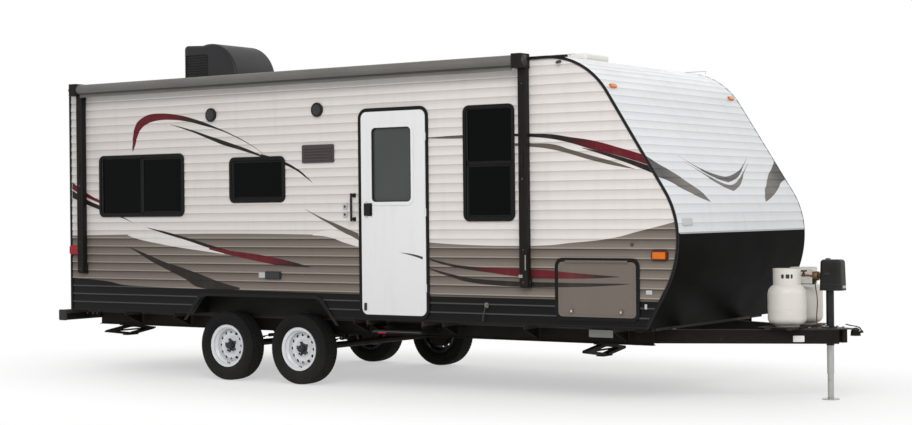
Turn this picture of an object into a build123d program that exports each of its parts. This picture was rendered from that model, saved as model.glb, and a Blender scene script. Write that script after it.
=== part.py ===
"""A travel caravan: a boxed living body on a tandem-axle frame with an A-frame drawbar.

Millimetres. X points forward to the hitch, Y to the street side, Z up. The origin is the centre of
the hitch ball. Lengths along the body are written from the outer face of the rear wall and heights
from the ground; along() and height() turn them into the frame.
"""

import os
from math import acos, asin, atan2, cos, degrees, pi, radians, sin, sqrt, tan

from build123d import *

os.makedirs("parts", exist_ok=True)

# ---------------------------------------------------------------- driving dimensions
BALL_TO_REAR = 7715.0        # hitch ball centre to the rear wall
BALL_HEIGHT = 545.0          # hitch ball centre above the ground
BODY_WIDTH = 2438.0          # over the siding
BODY_FLOOR_EDGE = 612.0      # height of the lower edge of the walls
BODY_TOP = 2820.0            # height of the roof

NOSE_REACH = 6764.0          # rear wall to the foremost point of the front wall
NOSE_HEIGHT = 1330.0         # height of that point
FRONT_SLOPE = 57.5           # slope of the upper front wall, degrees below level
ROOF_RADIUS = 680.0          # bend from the roof into the slope
BROW_RADIUS = 700.0          # bend from the slope to the nose
CHIN_RADIUS = 850.0          # bend from the nose to the undercut
CHIN_TURN = 30.0             # degrees that the undercut leans back

WALL = 38.0                  # side and rear wall core
FRONT_WALL = 45.0            # front wall core
ROOF_SLAB = 50.0
FLOOR_SLAB = 78.0
SKIN = 6.0                   # siding, from the wall core to the outer ribs
SKIN_VALLEY = 1.2            # siding metal left in the valleys
RIB_COUNT = 28               # laps of siding up the side
BLACK_RIBS = 3               # laps in the lowest band
GREY_RIBS = 6                # laps in the middle band
NOSE_PANEL_TOP = 1370.0      # top of the smooth front panel
NOSE_PANEL = 4.0             # its thickness

TYRE_RADIUS = 322.0
TYRE_WIDTH = 198.0
RIM_RADIUS = 178.0           # bead seat
RIM_FLANGE_RADIUS = 197.0
RIM_WIDTH = 142.0            # between the flanges
HUB_FACE = 1098.0            # centreline to the middle of a wheel
AXLE_MIDDLE = 2461.0         # rear wall to the middle of the two axles
AXLE_SPACING = 866.0
AXLE_TUBE = 60.0             # diameter
SPINDLE_RADIUS = 19.0
BEARING_GAP = 0.3            # spindle to hub

RAIL_PLACE = 920.0           # centreline to the middle of a main rail
RAIL_HEIGHT = 152.0
RAIL_FLANGE = 52.0
RAIL_METAL = 7.0
RAIL_START = 120.0           # rear wall to the rails' rear ends
RAIL_END = 6380.0
DRAWBAR_ANGLE = 25.0         # each beam of the A-frame to the centreline
DRAWBAR_HEIGHT = 115.0
DRAWBAR_WIDTH = 50.0
DRAWBAR_TOP = 575.0          # height of the beams' upper face
BUMPER_SIZE = 102.0
BUMPER_REACH = 166.0         # behind the rear wall
BUMPER_BOTTOM = 506.0

BALL_SOCKET_RADIUS = 29.9    # for a ball of 58.7 mm
BALL_SOCKET_DEPTH = 26.0     # straight part of the socket

JACK_PLACE = 7500.0          # rear wall to the tongue jack
JACK_TUBE = 64.0             # outer tube diameter
JACK_LEG = 57.0              # sliding leg diameter
JACK_WALL_GAP = 0.5
JACK_TUBE_BOTTOM = 440.0
JACK_HEAD_BOTTOM = 886.0
JACK_HEAD_TOP = 1137.0
JACK_FOOT = 140.0            # foot plate diameter

DOOR_LOW = (3632.0, 629.0)   # entry door frame corner: from the rear wall, height
DOOR_HIGH = (4385.0, 2464.0)
DOOR_THICK = 42.0
FRAME_FLANGE = 26.0          # door and window frames over the siding
FRAME_PROUD = 8.0            # how far a frame stands off the siding
LEAF_GAP = 6.0               # running gap round doors and hatches
HINGE_OFF = 8.0              # hinge line outside the face of a leaf
HATCH_THICK = 30.0

HATCH_LOW = (5639.0, 664.0)
HATCH_HIGH = (6417.0, 1171.0)

AWNING_TUBE = 94.0           # diameter of the rolled awning
AWNING_OFF = 100.0           # side of the body to the tube's centre
AWNING_HEIGHT = 2786.0
AWNING_ARMS = [(200.0, 986.0), (5370.0, 933.0)]    # from the rear wall, height of the foot
ARM_WIDE = 80.0
ARM_DEEP = 60.0
HEAD_MORE = 10.0             # how much wider an arm's head and foot are, each side
AWNING_RAIL = (75.0, 5780.0) # ends of the rail along the roof, from the rear wall

# ---------------------------------------------------------------- derived places
HALF = BODY_WIDTH / 2
CORE_FACE = HALF - SKIN      # outer face of the side walls' core
CORE_INNER = CORE_FACE - WALL
GROUND = -BALL_HEIGHT
RIB = (BODY_TOP - BODY_FLOOR_EDGE) / RIB_COUNT
AXLES = [AXLE_MIDDLE - AXLE_SPACING / 2, AXLE_MIDDLE + AXLE_SPACING / 2]
SIDES = {"curb": -1, "street": 1}
ENDS = {"rear": AXLES[0], "front": AXLES[1]}


def along(from_rear):
    """X of a length measured forward from the rear wall."""
    return from_rear - BALL_TO_REAR


def height(above_ground):
    """Z of a height above the ground."""
    return above_ground - BALL_HEIGHT


REAR = along(0)
UNDER = height(BODY_FLOOR_EDGE)
TOP = height(BODY_TOP)
NOSE = along(NOSE_REACH)
NOSE_Z = height(NOSE_HEIGHT)
RAIL_TOP = UNDER
RAIL_BOTTOM = UNDER - RAIL_HEIGHT
HUB_Z = GROUND + TYRE_RADIUS

# ---------------------------------------------------------------- side outline
BROW = (NOSE - BROW_RADIUS, NOSE_Z)
CHIN = (NOSE - CHIN_RADIUS, NOSE_Z)
ROOF_BEND_Z = TOP - ROOF_RADIUS
SLOPE_NORMAL = 90 - FRONT_SLOPE   # direction that the slope faces, degrees above level
SLOPE_DROP = (ROOF_BEND_Z + ROOF_RADIUS * sin(radians(SLOPE_NORMAL))
              - BROW[1] - BROW_RADIUS * sin(radians(SLOPE_NORMAL)))
ROOF_BEND_X = (BROW[0] + (BROW_RADIUS - ROOF_RADIUS) * cos(radians(SLOPE_NORMAL))
               - SLOPE_DROP / tan(radians(FRONT_SLOPE)))
ROOF_BEND = (ROOF_BEND_X, ROOF_BEND_Z)


def on_arc(centre, radius, angle):
    """Point at an angle, in degrees from forward towards up, on an arc of the side outline."""
    return (centre[0] + radius * cos(radians(angle)), centre[1] + radius * sin(radians(angle)))


ROOF_RUN = ROOF_RADIUS * radians(FRONT_SLOPE)     # length of the bend from the roof to the slope
SLOPE_TOP = on_arc(ROOF_BEND, ROOF_RADIUS, SLOPE_NORMAL)
SLOPE_END = on_arc(BROW, BROW_RADIUS, SLOPE_NORMAL)
SLOPE_RUN = (SLOPE_TOP[1] - SLOPE_END[1]) / sin(radians(FRONT_SLOPE))


def front_point(run, inset):
    """Point inset from the front outline at a run down it from the roof, and the way it faces."""
    if run < ROOF_RUN:
        facing = 90 - degrees(run / ROOF_RADIUS)
        return on_arc(ROOF_BEND, ROOF_RADIUS - inset, facing), facing
    if run < ROOF_RUN + SLOPE_RUN:
        below = run - ROOF_RUN
        slope = radians(FRONT_SLOPE)
        point = (SLOPE_TOP[0] + below * cos(slope), SLOPE_TOP[1] - below * sin(slope))
        return on_arc(point, -inset, SLOPE_NORMAL), SLOPE_NORMAL
    facing = SLOPE_NORMAL - degrees((run - ROOF_RUN - SLOPE_RUN) / BROW_RADIUS)
    return on_arc(BROW, BROW_RADIUS - inset, facing), facing


def front_run(z):
    """Run down the front outline from the roof to a place on the bend, the slope or the brow."""
    if z > SLOPE_TOP[1]:
        return ROOF_RADIUS * acos((z - ROOF_BEND[1]) / ROOF_RADIUS)
    if z > SLOPE_END[1]:
        return ROOF_RUN + (SLOPE_TOP[1] - z) / sin(radians(FRONT_SLOPE))
    return ROOF_RUN + SLOPE_RUN + BROW_RADIUS * (radians(SLOPE_NORMAL) - asin((z - BROW[1]) / BROW_RADIUS))


def chin_foot(inset, z):
    """Where the undercut line, inset from the skin, reaches a height."""
    start = on_arc(CHIN, CHIN_RADIUS - inset, -CHIN_TURN)
    return (start[0] - (start[1] - z) * tan(radians(CHIN_TURN)), z)


def front_edges(inset, low):
    """Draw the front of the side outline in the current BuildLine, from the roof to the height low."""
    roof_r = ROOF_RADIUS - inset
    brow_r = BROW_RADIUS - inset
    chin_r = CHIN_RADIUS - inset
    roof_mid = (90 + SLOPE_NORMAL) / 2
    ThreePointArc(on_arc(ROOF_BEND, roof_r, 90), on_arc(ROOF_BEND, roof_r, roof_mid),
                  on_arc(ROOF_BEND, roof_r, SLOPE_NORMAL))
    Line(on_arc(ROOF_BEND, roof_r, SLOPE_NORMAL), on_arc(BROW, brow_r, SLOPE_NORMAL))
    ThreePointArc(on_arc(BROW, brow_r, SLOPE_NORMAL), on_arc(BROW, brow_r, SLOPE_NORMAL / 2),
                  on_arc(BROW, brow_r, 0))
    ThreePointArc(on_arc(CHIN, chin_r, 0), on_arc(CHIN, chin_r, -CHIN_TURN / 2),
                  on_arc(CHIN, chin_r, -CHIN_TURN))
    Line(on_arc(CHIN, chin_r, -CHIN_TURN), chin_foot(inset, low))


def side_outline(inset=0.0, rear=0.0, low=0.0):
    """Draw the closed side outline, inset at the front and roof, at the rear and at the lower edge."""
    front_edges(inset, UNDER + low)
    Line(chin_foot(inset, UNDER + low), (REAR + rear, UNDER + low))
    Line((REAR + rear, UNDER + low), (REAR + rear, TOP - inset))
    Line((REAR + rear, TOP - inset), on_arc(ROOF_BEND, ROOF_RADIUS - inset, 90))


# ---------------------------------------------------------------- openings in the sides
# name, low x, low z, high x, high z, corner radius; from the rear wall and the ground
WINDOWS = {
    "curb": [
        ("rear", 416, 1531, 1548, 2131, 60, ["upright"]),
        ("middle", 2119, 1652, 2792, 2074, 60, []),
        ("front", 4745, 1470, 5260, 2446, 60, ["level"]),
    ],
    "street": [
        ("rear", 416, 1531, 1548, 2131, 60, ["upright"]),
        ("galley", 3300, 1531, 4100, 2000, 60, ["upright"]),
        ("front", 4745, 1470, 5260, 2446, 60, ["level"]),
    ],
}
FRAME_BODY = 14.0            # window frame's flange beyond the cut in the wall
SASH = 30.0                  # width of a window frame seen from outside
DOOR_RADIUS = 90.0
HATCH_RADIUS = 70.0

ARCH_TOP = 785.0
ARCH_HALF_LOW = 850.0        # half length of the wheel arch at the wall's edge
ARCH_HALF_TOP = 700.0
ARCH_RADIUS = 110.0
FLARE = 30.0                 # width of the arch trim
ARCH_BELOW = 60.0            # how far the arch's outline runs below the walls' edge


def box_between(low, high, grow=0.0):
    """Centre, width and height in X and Z of a table rectangle, grown on all sides."""
    width = high[0] - low[0] + 2 * grow
    tall = high[1] - low[1] + 2 * grow
    return (along((low[0] + high[0]) / 2), height((low[1] + high[1]) / 2)), width, tall


def door_shape(low, high, radius, grow=0.0, mode=Mode.ADD):
    """Rounded rectangle in the current sketch for a door, hatch or window."""
    centre, width, tall = box_between(low, high, grow)
    with Locations(centre):
        RectangleRounded(width, tall, radius + grow, mode=mode)


def arch_shape(grow=0.0, mode=Mode.ADD):
    """Wheel arch in the current sketch, open below the wall's edge."""
    lean = (ARCH_HALF_LOW - ARCH_HALF_TOP) / (ARCH_TOP - BODY_FLOOR_EDGE)
    middle = along(AXLE_MIDDLE)
    top = height(ARCH_TOP) + grow
    low = UNDER - ARCH_BELOW
    wide = ARCH_HALF_LOW + grow + ARCH_BELOW * lean
    narrow = ARCH_HALF_TOP + grow
    with BuildSketch() as arch:
        with BuildLine():
            FilletPolyline((middle - wide, low), (middle - narrow, top), (middle + narrow, top),
                           (middle + wide, low), radius=ARCH_RADIUS + grow)
            Line((middle + wide, low), (middle - wide, low))
        make_face()
    add(arch.sketch, mode=mode)


def cut_openings(side, plane, depth, grow_windows=-FRAME_BODY, grow_doors=-FRAME_BODY):
    """Cut one side's windows, doors, hatch and wheel arch out of the part being built."""
    with BuildSketch(plane) as openings:
        for row in WINDOWS[side]:
            door_shape(row[1:3], row[3:5], row[5], grow_windows)
        if side == "curb":
            door_shape(DOOR_LOW, DOOR_HIGH, DOOR_RADIUS, grow_doors)
        door_shape(HATCH_LOW, HATCH_HIGH, HATCH_RADIUS, grow_doors)
        arch_shape()
    extrude(openings.sketch, amount=depth, both=True, mode=Mode.SUBTRACT)


def side_plane(side, distance):
    """Plane with local axes X and Z at a distance from the centreline on one side."""
    return Plane.XZ.offset(-SIDES[side] * distance)


# ---------------------------------------------------------------- walls, floor and roof
ROOF_UNDER = TOP - NOSE_PANEL - ROOF_SLAB
for side in SIDES:
    with BuildPart() as side_wall:
        with BuildSketch(side_plane(side, CORE_INNER + WALL / 2)):
            with BuildLine():
                side_outline(NOSE_PANEL, SKIN)
            make_face()
        extrude(amount=WALL / 2, both=True)
        cut_openings(side, side_plane(side, CORE_FACE), 2 * WALL)
    side_wall.part.label = f"wall_{side}"
    export_step(side_wall.part, f"parts/wall_{side}.step")

with BuildPart() as wall_rear:
    with BuildSketch(Plane.YZ.offset(REAR + SKIN)):
        with Locations((0, (ROOF_UNDER + UNDER + FLOOR_SLAB) / 2)):
            Rectangle(2 * CORE_INNER, ROOF_UNDER - UNDER - FLOOR_SLAB)
    extrude(amount=WALL)
wall_rear.part.label = "wall_rear"
export_step(wall_rear.part, "parts/wall_rear.step")

with BuildPart() as wall_front:
    with BuildSketch(Plane.XZ.offset(CORE_INNER)):
        with BuildLine():
            front_edges(NOSE_PANEL, UNDER)
            Line(chin_foot(NOSE_PANEL, UNDER), chin_foot(NOSE_PANEL + FRONT_WALL, UNDER))
            front_edges(NOSE_PANEL + FRONT_WALL, UNDER)
            Line(on_arc(ROOF_BEND, ROOF_RADIUS - NOSE_PANEL - FRONT_WALL, 90),
                 on_arc(ROOF_BEND, ROOF_RADIUS - NOSE_PANEL, 90))
        make_face()
    extrude(amount=-2 * CORE_INNER)
wall_front.part.label = "wall_front"
export_step(wall_front.part, "parts/wall_front.step")

VENT_SIZE = 360.0            # square opening of a roof vent
VENT_PLACES = {"rear": 2750.0, "front": 5150.0}
with BuildPart() as roof_panel:
    with BuildSketch(Plane.XY.offset(ROOF_UNDER)):
        with Locations(((REAR + SKIN + ROOF_BEND[0]) / 2, 0)):
            Rectangle(ROOF_BEND[0] - REAR - SKIN, 2 * CORE_INNER)
        with Locations([(along(x), 0) for x in VENT_PLACES.values()]):
            Rectangle(VENT_SIZE, VENT_SIZE, mode=Mode.SUBTRACT)
    extrude(amount=ROOF_SLAB)
roof_panel.part.label = "roof_panel"
export_step(roof_panel.part, "parts/roof_panel.step")

with BuildPart() as roof_membrane:
    with BuildSketch(Plane.XY.offset(TOP - NOSE_PANEL)):
        with Locations(((REAR + ROOF_BEND[0]) / 2, 0)):
            Rectangle(ROOF_BEND[0] - REAR, 2 * CORE_FACE)
        with Locations([(along(x), 0) for x in VENT_PLACES.values()]):
            Rectangle(VENT_SIZE, VENT_SIZE, mode=Mode.SUBTRACT)
    extrude(amount=NOSE_PANEL)
roof_membrane.part.label = "roof_membrane"
export_step(roof_membrane.part, "parts/roof_membrane.step")

WELL_INNER = 968.0           # centreline to the inner face of a wheel well
WELL_METAL = 4.0
WELL_TOP = ARCH_TOP + 15.0
with BuildPart() as floor_deck:
    with BuildSketch(Plane.XZ.offset(CORE_INNER)):
        floor_front = chin_foot(NOSE_PANEL + FRONT_WALL, UNDER)
        floor_front_top = chin_foot(NOSE_PANEL + FRONT_WALL, UNDER + FLOOR_SLAB)
        with BuildLine():
            Polyline((REAR + SKIN, UNDER), floor_front, floor_front_top, (REAR + SKIN, UNDER + FLOOR_SLAB),
                     close=True)
        make_face()
    extrude(amount=-2 * CORE_INNER)
    with BuildSketch(Plane.XY.offset(UNDER)):
        for sign in SIDES.values():
            with Locations((along(AXLE_MIDDLE), sign * (WELL_INNER + CORE_INNER) / 2)):
                Rectangle(2 * ARCH_HALF_LOW, CORE_INNER - WELL_INNER)
    extrude(amount=FLOOR_SLAB, mode=Mode.SUBTRACT)
floor_deck.part.label = "floor_deck"
export_step(floor_deck.part, "parts/floor_deck.step")

with BuildPart() as wheel_wells:
    for side in SIDES:
        with BuildSketch(side_plane(side, WELL_INNER)):
            with Locations((along(AXLE_MIDDLE), (UNDER + height(WELL_TOP)) / 2)):
                Rectangle(2 * ARCH_HALF_LOW, height(WELL_TOP) - UNDER)
        extrude(amount=-SIDES[side] * (CORE_INNER - WELL_INNER))
    for side in SIDES:
        with BuildSketch(side_plane(side, WELL_INNER + WELL_METAL)):
            with Locations((along(AXLE_MIDDLE), (UNDER + height(WELL_TOP)) / 2 - WELL_METAL)):
                Rectangle(2 * (ARCH_HALF_LOW - WELL_METAL), height(WELL_TOP) - UNDER)
        extrude(amount=-SIDES[side] * (CORE_INNER - WELL_INNER), mode=Mode.SUBTRACT)
wheel_wells.part.label = "wheel_wells"
export_step(wheel_wells.part, "parts/wheel_wells.step")

# ---------------------------------------------------------------- siding
# lap of siding, from its lower edge: share of the lap's height, share of the depth over the valley
LAP = [(0.0, 0.0), (0.06, 1.0), (0.16, 1.0), (0.46, 0.45), (1.0, 0.0)]
EDGE = 24.0                  # width of the edge mouldings
SKIRT = 12.0                 # height of the moulding along the walls' lower edge


def lap_depths(first, last, low, high):
    """Heights above the wall's edge and depths over the core of the siding's face."""
    deep = SKIN - SKIN_VALLEY
    points = [(RIB * (rib + share), SKIN_VALLEY + deep * depth)
              for rib in range(first, last) for share, depth in LAP[:-1]]
    points.append((RIB * last, SKIN_VALLEY))
    inside = [point for point in points if low < point[0] < high]
    start = (max(low, RIB * first), SKIN_VALLEY)
    end = (min(high, RIB * last), SKIN_VALLEY)
    return [start] + [point for point in inside if point not in (start, end)] + [end]


def siding_band(first, last):
    """Siding of a run of laps on both sides and the rear, cut to the body and its openings."""
    laps = lap_depths(first, last, SKIRT, TOP - UNDER - EDGE)
    with BuildPart() as band:
        for sign in SIDES.values():
            face = [(sign * (CORE_FACE + depth), UNDER + z) for z, depth in laps]
            back = [(sign * CORE_FACE, face[-1][1]), (sign * CORE_FACE, face[0][1])]
            with BuildSketch(Plane.YZ.offset(REAR)):
                Polygon(*face, *back, align=None)
            extrude(amount=NOSE_REACH)
        with BuildSketch(Plane.XZ):
            with BuildLine():
                side_outline(EDGE, EDGE, SKIRT)
            make_face()
        extrude(amount=BODY_WIDTH, both=True, mode=Mode.INTERSECT)
        for side in SIDES:
            cut_openings(side, side_plane(side, HALF), 2 * SKIN)
        face = [(REAR + SKIN - depth, UNDER + z) for z, depth in laps]
        back = [(REAR + SKIN, face[-1][1]), (REAR + SKIN, face[0][1])]
        with BuildSketch(Plane.XZ.offset(CORE_FACE - EDGE)):
            Polygon(*face, *back, align=None)
        extrude(amount=-2 * (CORE_FACE - EDGE))
    return band.part


siding_bands = {
    "siding_black": (0, BLACK_RIBS),
    "siding_grey": (BLACK_RIBS, BLACK_RIBS + GREY_RIBS),
    "siding_white": (BLACK_RIBS + GREY_RIBS, RIB_COUNT),
}
for name, (first, last) in siding_bands.items():
    band = siding_band(first, last)
    band.label = name
    export_step(band, f"parts/{name}.step")

NOSE_RUN = front_run(height(NOSE_PANEL_TOP))      # lapped length of the front, down from the roof
NOSE_LAPS = round(NOSE_RUN / RIB)
NOSE_LAP = NOSE_RUN / NOSE_LAPS
BACK_STEPS = 3               # flats of the nose siding's back in one lap
BACK_PLAY = 0.15             # keeps those flats off the bent front wall
panel_angle = front_point(NOSE_RUN, 0)[1]
with BuildPart() as nose_siding:
    face = [front_point(NOSE_LAP * (count + 1 - share), (NOSE_PANEL - SKIN_VALLEY) * (1 - depth))[0]
            for count in range(NOSE_LAPS) for share, depth in reversed(LAP[1:])]
    face.append(front_point(NOSE_RUN, NOSE_PANEL - SKIN_VALLEY)[0])
    back = [front_point(NOSE_LAP * step / BACK_STEPS, NOSE_PANEL - BACK_PLAY)[0]
            for step in range(NOSE_LAPS * BACK_STEPS + 1)]
    with BuildSketch(Plane.XZ.offset(CORE_FACE)):
        Polygon(*face, *reversed(back), align=None)
    extrude(amount=-2 * CORE_FACE)
nose_siding.part.label = "nose_siding"
export_step(nose_siding.part, "parts/nose_siding.step")

with BuildPart() as nose_panel:
    chin_inner = CHIN_RADIUS - NOSE_PANEL
    brow_inner = BROW_RADIUS - NOSE_PANEL
    with BuildSketch(Plane.XZ.offset(CORE_FACE)):
        with BuildLine():
            ThreePointArc(on_arc(BROW, BROW_RADIUS, panel_angle),
                          on_arc(BROW, BROW_RADIUS, panel_angle / 2), on_arc(BROW, BROW_RADIUS, 0))
            ThreePointArc(on_arc(CHIN, CHIN_RADIUS, 0), on_arc(CHIN, CHIN_RADIUS, -CHIN_TURN / 2),
                          on_arc(CHIN, CHIN_RADIUS, -CHIN_TURN))
            Polyline(on_arc(CHIN, CHIN_RADIUS, -CHIN_TURN), chin_foot(0, UNDER),
                     chin_foot(NOSE_PANEL, UNDER), on_arc(CHIN, chin_inner, -CHIN_TURN))
            ThreePointArc(on_arc(CHIN, chin_inner, -CHIN_TURN), on_arc(CHIN, chin_inner, -CHIN_TURN / 2),
                          on_arc(CHIN, chin_inner, 0))
            ThreePointArc(on_arc(BROW, brow_inner, 0), on_arc(BROW, brow_inner, panel_angle / 2),
                          on_arc(BROW, brow_inner, panel_angle))
            Line(on_arc(BROW, brow_inner, panel_angle), on_arc(BROW, BROW_RADIUS, panel_angle))
        make_face()
    extrude(amount=-2 * CORE_FACE)
nose_panel.part.label = "nose_panel"
export_step(nose_panel.part, "parts/nose_panel.step")

EDGE_PROUD = 4.0             # moulding outside the siding
RAIL_DROP = 13.0             # roof to the middle of the awning rail
RAIL_TALL = 20.0
RAIL_PROUD = 10.0            # rail outside the moulding
RAIL_BREAK = 1.0             # rail left out beyond an arm's head
with BuildPart() as edge_mouldings:
    for side in SIDES:
        with BuildSketch(side_plane(side, CORE_FACE)):
            with BuildLine():
                side_outline()
            make_face()
            with BuildLine():
                side_outline(EDGE, EDGE, SKIRT)
            make_face(mode=Mode.SUBTRACT)
            arch_shape(FLARE, mode=Mode.SUBTRACT)
            if side == "curb":
                door_shape(DOOR_LOW, DOOR_HIGH, DOOR_RADIUS, mode=Mode.SUBTRACT)
        extrude(amount=-SIDES[side] * (SKIN + EDGE_PROUD))
    with BuildSketch(side_plane("curb", HALF + EDGE_PROUD)):
        rail_middle = along(sum(AWNING_RAIL) / 2)
        with Locations((rail_middle, TOP - RAIL_DROP)):
            RectangleRounded(AWNING_RAIL[1] - AWNING_RAIL[0], RAIL_TALL, RAIL_TALL / 5)
        for place, foot in AWNING_ARMS:
            with Locations((along(place), TOP - RAIL_DROP)):
                Rectangle(ARM_WIDE + 2 * HEAD_MORE + RAIL_BREAK, 2 * RAIL_TALL, mode=Mode.SUBTRACT)
    extrude(amount=RAIL_PROUD)
edge_mouldings.part.label = "edge_mouldings"
export_step(edge_mouldings.part, "parts/edge_mouldings.step")

with BuildPart() as arch_flares:
    for side in SIDES:
        with BuildSketch(side_plane(side, HALF)):
            arch_shape(FLARE)
            arch_shape(mode=Mode.SUBTRACT)
        extrude(amount=-SIDES[side] * FRAME_PROUD)
arch_flares.part.label = "arch_flares"
export_step(arch_flares.part, "parts/arch_flares.step")

# ---------------------------------------------------------------- window and door frames
BAR = 16.0                   # mullion width
GLASS = 5.0
GLASS_BACK = CORE_FACE - 12.0    # inner face of the glass, from the centreline


def frame_ring(side, low, high, radius, flange):
    """Frame with its flange over the siding and its sleeve through the wall."""
    out = -SIDES[side]
    with BuildSketch(side_plane(side, HALF)) as flange_ring:
        door_shape(low, high, radius)
        door_shape(low, high, radius, -flange, mode=Mode.SUBTRACT)
    extrude(flange_ring.sketch, amount=out * FRAME_PROUD)
    with BuildSketch(side_plane(side, CORE_INNER)) as sleeve:
        door_shape(low, high, radius, -FRAME_BODY)
        door_shape(low, high, radius, -flange, mode=Mode.SUBTRACT)
    extrude(sleeve.sketch, amount=out * (WALL + SKIN))


with BuildPart() as window_frames:
    for side in SIDES:
        for name, low_x, low_z, high_x, high_z, radius, bars in WINDOWS[side]:
            frame_ring(side, (low_x, low_z), (high_x, high_z), radius, SASH)
            centre, width, tall = box_between((low_x, low_z), (high_x, high_z), -SASH)
            for bar in bars:
                with BuildSketch(side_plane(side, GLASS_BACK + GLASS)):
                    with Locations(centre):
                        Rectangle(BAR if bar == "upright" else width, tall if bar == "upright" else BAR)
                extrude(amount=-SIDES[side] * (HALF - GLASS_BACK - GLASS))
window_frames.part.label = "window_frames"
export_step(window_frames.part, "parts/window_frames.step")

with BuildPart() as window_glass:
    for side in SIDES:
        with BuildSketch(side_plane(side, GLASS_BACK)):
            for name, low_x, low_z, high_x, high_z, radius, bars in WINDOWS[side]:
                door_shape((low_x, low_z), (high_x, high_z), radius, -SASH)
        extrude(amount=-SIDES[side] * GLASS)
window_glass.part.label = "window_glass"
export_step(window_glass.part, "parts/window_glass.step")

with BuildPart() as door_frames:
    frame_ring("curb", DOOR_LOW, DOOR_HIGH, DOOR_RADIUS, FRAME_FLANGE)
    for side in SIDES:
        frame_ring(side, HATCH_LOW, HATCH_HIGH, HATCH_RADIUS, FRAME_FLANGE)
door_frames.part.label = "door_frames"
export_step(door_frames.part, "parts/door_frames.step")

# ---------------------------------------------------------------- entry door
LEAF_INSET = FRAME_FLANGE + LEAF_GAP
LEAF_FACE = HALF + FRAME_PROUD       # outer face of the door leaf
DOOR_WINDOW_LOW = (3783.0, 1644.0)
DOOR_WINDOW_HIGH = (4207.0, 2291.0)
LOCK_LOW = (3696.0, 1519.0)
LOCK_HIGH = (3793.0, 1638.0)
HINGE_LINE_X = along(DOOR_HIGH[0]) - FRAME_FLANGE
HINGE_LINE_Y = -(LEAF_FACE + HINGE_OFF)
KNUCKLE = 7.0                # radius of a hinge knuckle
KNUCKLE_LENGTH = 70.0
TAB_BACK = 2.0               # hinge tab clear of the frame's inner edge
DOOR_KNUCKLES = [900.0, 1550.0, 2200.0]
DOOR_WINDOW_RADIUS = 40.0
LOCK_RADIUS = 12.0
PADDLE_WIDE = 34.0
PADDLE_PROUD = 24.0
PADDLE_EDGE = 8.0            # round of the paddle's edges

with BuildPart() as entry_door:
    with BuildSketch(side_plane("curb", LEAF_FACE)):
        door_shape(DOOR_LOW, DOOR_HIGH, DOOR_RADIUS, -LEAF_INSET)
        door_shape(DOOR_WINDOW_LOW, DOOR_WINDOW_HIGH, DOOR_WINDOW_RADIUS, mode=Mode.SUBTRACT)
    extrude(amount=-DOOR_THICK)
    with BuildSketch(side_plane("curb", LEAF_FACE)):
        door_shape(DOOR_WINDOW_LOW, DOOR_WINDOW_HIGH, DOOR_WINDOW_RADIUS, SASH)
        door_shape(DOOR_WINDOW_LOW, DOOR_WINDOW_HIGH, DOOR_WINDOW_RADIUS, mode=Mode.SUBTRACT)
        door_shape(LOCK_LOW, LOCK_HIGH, LOCK_RADIUS)
    extrude(amount=FRAME_PROUD)
    for knuckle in DOOR_KNUCKLES:
        with BuildSketch(Plane.XY.offset(height(knuckle) - KNUCKLE_LENGTH / 2)):
            with Locations((HINGE_LINE_X, HINGE_LINE_Y)):
                Circle(KNUCKLE)
            with Locations((HINGE_LINE_X - LEAF_GAP - TAB_BACK, HINGE_LINE_Y + HINGE_OFF / 2)):
                Rectangle(2 * LEAF_GAP, HINGE_OFF)
        extrude(amount=KNUCKLE_LENGTH)
entry_door.part.label = "entry_door"
export_step(entry_door.part, "parts/entry_door.step")

with BuildPart() as door_glass:
    with BuildSketch(side_plane("curb", LEAF_FACE - DOOR_THICK / 2)):
        door_shape(DOOR_WINDOW_LOW, DOOR_WINDOW_HIGH, DOOR_WINDOW_RADIUS)
    extrude(amount=GLASS)
door_glass.part.label = "door_glass"
export_step(door_glass.part, "parts/door_glass.step")

with BuildPart() as door_lock:
    lock_centre, _, lock_tall = box_between(LOCK_LOW, LOCK_HIGH)
    with BuildSketch(side_plane("curb", LEAF_FACE + FRAME_PROUD)):
        with Locations((lock_centre[0] + 12, lock_centre[1])):
            RectangleRounded(PADDLE_WIDE, lock_tall - 30, LOCK_RADIUS)
    extrude(amount=PADDLE_PROUD)
    fillet(door_lock.faces().sort_by(Axis.Y)[0].edges(), PADDLE_EDGE)
door_lock.part.label = "door_lock"
export_step(door_lock.part, "parts/door_lock.step")

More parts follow.
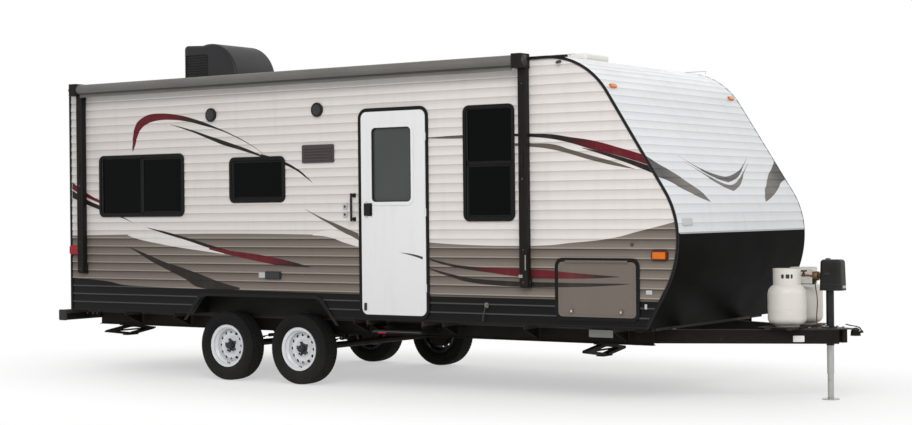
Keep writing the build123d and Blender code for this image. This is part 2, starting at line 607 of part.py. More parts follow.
# ---------------------------------------------------------------- baggage hatches
HATCH_HINGE_SHARE = 0.8      # share of a hatch's width that its hinge takes
HATCH_LOCKS = (-0.32, 0.32)  # places of its locks, as shares of its width from the middle
HATCH_LOCK_RISE = 45.0       # their height over its lower edge
HATCH_LOCK_WIDE = 26.0
HATCH_LOCK_TALL = 40.0
HATCH_LOCK_PROUD = 14.0
for side, sign in SIDES.items():
    hatch_line_y = sign * (LEAF_FACE + HINGE_OFF)
    hatch_line_z = height(HATCH_HIGH[1]) - FRAME_FLANGE
    hatch_centre, hatch_width, hatch_tall = box_between(HATCH_LOW, HATCH_HIGH, -LEAF_INSET)
    with BuildPart() as hatch:
        with BuildSketch(side_plane(side, LEAF_FACE)):
            door_shape(HATCH_LOW, HATCH_HIGH, HATCH_RADIUS, -LEAF_INSET)
        extrude(amount=sign * HATCH_THICK)
        with BuildSketch(Plane.YZ.offset(hatch_centre[0] - hatch_width * HATCH_HINGE_SHARE / 2)):
            with Locations((hatch_line_y, hatch_line_z)):
                Circle(KNUCKLE)
            with Locations((hatch_line_y - sign * HINGE_OFF / 2, hatch_line_z - LEAF_GAP - TAB_BACK)):
                Rectangle(HINGE_OFF, 2 * LEAF_GAP)
        extrude(amount=hatch_width * HATCH_HINGE_SHARE)
        with BuildSketch(side_plane(side, LEAF_FACE)):
            lock_z = hatch_centre[1] - hatch_tall / 2 + HATCH_LOCK_RISE
            with Locations([(hatch_centre[0] + shift * hatch_width, lock_z) for shift in HATCH_LOCKS]):
                RectangleRounded(HATCH_LOCK_WIDE, HATCH_LOCK_TALL, 8)
        extrude(amount=-sign * HATCH_LOCK_PROUD)
    hatch.part.label = f"hatch_{side}"
    export_step(hatch.part, f"parts/hatch_{side}.step")

# ---------------------------------------------------------------- wheels
BEAD_GAP = 0.3               # tyre bead to rim
RIM_METAL = 6.0
DROP_CENTRE = 17.0           # depth of the rim's well under the bead seats
DROP_METAL = 7.0
DISC_HOLES = 12
HOLE_CIRCLE = 128.0          # radius of the circle that the holes lie on
HOLE_RADIUS = 11.0
NUTS = 5
NUT_CIRCLE = 57.0
NUT_RADIUS = 11.0
NUT_TALL = 20.0
TREAD_DEEP = 14.0            # rubber under the crown
with BuildPart() as rim_master:
    with BuildSketch(Plane.XY):
        with BuildLine():
            half = RIM_WIDTH / 2
            bead = RIM_RADIUS - BEAD_GAP
            well = RIM_RADIUS - DROP_CENTRE
            inside = RIM_RADIUS - RIM_METAL
            lip = RIM_FLANGE_RADIUS - RIM_METAL
            barrel = well - DROP_METAL
            Polyline((barrel, -30), (barrel, 36), (inside, half - 18), (inside, half), (lip, half + 4),
                     (RIM_FLANGE_RADIUS, half + 10), (RIM_FLANGE_RADIUS, half + BEAD_GAP),
                     (bead, half + BEAD_GAP), (bead, half - 20), (well, 34), (well, -34), (bead, 20 - half),
                     (bead, -half - BEAD_GAP), (RIM_FLANGE_RADIUS, -half - BEAD_GAP),
                     (RIM_FLANGE_RADIUS, -half - 10), (lip, -half - 4), (inside, -half),
                     (inside, 18 - half), close=True)
        make_face()
    revolve(axis=Axis.Y)
    with BuildSketch(Plane.XY):
        with BuildLine():
            Polyline((55, 6), (78, 14), (118, 22), (140, 10), (barrel, 0), (barrel, -5), (138, 5),
                     (118, 16), (78, 8), (55, 0), close=True)
        make_face()
    revolve(axis=Axis.Y)
    with BuildSketch(Plane.XZ.offset(-40)):
        with PolarLocations(HOLE_CIRCLE, DISC_HOLES):
            Circle(HOLE_RADIUS)
    extrude(amount=60, mode=Mode.SUBTRACT)
    with BuildSketch(Plane.XY):
        with BuildLine():
            bore = SPINDLE_RADIUS + BEARING_GAP
            Polyline((0, 62), (26, 62), (30, 56), (32, 20), (58, 14), (80, 8), (80, -2), (130, -2),
                     (130, -62), (124, -62), (124, -12), (40, -12), (40, -46), (bore, -46), (bore, 44),
                     (0, 44), close=True)
        make_face()
    revolve(axis=Axis.Y)
    with BuildSketch(Plane.XZ.offset(-10)):
        with PolarLocations(NUT_CIRCLE, NUTS):
            RegularPolygon(NUT_RADIUS, 6)
    extrude(amount=-NUT_TALL)

with BuildPart() as tyre_master:
    with BuildSketch(Plane.XY):
        with BuildLine():
            half = RIM_WIDTH / 2
            wide = TYRE_WIDTH / 2
            Polyline((RIM_RADIUS, half - 22), (RIM_RADIUS, half), (RIM_FLANGE_RADIUS + 2, half))
            shoulder = (TYRE_RADIUS - 16, wide - 9)
            crown_edge = (TYRE_RADIUS, wide - 28)
            inner_crown = TYRE_RADIUS - TREAD_DEEP
            ThreePointArc((RIM_FLANGE_RADIUS + 2, half), (TYRE_RADIUS - 75, wide), shoulder)
            ThreePointArc(shoulder, (TYRE_RADIUS - 4, wide - 15), crown_edge)
            Line(crown_edge, (TYRE_RADIUS, 0))
            Polyline((TYRE_RADIUS, 0), (inner_crown, 0), (inner_crown, half - 12),
                     (TYRE_RADIUS - 60, half - 6), (RIM_RADIUS + 6, half - 22), (RIM_RADIUS, half - 22))
        make_face()
    revolve(axis=Axis.Y)
    mirror(about=Plane.XZ)

for side, sign in SIDES.items():
    for end, place in ENDS.items():
        hub = Location((along(place), sign * HUB_FACE, HUB_Z), (0, 0, 0 if sign > 0 else 180))
        with BuildPart() as rim:
            add(rim_master.part.moved(hub))
        rim.part.label = f"rim_{end}_{side}"
        export_step(rim.part, f"parts/rim_{end}_{side}.step")
        with BuildPart() as tyre:
            add(tyre_master.part.moved(hub))
        tyre.part.label = f"tyre_{end}_{side}"
        export_step(tyre.part, f"parts/tyre_{end}_{side}.step")

# ---------------------------------------------------------------- axles and springs
BACKING_PLATE = 1022.0       # centreline to the brake backing plate
BACKING_RADIUS = 125.0
SPINDLE_END = HUB_FACE + 42
SEAT = 8.0                   # spring seat on the axle tube
LEAF = 8.0
LEAF_WIDTH = 45.0
EYE_REACH = 317.0            # axle to a spring eye
EYE_RISE = 30.0              # camber of the main leaf
EYE_RADIUS = 16.0
PIN_RADIUS = 8.0
LEAF_REACHES = [EYE_REACH, 230.0, 150.0, 90.0]
STACK_BOTTOM = HUB_Z + AXLE_TUBE / 2 + SEAT
MAIN_LEAF = STACK_BOTTOM + LEAF * (len(LEAF_REACHES) - 1)
EYE_Z = MAIN_LEAF + EYE_RISE + LEAF / 2

with BuildPart() as axles:
    for place in AXLES:
        centre = (along(place), HUB_Z)
        with BuildSketch(Plane.XZ):
            with Locations(centre):
                Circle(AXLE_TUBE / 2)
        extrude(amount=BACKING_PLATE, both=True)
        with BuildSketch(Plane.XZ):
            with Locations(centre):
                Circle(SPINDLE_RADIUS)
        extrude(amount=SPINDLE_END, both=True)
        for side in SIDES:
            with BuildSketch(side_plane(side, BACKING_PLATE)):
                with Locations(centre):
                    Circle(BACKING_RADIUS)
            extrude(amount=-SIDES[side] * SEAT)
            with BuildSketch(side_plane(side, RAIL_PLACE)):
                with Locations((centre[0], STACK_BOTTOM - SEAT)):
                    Rectangle(90, 2 * SEAT)
            extrude(amount=LEAF_WIDTH / 2, both=True)
axles.part.label = "axles"
export_step(axles.part, "parts/axles.step")


def leaf_height(reach):
    """Camber of the leaves at a distance from the axle."""
    return EYE_RISE * (reach / EYE_REACH) ** 2


with BuildPart() as leaf_springs:
    for side in SIDES:
        for place in AXLES:
            with BuildSketch(side_plane(side, RAIL_PLACE)):
                for count, reach in enumerate(LEAF_REACHES):
                    low = MAIN_LEAF - LEAF * count
                    x = along(place)
                    end = low + leaf_height(reach)
                    with BuildLine():
                        ThreePointArc((x - reach, end), (x, low), (x + reach, end))
                        Line((x + reach, end), (x + reach, end + LEAF))
                        ThreePointArc((x + reach, end + LEAF), (x, low + LEAF), (x - reach, end + LEAF))
                        Line((x - reach, end + LEAF), (x - reach, end))
                    make_face()
                with Locations((along(place) - EYE_REACH, EYE_Z), (along(place) + EYE_REACH, EYE_Z)):
                    Circle(EYE_RADIUS)
                    Circle(PIN_RADIUS + BEARING_GAP, mode=Mode.SUBTRACT)
            extrude(amount=LEAF_WIDTH / 2, both=True)
leaf_springs.part.label = "leaf_springs"
export_step(leaf_springs.part, "parts/leaf_springs.step")

HANGERS = [AXLES[0] - EYE_REACH, AXLES[1] + EYE_REACH]
EQUALIZER_Z = EYE_Z + 22
EQUALIZER_REACH = AXLE_SPACING / 2 - EYE_REACH
HANGER_PLATE = 5.0
HANGER_WIDE = LEAF_WIDTH + 2 * 3
EQUALIZER_PLATE = 6.0

# ---------------------------------------------------------------- frame
CROSSMEMBERS = [200.0, 1250.0, 3720.0, 4700.0, 5500.0]
CROSS_HEIGHT = 90.0
CROSS_WIDTH = 40.0
OUTRIGGERS = [700.0, 1350.0, 3520.0, 4480.0, 5300.0, 6150.0]
OUTRIGGER_TIP = CORE_INNER - 2
OUTRIGGER_METAL = 6.0
OUTRIGGER_TALL = 40.0        # at the tip
BRACKET_START = -(BUMPER_REACH - BUMPER_SIZE)
BRACKET_TALL = 80.0
BRACKET_WIDE = 40.0
BRACKET_DROP = 48.0          # rail's top to the middle of a bumper bracket
WELD_GAP = 0.3               # between the rails and what is welded to them
RAIL_SIDE = RAIL_PLACE - RAIL_FLANGE / 2 - WELD_GAP
RAIL_OUTSIDE = RAIL_PLACE + RAIL_FLANGE / 2 + WELD_GAP

with BuildPart() as frame_rails:
    for sign in SIDES.values():
        with BuildSketch(Plane.YZ.offset(along(RAIL_START))):
            with Locations((sign * RAIL_PLACE, (RAIL_TOP + RAIL_BOTTOM) / 2)):
                Rectangle(RAIL_METAL, RAIL_HEIGHT)
            with Locations((sign * RAIL_PLACE, RAIL_TOP - RAIL_METAL / 2),
                           (sign * RAIL_PLACE, RAIL_BOTTOM + RAIL_METAL / 2)):
                Rectangle(RAIL_FLANGE, RAIL_METAL)
        extrude(amount=RAIL_END - RAIL_START)
        with BuildSketch(Plane.YZ.offset(along(BRACKET_START))):
            with Locations((sign * RAIL_PLACE, RAIL_TOP - BRACKET_DROP)):
                Rectangle(BRACKET_WIDE, BRACKET_TALL)
        extrude(amount=RAIL_START - BRACKET_START)
        for place in OUTRIGGERS:
            with BuildSketch(Plane.YZ.offset(along(place))):
                Polygon((sign * RAIL_OUTSIDE, RAIL_TOP), (sign * OUTRIGGER_TIP, RAIL_TOP),
                        (sign * OUTRIGGER_TIP, RAIL_TOP - OUTRIGGER_TALL),
                        (sign * RAIL_OUTSIDE, RAIL_BOTTOM + OUTRIGGER_TALL / 2), align=None)
            extrude(amount=OUTRIGGER_METAL)
    with BuildSketch(Plane.XZ):
        with Locations([(along(x), RAIL_TOP - CROSS_HEIGHT / 2) for x in CROSSMEMBERS]):
            Rectangle(CROSS_WIDTH, CROSS_HEIGHT)
            with Locations((-RAIL_METAL, 0)):
                Rectangle(CROSS_WIDTH, CROSS_HEIGHT - 2 * RAIL_METAL, mode=Mode.SUBTRACT)
        with Locations((along(RAIL_END) - CROSS_WIDTH / 2, (RAIL_TOP + height(DRAWBAR_TOP)) / 2)):
            Rectangle(CROSS_WIDTH, RAIL_TOP - height(DRAWBAR_TOP))
    extrude(amount=RAIL_SIDE, both=True)
frame_rails.part.label = "frame_rails"
export_step(frame_rails.part, "parts/frame_rails.step")

BUMPER_METAL = 3.5
BUMPER_ROUND = 10.0
with BuildPart() as rear_bumper:
    with BuildSketch(Plane.XZ):
        with Locations((along(BRACKET_START) - BUMPER_SIZE / 2, height(BUMPER_BOTTOM) + BUMPER_SIZE / 2)):
            RectangleRounded(BUMPER_SIZE, BUMPER_SIZE, BUMPER_ROUND)
            inside = BUMPER_SIZE - 2 * BUMPER_METAL
            RectangleRounded(inside, inside, BUMPER_ROUND - 4, mode=Mode.SUBTRACT)
    extrude(amount=HALF, both=True)
rear_bumper.part.label = "rear_bumper"
export_step(rear_bumper.part, "parts/rear_bumper.step")

BEAM_FRONT = (-115.0, 62.0)  # middle of a beam's front end, from the ball
BEAM_TOP = height(DRAWBAR_TOP)
BEAM_DIRECTION = (-cos(radians(DRAWBAR_ANGLE)), sin(radians(DRAWBAR_ANGLE)))
RAIL_INSIDE = RAIL_PLACE - RAIL_FLANGE / 2
BEAM_REACH = (RAIL_INSIDE - BEAM_FRONT[1]) / BEAM_DIRECTION[1] + DRAWBAR_WIDTH
DRAWBAR_LIMIT = 2800.0       # longer than the drawbar


def beam_corner(reach, aside):
    """Corner of a beam in plan, at a reach back from its front end and a distance aside of its middle."""
    return (BEAM_FRONT[0] + reach * BEAM_DIRECTION[0] + aside * BEAM_DIRECTION[1],
            BEAM_FRONT[1] + reach * BEAM_DIRECTION[1] - aside * BEAM_DIRECTION[0])


with BuildPart() as drawbar:
    for sign in SIDES.values():
        with BuildSketch(Plane.XY.offset(BEAM_TOP - DRAWBAR_HEIGHT)):
            aside = DRAWBAR_WIDTH / 2
            corners = [beam_corner(0, aside), beam_corner(BEAM_REACH, aside),
                       beam_corner(BEAM_REACH, -aside), beam_corner(0, -aside)]
            Polygon(*[(x, sign * y) for x, y in corners], align=None)
        extrude(amount=DRAWBAR_HEIGHT)
    with BuildSketch(Plane.XY.offset(BEAM_TOP - DRAWBAR_HEIGHT)):
        with Locations((-DRAWBAR_LIMIT / 2, 0)):
            Rectangle(DRAWBAR_LIMIT, 2 * RAIL_INSIDE)
    extrude(amount=DRAWBAR_HEIGHT, mode=Mode.INTERSECT)
drawbar.part.label = "drawbar"
export_step(drawbar.part, "parts/drawbar.step")

COUPLER_PLATE = 8.0
JACK_X = along(JACK_PLACE)
SOCKET_TOP = 6.0             # height of the straight part's upper end over the ball's centre
SOCKET_METAL = 9.0
COUPLER_BACK = (-380.0, 190.0)   # rear corner of the top plate, and half its width there
COUPLER_NECK = (-60.0, 48.0)
COUPLER_NOSE = (0.0, 40.0)
with BuildPart() as coupler:
    with BuildSketch(Plane.XY.offset(BEAM_TOP)):
        half_plate = [COUPLER_BACK, COUPLER_NECK, COUPLER_NOSE]
        Polygon(*[(x, -y) for x, y in half_plate], *reversed(half_plate), align=None)
        with Locations((JACK_X, 0)):
            Circle(JACK_TUBE / 2 + JACK_WALL_GAP, mode=Mode.SUBTRACT)
    extrude(amount=COUPLER_PLATE)
    with BuildSketch(Plane.XZ):
        with BuildLine():
            outer = BALL_SOCKET_RADIUS + SOCKET_METAL
            low = SOCKET_TOP - BALL_SOCKET_DEPTH
            Line((0, SOCKET_TOP + outer), (0, low))
            Polyline((0, low), (outer + 3, low), (outer + 3, low + 8), (outer, low + 8),
                     (outer, SOCKET_TOP))
            CenterArc((0, SOCKET_TOP), outer, 0, 90)
        make_face()
    revolve(axis=Axis.Z)
    with BuildSketch(Plane.XY.offset(4)):
        with Locations((34, 0)):
            RectangleRounded(54, 46, 12)
    extrude(amount=14)
    with BuildSketch(Plane.XZ):
        with BuildLine():
            Line((0, SOCKET_TOP + BALL_SOCKET_RADIUS), (0, low))
            Line((0, low), (BALL_SOCKET_RADIUS, low))
            Line((BALL_SOCKET_RADIUS, low), (BALL_SOCKET_RADIUS, SOCKET_TOP))
            CenterArc((0, SOCKET_TOP), BALL_SOCKET_RADIUS, 0, 90)
        make_face()
    revolve(axis=Axis.Z, mode=Mode.SUBTRACT)
coupler.part.label = "coupler"
export_step(coupler.part, "parts/coupler.step")

# ---------------------------------------------------------------- tongue jack
HEAD_LENGTH = 190.0
HEAD_WIDTH = 150.0
JACK_BORE_TOP = 856.0        # height of the blind end of the outer tube's bore
JACK_HELD = 150.0            # leg inside the outer tube at rest
DROP_LEG = 50.0              # diameter of the lower leg
DROP_LEG_TOP = 210.0         # height where the lower leg leaves the upper one
FLANGE_THICK = 8.0
FLANGE_RADIUS = 72.0
HEAD_FORWARD = 26.0          # jack's axis to the middle of its head
FOOT_THICK = 8.0
with BuildPart() as tongue_jack:
    with BuildSketch(Plane.XY.offset(height(JACK_TUBE_BOTTOM))):
        with Locations((JACK_X, 0)):
            Circle(JACK_TUBE / 2)
    extrude(amount=JACK_HEAD_BOTTOM - JACK_TUBE_BOTTOM)
    with BuildSketch(Plane.XY.offset(BEAM_TOP + COUPLER_PLATE)):
        with Locations((JACK_X, 0)):
            Circle(FLANGE_RADIUS)
    extrude(amount=FLANGE_THICK)
    with BuildSketch(Plane.XY.offset(height(JACK_HEAD_BOTTOM))):
        with Locations((JACK_X + HEAD_FORWARD, 0)):
            RectangleRounded(HEAD_LENGTH, HEAD_WIDTH, 36)
    extrude(amount=JACK_HEAD_TOP - JACK_HEAD_BOTTOM, taper=2)
    fillet(tongue_jack.faces().sort_by(Axis.Z)[-1].edges(), 28)
    with BuildSketch(Plane.XY.offset(height(JACK_TUBE_BOTTOM))):
        with Locations((JACK_X, 0)):
            Circle(JACK_LEG / 2 + JACK_WALL_GAP)
    extrude(amount=JACK_BORE_TOP - JACK_TUBE_BOTTOM, mode=Mode.SUBTRACT)
tongue_jack.part.label = "tongue_jack"
export_step(tongue_jack.part, "parts/tongue_jack.step")

with BuildPart() as jack_leg:
    with BuildSketch(Plane.XY.offset(height(DROP_LEG_TOP))):
        with Locations((JACK_X, 0)):
            Circle(JACK_LEG / 2)
    extrude(amount=JACK_TUBE_BOTTOM + JACK_HELD - DROP_LEG_TOP)
    with BuildSketch(Plane.XY.offset(GROUND + FOOT_THICK)):
        with Locations((JACK_X, 0)):
            Circle(DROP_LEG / 2)
    extrude(amount=DROP_LEG_TOP - FOOT_THICK)
    with BuildSketch(Plane.XY.offset(GROUND)):
        with Locations((JACK_X, 0)):
            Circle(JACK_FOOT / 2)
    extrude(amount=FOOT_THICK)
jack_leg.part.label = "jack_leg"
export_step(jack_leg.part, "parts/jack_leg.step")

# ---------------------------------------------------------------- stabilizer jacks
STABILIZERS = [430.0, 5870.0]    # rear wall to the jacks
STABILIZER_MIDDLE = 830.0        # centreline to the middle of a jack
ARM_SPREAD = 300.0
ARM_TALL = 24.0
ARM_PIVOT = 32.0
STABILIZER_BASE = 18.0
STABILIZER_KNEE = 55.0           # rails to the knees of a folded jack
STABILIZER_FOOT = 92.0           # rails to its foot's pivots
SCREW_RADIUS = 8.0
SCREW_MORE = 50.0                # screw beyond the knees
with BuildPart() as stabilizer_jacks:
    for place in STABILIZERS:
        for sign in SIDES.values():
            middle = sign * STABILIZER_MIDDLE
            top_z = RAIL_BOTTOM - STABILIZER_BASE
            knee_z = RAIL_BOTTOM - STABILIZER_KNEE
            foot_z = RAIL_BOTTOM - STABILIZER_FOOT
            with BuildSketch(Plane.YZ.offset(along(place))):
                for turn in (-1, 1):
                    for start_z in (top_z, foot_z):
                        pivot = (middle + turn * ARM_PIVOT, start_z)
                        knee = (middle + turn * ARM_SPREAD, knee_z)
                        with BuildLine():
                            Line(pivot, knee)
                        trace(line_width=ARM_TALL)
                        with Locations(pivot, knee):
                            Circle(ARM_TALL / 2)
            extrude(amount=30, both=True)
            base_inner = STABILIZER_MIDDLE - ARM_PIVOT - 25
            base_outer = RAIL_PLACE + RAIL_FLANGE / 2
            with BuildSketch(Plane.YZ.offset(along(place))):
                with Locations((sign * (base_inner + base_outer) / 2, RAIL_BOTTOM - 4)):
                    Rectangle(base_outer - base_inner, 8)
                with Locations((middle, (RAIL_BOTTOM + top_z - 12) / 2)):
                    Rectangle(2 * ARM_PIVOT + 50, RAIL_BOTTOM - top_z + 12)
                with Locations((middle, foot_z - 12)):
                    Rectangle(150, 8)
            extrude(amount=36, both=True)
            with BuildSketch(Plane.XZ.offset(-middle + ARM_SPREAD + SCREW_MORE)):
                with Locations((along(place), knee_z)):
                    Circle(SCREW_RADIUS)
            extrude(amount=-2 * (ARM_SPREAD + SCREW_MORE))
stabilizer_jacks.part.label = "stabilizer_jacks"
export_step(stabilizer_jacks.part, "parts/stabilizer_jacks.step")

# ---------------------------------------------------------------- gas bottles
BOTTLE_X = along(7200.0)
BOTTLE_OUT = 170.0           # centreline to a bottle's axis
BOTTLE_RADIUS = 156.0
BOTTLE_FOOT = 595.0
BOTTLE_SHOULDER = 943.0
BOTTLE_TOP = 1065.0
SHOULDER_ARC = 86.0
COLLAR_RADIUS = 112.0
COLLAR_METAL = 3.0
COLLAR_SUNK = 26.0           # foot of the collar under the bottle's top
COLLAR_GAP = 120.0           # width of the opening in the collar
NECK_TALL = 30.0
COLLAR_TURN = 60.0           # direction of that opening, degrees from forward towards the centre
TRAY = 20.0                  # height of the rack's tray over the beams
TRAY_METAL = 3.0
SUPPLY_FOOT = (20.0, -4.0)   # foot of the supply hose, forward of and beside the regulator's back
SUPPLY_NUT = 22.0            # height of the nut at that foot
with BuildPart() as gas_bottles:
    with BuildSketch(Plane.XZ):
        with BuildLine():
            base = height(BOTTLE_FOOT)
            shoulder = height(BOTTLE_SHOULDER)
            flat = BOTTLE_RADIUS - SHOULDER_ARC
            Polyline((0, base + 30), (70, base + 22), (95, base + 22), (95, base), (100, base),
                     (100, base + 14))
            ThreePointArc((100, base + 14), (142, base + 32), (BOTTLE_RADIUS, base + 78))
            Line((BOTTLE_RADIUS, base + 78), (BOTTLE_RADIUS, shoulder - SHOULDER_ARC))
            CenterArc((flat, shoulder - SHOULDER_ARC), SHOULDER_ARC, 0, 90)
            Polyline((flat, shoulder), (20, shoulder + 4), (20, shoulder + NECK_TALL),
                     (0, shoulder + NECK_TALL), (0, base + 30))
        make_face()
    revolve(axis=Axis.Z)
    with BuildSketch(Plane.XY.offset(height(BOTTLE_SHOULDER) - COLLAR_SUNK)):
        Circle(COLLAR_RADIUS)
        Circle(COLLAR_RADIUS - COLLAR_METAL, mode=Mode.SUBTRACT)
    extrude(amount=BOTTLE_TOP - BOTTLE_SHOULDER + COLLAR_SUNK)
    with BuildSketch(Plane.YZ.offset(COLLAR_GAP / 2)):
        with Locations((0, height(BOTTLE_TOP) - 45)):
            Rectangle(COLLAR_GAP, 60)
    extrude(amount=60, mode=Mode.SUBTRACT)
bottle = gas_bottles.part
with BuildPart() as gas_bottles:
    for sign in SIDES.values():
        add(bottle.moved(Location((BOTTLE_X, sign * BOTTLE_OUT, 0), (0, 0, -sign * COLLAR_TURN))))
gas_bottles.part.label = "gas_bottles"
export_step(gas_bottles.part, "parts/gas_bottles.step")

HOLD_DOWN = BOTTLE_OUT - COLLAR_RADIUS - 1.5    # half length of the bar that holds the bottles
hold_down_reach = BOTTLE_OUT - HOLD_DOWN - BOTTLE_RADIUS + SHOULDER_ARC
HOLD_DOWN_Z = (height(BOTTLE_SHOULDER) - SHOULDER_ARC + BEARING_GAP
               + sqrt(SHOULDER_ARC ** 2 - hold_down_reach ** 2))
BRACKET_FRONT = BOTTLE_X + 165.0
BRACKET_TOP = HOLD_DOWN_Z + 105.0
BRACKET_METAL = 5.0
TRAY_RAIL = 95.0             # bottles' axes to the middles of the rails under the tray
with BuildPart() as bottle_rack:
    with BuildSketch(Plane.XY.offset(BEAM_TOP)):
        with Locations((BOTTLE_X - TRAY_RAIL, 0), (BOTTLE_X + TRAY_RAIL, 0)):
            Rectangle(40, 700)
    extrude(amount=TRAY - TRAY_METAL)
    with BuildSketch(Plane.XY.offset(BEAM_TOP + TRAY - TRAY_METAL)):
        with Locations((BOTTLE_X - 20, 0)):
            RectangleRounded(330, 720, 30)
    extrude(amount=TRAY_METAL)
    with BuildSketch(Plane.XY.offset(BEAM_TOP + TRAY)):
        with Locations((BOTTLE_X, 0)):
            Circle(8)
    extrude(amount=HOLD_DOWN_Z + 40 - BEAM_TOP - TRAY)
    with BuildSketch(Plane.XY.offset(HOLD_DOWN_Z)):
        with Locations((BOTTLE_X, 0)):
            Rectangle(40, 2 * HOLD_DOWN)
        with Locations(((BOTTLE_X + BRACKET_FRONT) / 2, 0)):
            Rectangle(BRACKET_FRONT - BOTTLE_X, 40)
    extrude(amount=BRACKET_METAL)
    with BuildSketch(Plane.YZ.offset(BRACKET_FRONT - BRACKET_METAL)):
        with Locations((0, (HOLD_DOWN_Z + BRACKET_TOP) / 2)):
            Rectangle(60, BRACKET_TOP - HOLD_DOWN_Z)
    extrude(amount=BRACKET_METAL)
bottle_rack.part.label = "bottle_rack"
export_step(bottle_rack.part, "parts/bottle_rack.step")

VALVE_FOOT = height(BOTTLE_SHOULDER) + NECK_TALL
VALVE_TALL = 42.0
VALVE_REACH = 46.0           # bottle axis to the end of the outlet nut
HOSE_Z = VALVE_FOOT + 28
HOSE = 9.0                   # diameter
REGULATOR_Z = HOSE_Z
REGULATOR_DEEP = 52.0
REGULATOR_X = BRACKET_FRONT
INLET_OUT = 33.0             # centreline to a regulator inlet
INLET_BACK = 12.0
SUPPLY_DROP = 26.0           # length of the outlet under the regulator
VALVE_TURN = COLLAR_TURN     # direction of a valve's outlet
STEM_TALL = 12.0
KNOB_RADIUS = 27.0
KNOB_TALL = 13.0
REGULATOR_TALL = 56.0
with BuildPart() as gas_fittings:
    for sign in SIDES.values():
        with BuildSketch(Plane.XY.offset(VALVE_FOOT)):
            with Locations((BOTTLE_X, sign * BOTTLE_OUT)):
                Circle(15)
        extrude(amount=VALVE_TALL)
        with BuildSketch(Plane.XY.offset(VALVE_FOOT + VALVE_TALL)):
            with Locations((BOTTLE_X, sign * BOTTLE_OUT)):
                Circle(8)
        extrude(amount=STEM_TALL)
        with BuildSketch(Plane.XY.offset(VALVE_FOOT + VALVE_TALL + STEM_TALL)):
            with Locations((BOTTLE_X, sign * BOTTLE_OUT)):
                Circle(KNOB_RADIUS)
                with PolarLocations(KNOB_RADIUS + 2, 8):
                    Circle(4, mode=Mode.SUBTRACT)
        extrude(amount=KNOB_TALL)
        outlet = (cos(radians(VALVE_TURN)), -sign * sin(radians(VALVE_TURN)), 0)
        with BuildSketch(Plane((BOTTLE_X, sign * BOTTLE_OUT, HOSE_Z), z_dir=outlet)):
            Circle(11)
        extrude(amount=VALVE_REACH)
        inlet = (REGULATOR_X - BRACKET_METAL - INLET_BACK, sign * INLET_OUT, REGULATOR_Z)
        with BuildSketch(Plane(inlet, z_dir=(1, 0, 0))):
            Circle(9)
        extrude(amount=INLET_BACK)
    with BuildSketch(Plane.YZ.offset(REGULATOR_X)):
        with Locations((0, REGULATOR_Z)):
            RectangleRounded(86, REGULATOR_TALL, 10)
    extrude(amount=16)
    with BuildSketch(Plane.YZ.offset(REGULATOR_X + 16)):
        with Locations((0, REGULATOR_Z)):
            Circle(40)
    extrude(amount=REGULATOR_DEEP - 28, taper=8)
    with BuildSketch(Plane.YZ.offset(REGULATOR_X + REGULATOR_DEEP - 12)):
        with Locations((0, REGULATOR_Z)):
            Circle(17)
    extrude(amount=12)
    with BuildSketch(Plane.XY.offset(REGULATOR_Z - REGULATOR_TALL / 2 - SUPPLY_DROP)):
        with Locations((REGULATOR_X + 10, 0)):
            RegularPolygon(9.5, 6)
    extrude(amount=SUPPLY_DROP + 4)
    with BuildSketch(Plane.XY.offset(BEAM_TOP + COUPLER_PLATE)):
        with Locations((REGULATOR_X + SUPPLY_FOOT[0], SUPPLY_FOOT[1])):
            RegularPolygon(10, 6)
    extrude(amount=SUPPLY_NUT)
gas_fittings.part.label = "gas_fittings"
export_step(gas_fittings.part, "parts/gas_fittings.step")


def rounded_route(points):
    """Runs through the points joined by tangent arcs, in the current BuildLine; returns the radii."""
    radii = []
    cursor = Vector(*points[0])
    for before, point, after in zip(points, points[1:], points[2:]):
        into = (Vector(*point) - Vector(*before))
        out = (Vector(*after) - Vector(*point))
        half_turn = radians(into.get_angle(out)) / 2
        radius = 0.45 * min(into.length, out.length) / tan(half_turn)
        radii.append(radius)
        cut = 0.45 * min(into.length, out.length)
        start = Vector(*point) - into.normalized() * cut
        end = Vector(*point) + out.normalized() * cut
        inward = (out.normalized() - into.normalized()).normalized()
        middle = Vector(*point) + inward * (radius / cos(half_turn) - radius)
        Line(cursor, start)
        ThreePointArc(start, middle, end)
        cursor = end
    Line(cursor, Vector(*points[-1]))
    return radii


valve_end = (VALVE_REACH * cos(radians(VALVE_TURN)), VALVE_REACH * sin(radians(VALVE_TURN)))
PIGTAIL = [                  # curb side; forward of the bottle's axis, out from the centreline, up
    (valve_end[0], BOTTLE_OUT - valve_end[1], 0),
    (valve_end[0] + 29, BOTTLE_OUT - valve_end[1] - 29 * tan(radians(VALVE_TURN)), 0),
    (79, 53, 6),
    (105, 38, 4),
    (122, INLET_OUT, 0),
    (BRACKET_FRONT - BRACKET_METAL - INLET_BACK - BOTTLE_X, INLET_OUT, 0),
]
SUPPLY = [                   # from the regulator's outlet to the foot on the drawbar; forward, aside, up
    (10, 0, REGULATOR_Z - REGULATOR_TALL / 2 - SUPPLY_DROP),
    (10, 0, REGULATOR_Z - 90),
    (22, -3, REGULATOR_Z - 145),
    (30, -6, REGULATOR_Z - 205),
    (26, -6, REGULATOR_Z - 265),
    (SUPPLY_FOOT[0], SUPPLY_FOOT[1], REGULATOR_Z - 325),
    (SUPPLY_FOOT[0], SUPPLY_FOOT[1], BEAM_TOP + COUPLER_PLATE + SUPPLY_NUT),
]
hoses = {
    "gas_hose_curb": [(BOTTLE_X + x, -y, HOSE_Z + z) for x, y, z in PIGTAIL],
    "gas_hose_street": [(BOTTLE_X + x, y, HOSE_Z + z) for x, y, z in PIGTAIL],
    "gas_hose_supply": [(REGULATOR_X + x, y, z) for x, y, z in SUPPLY],
}
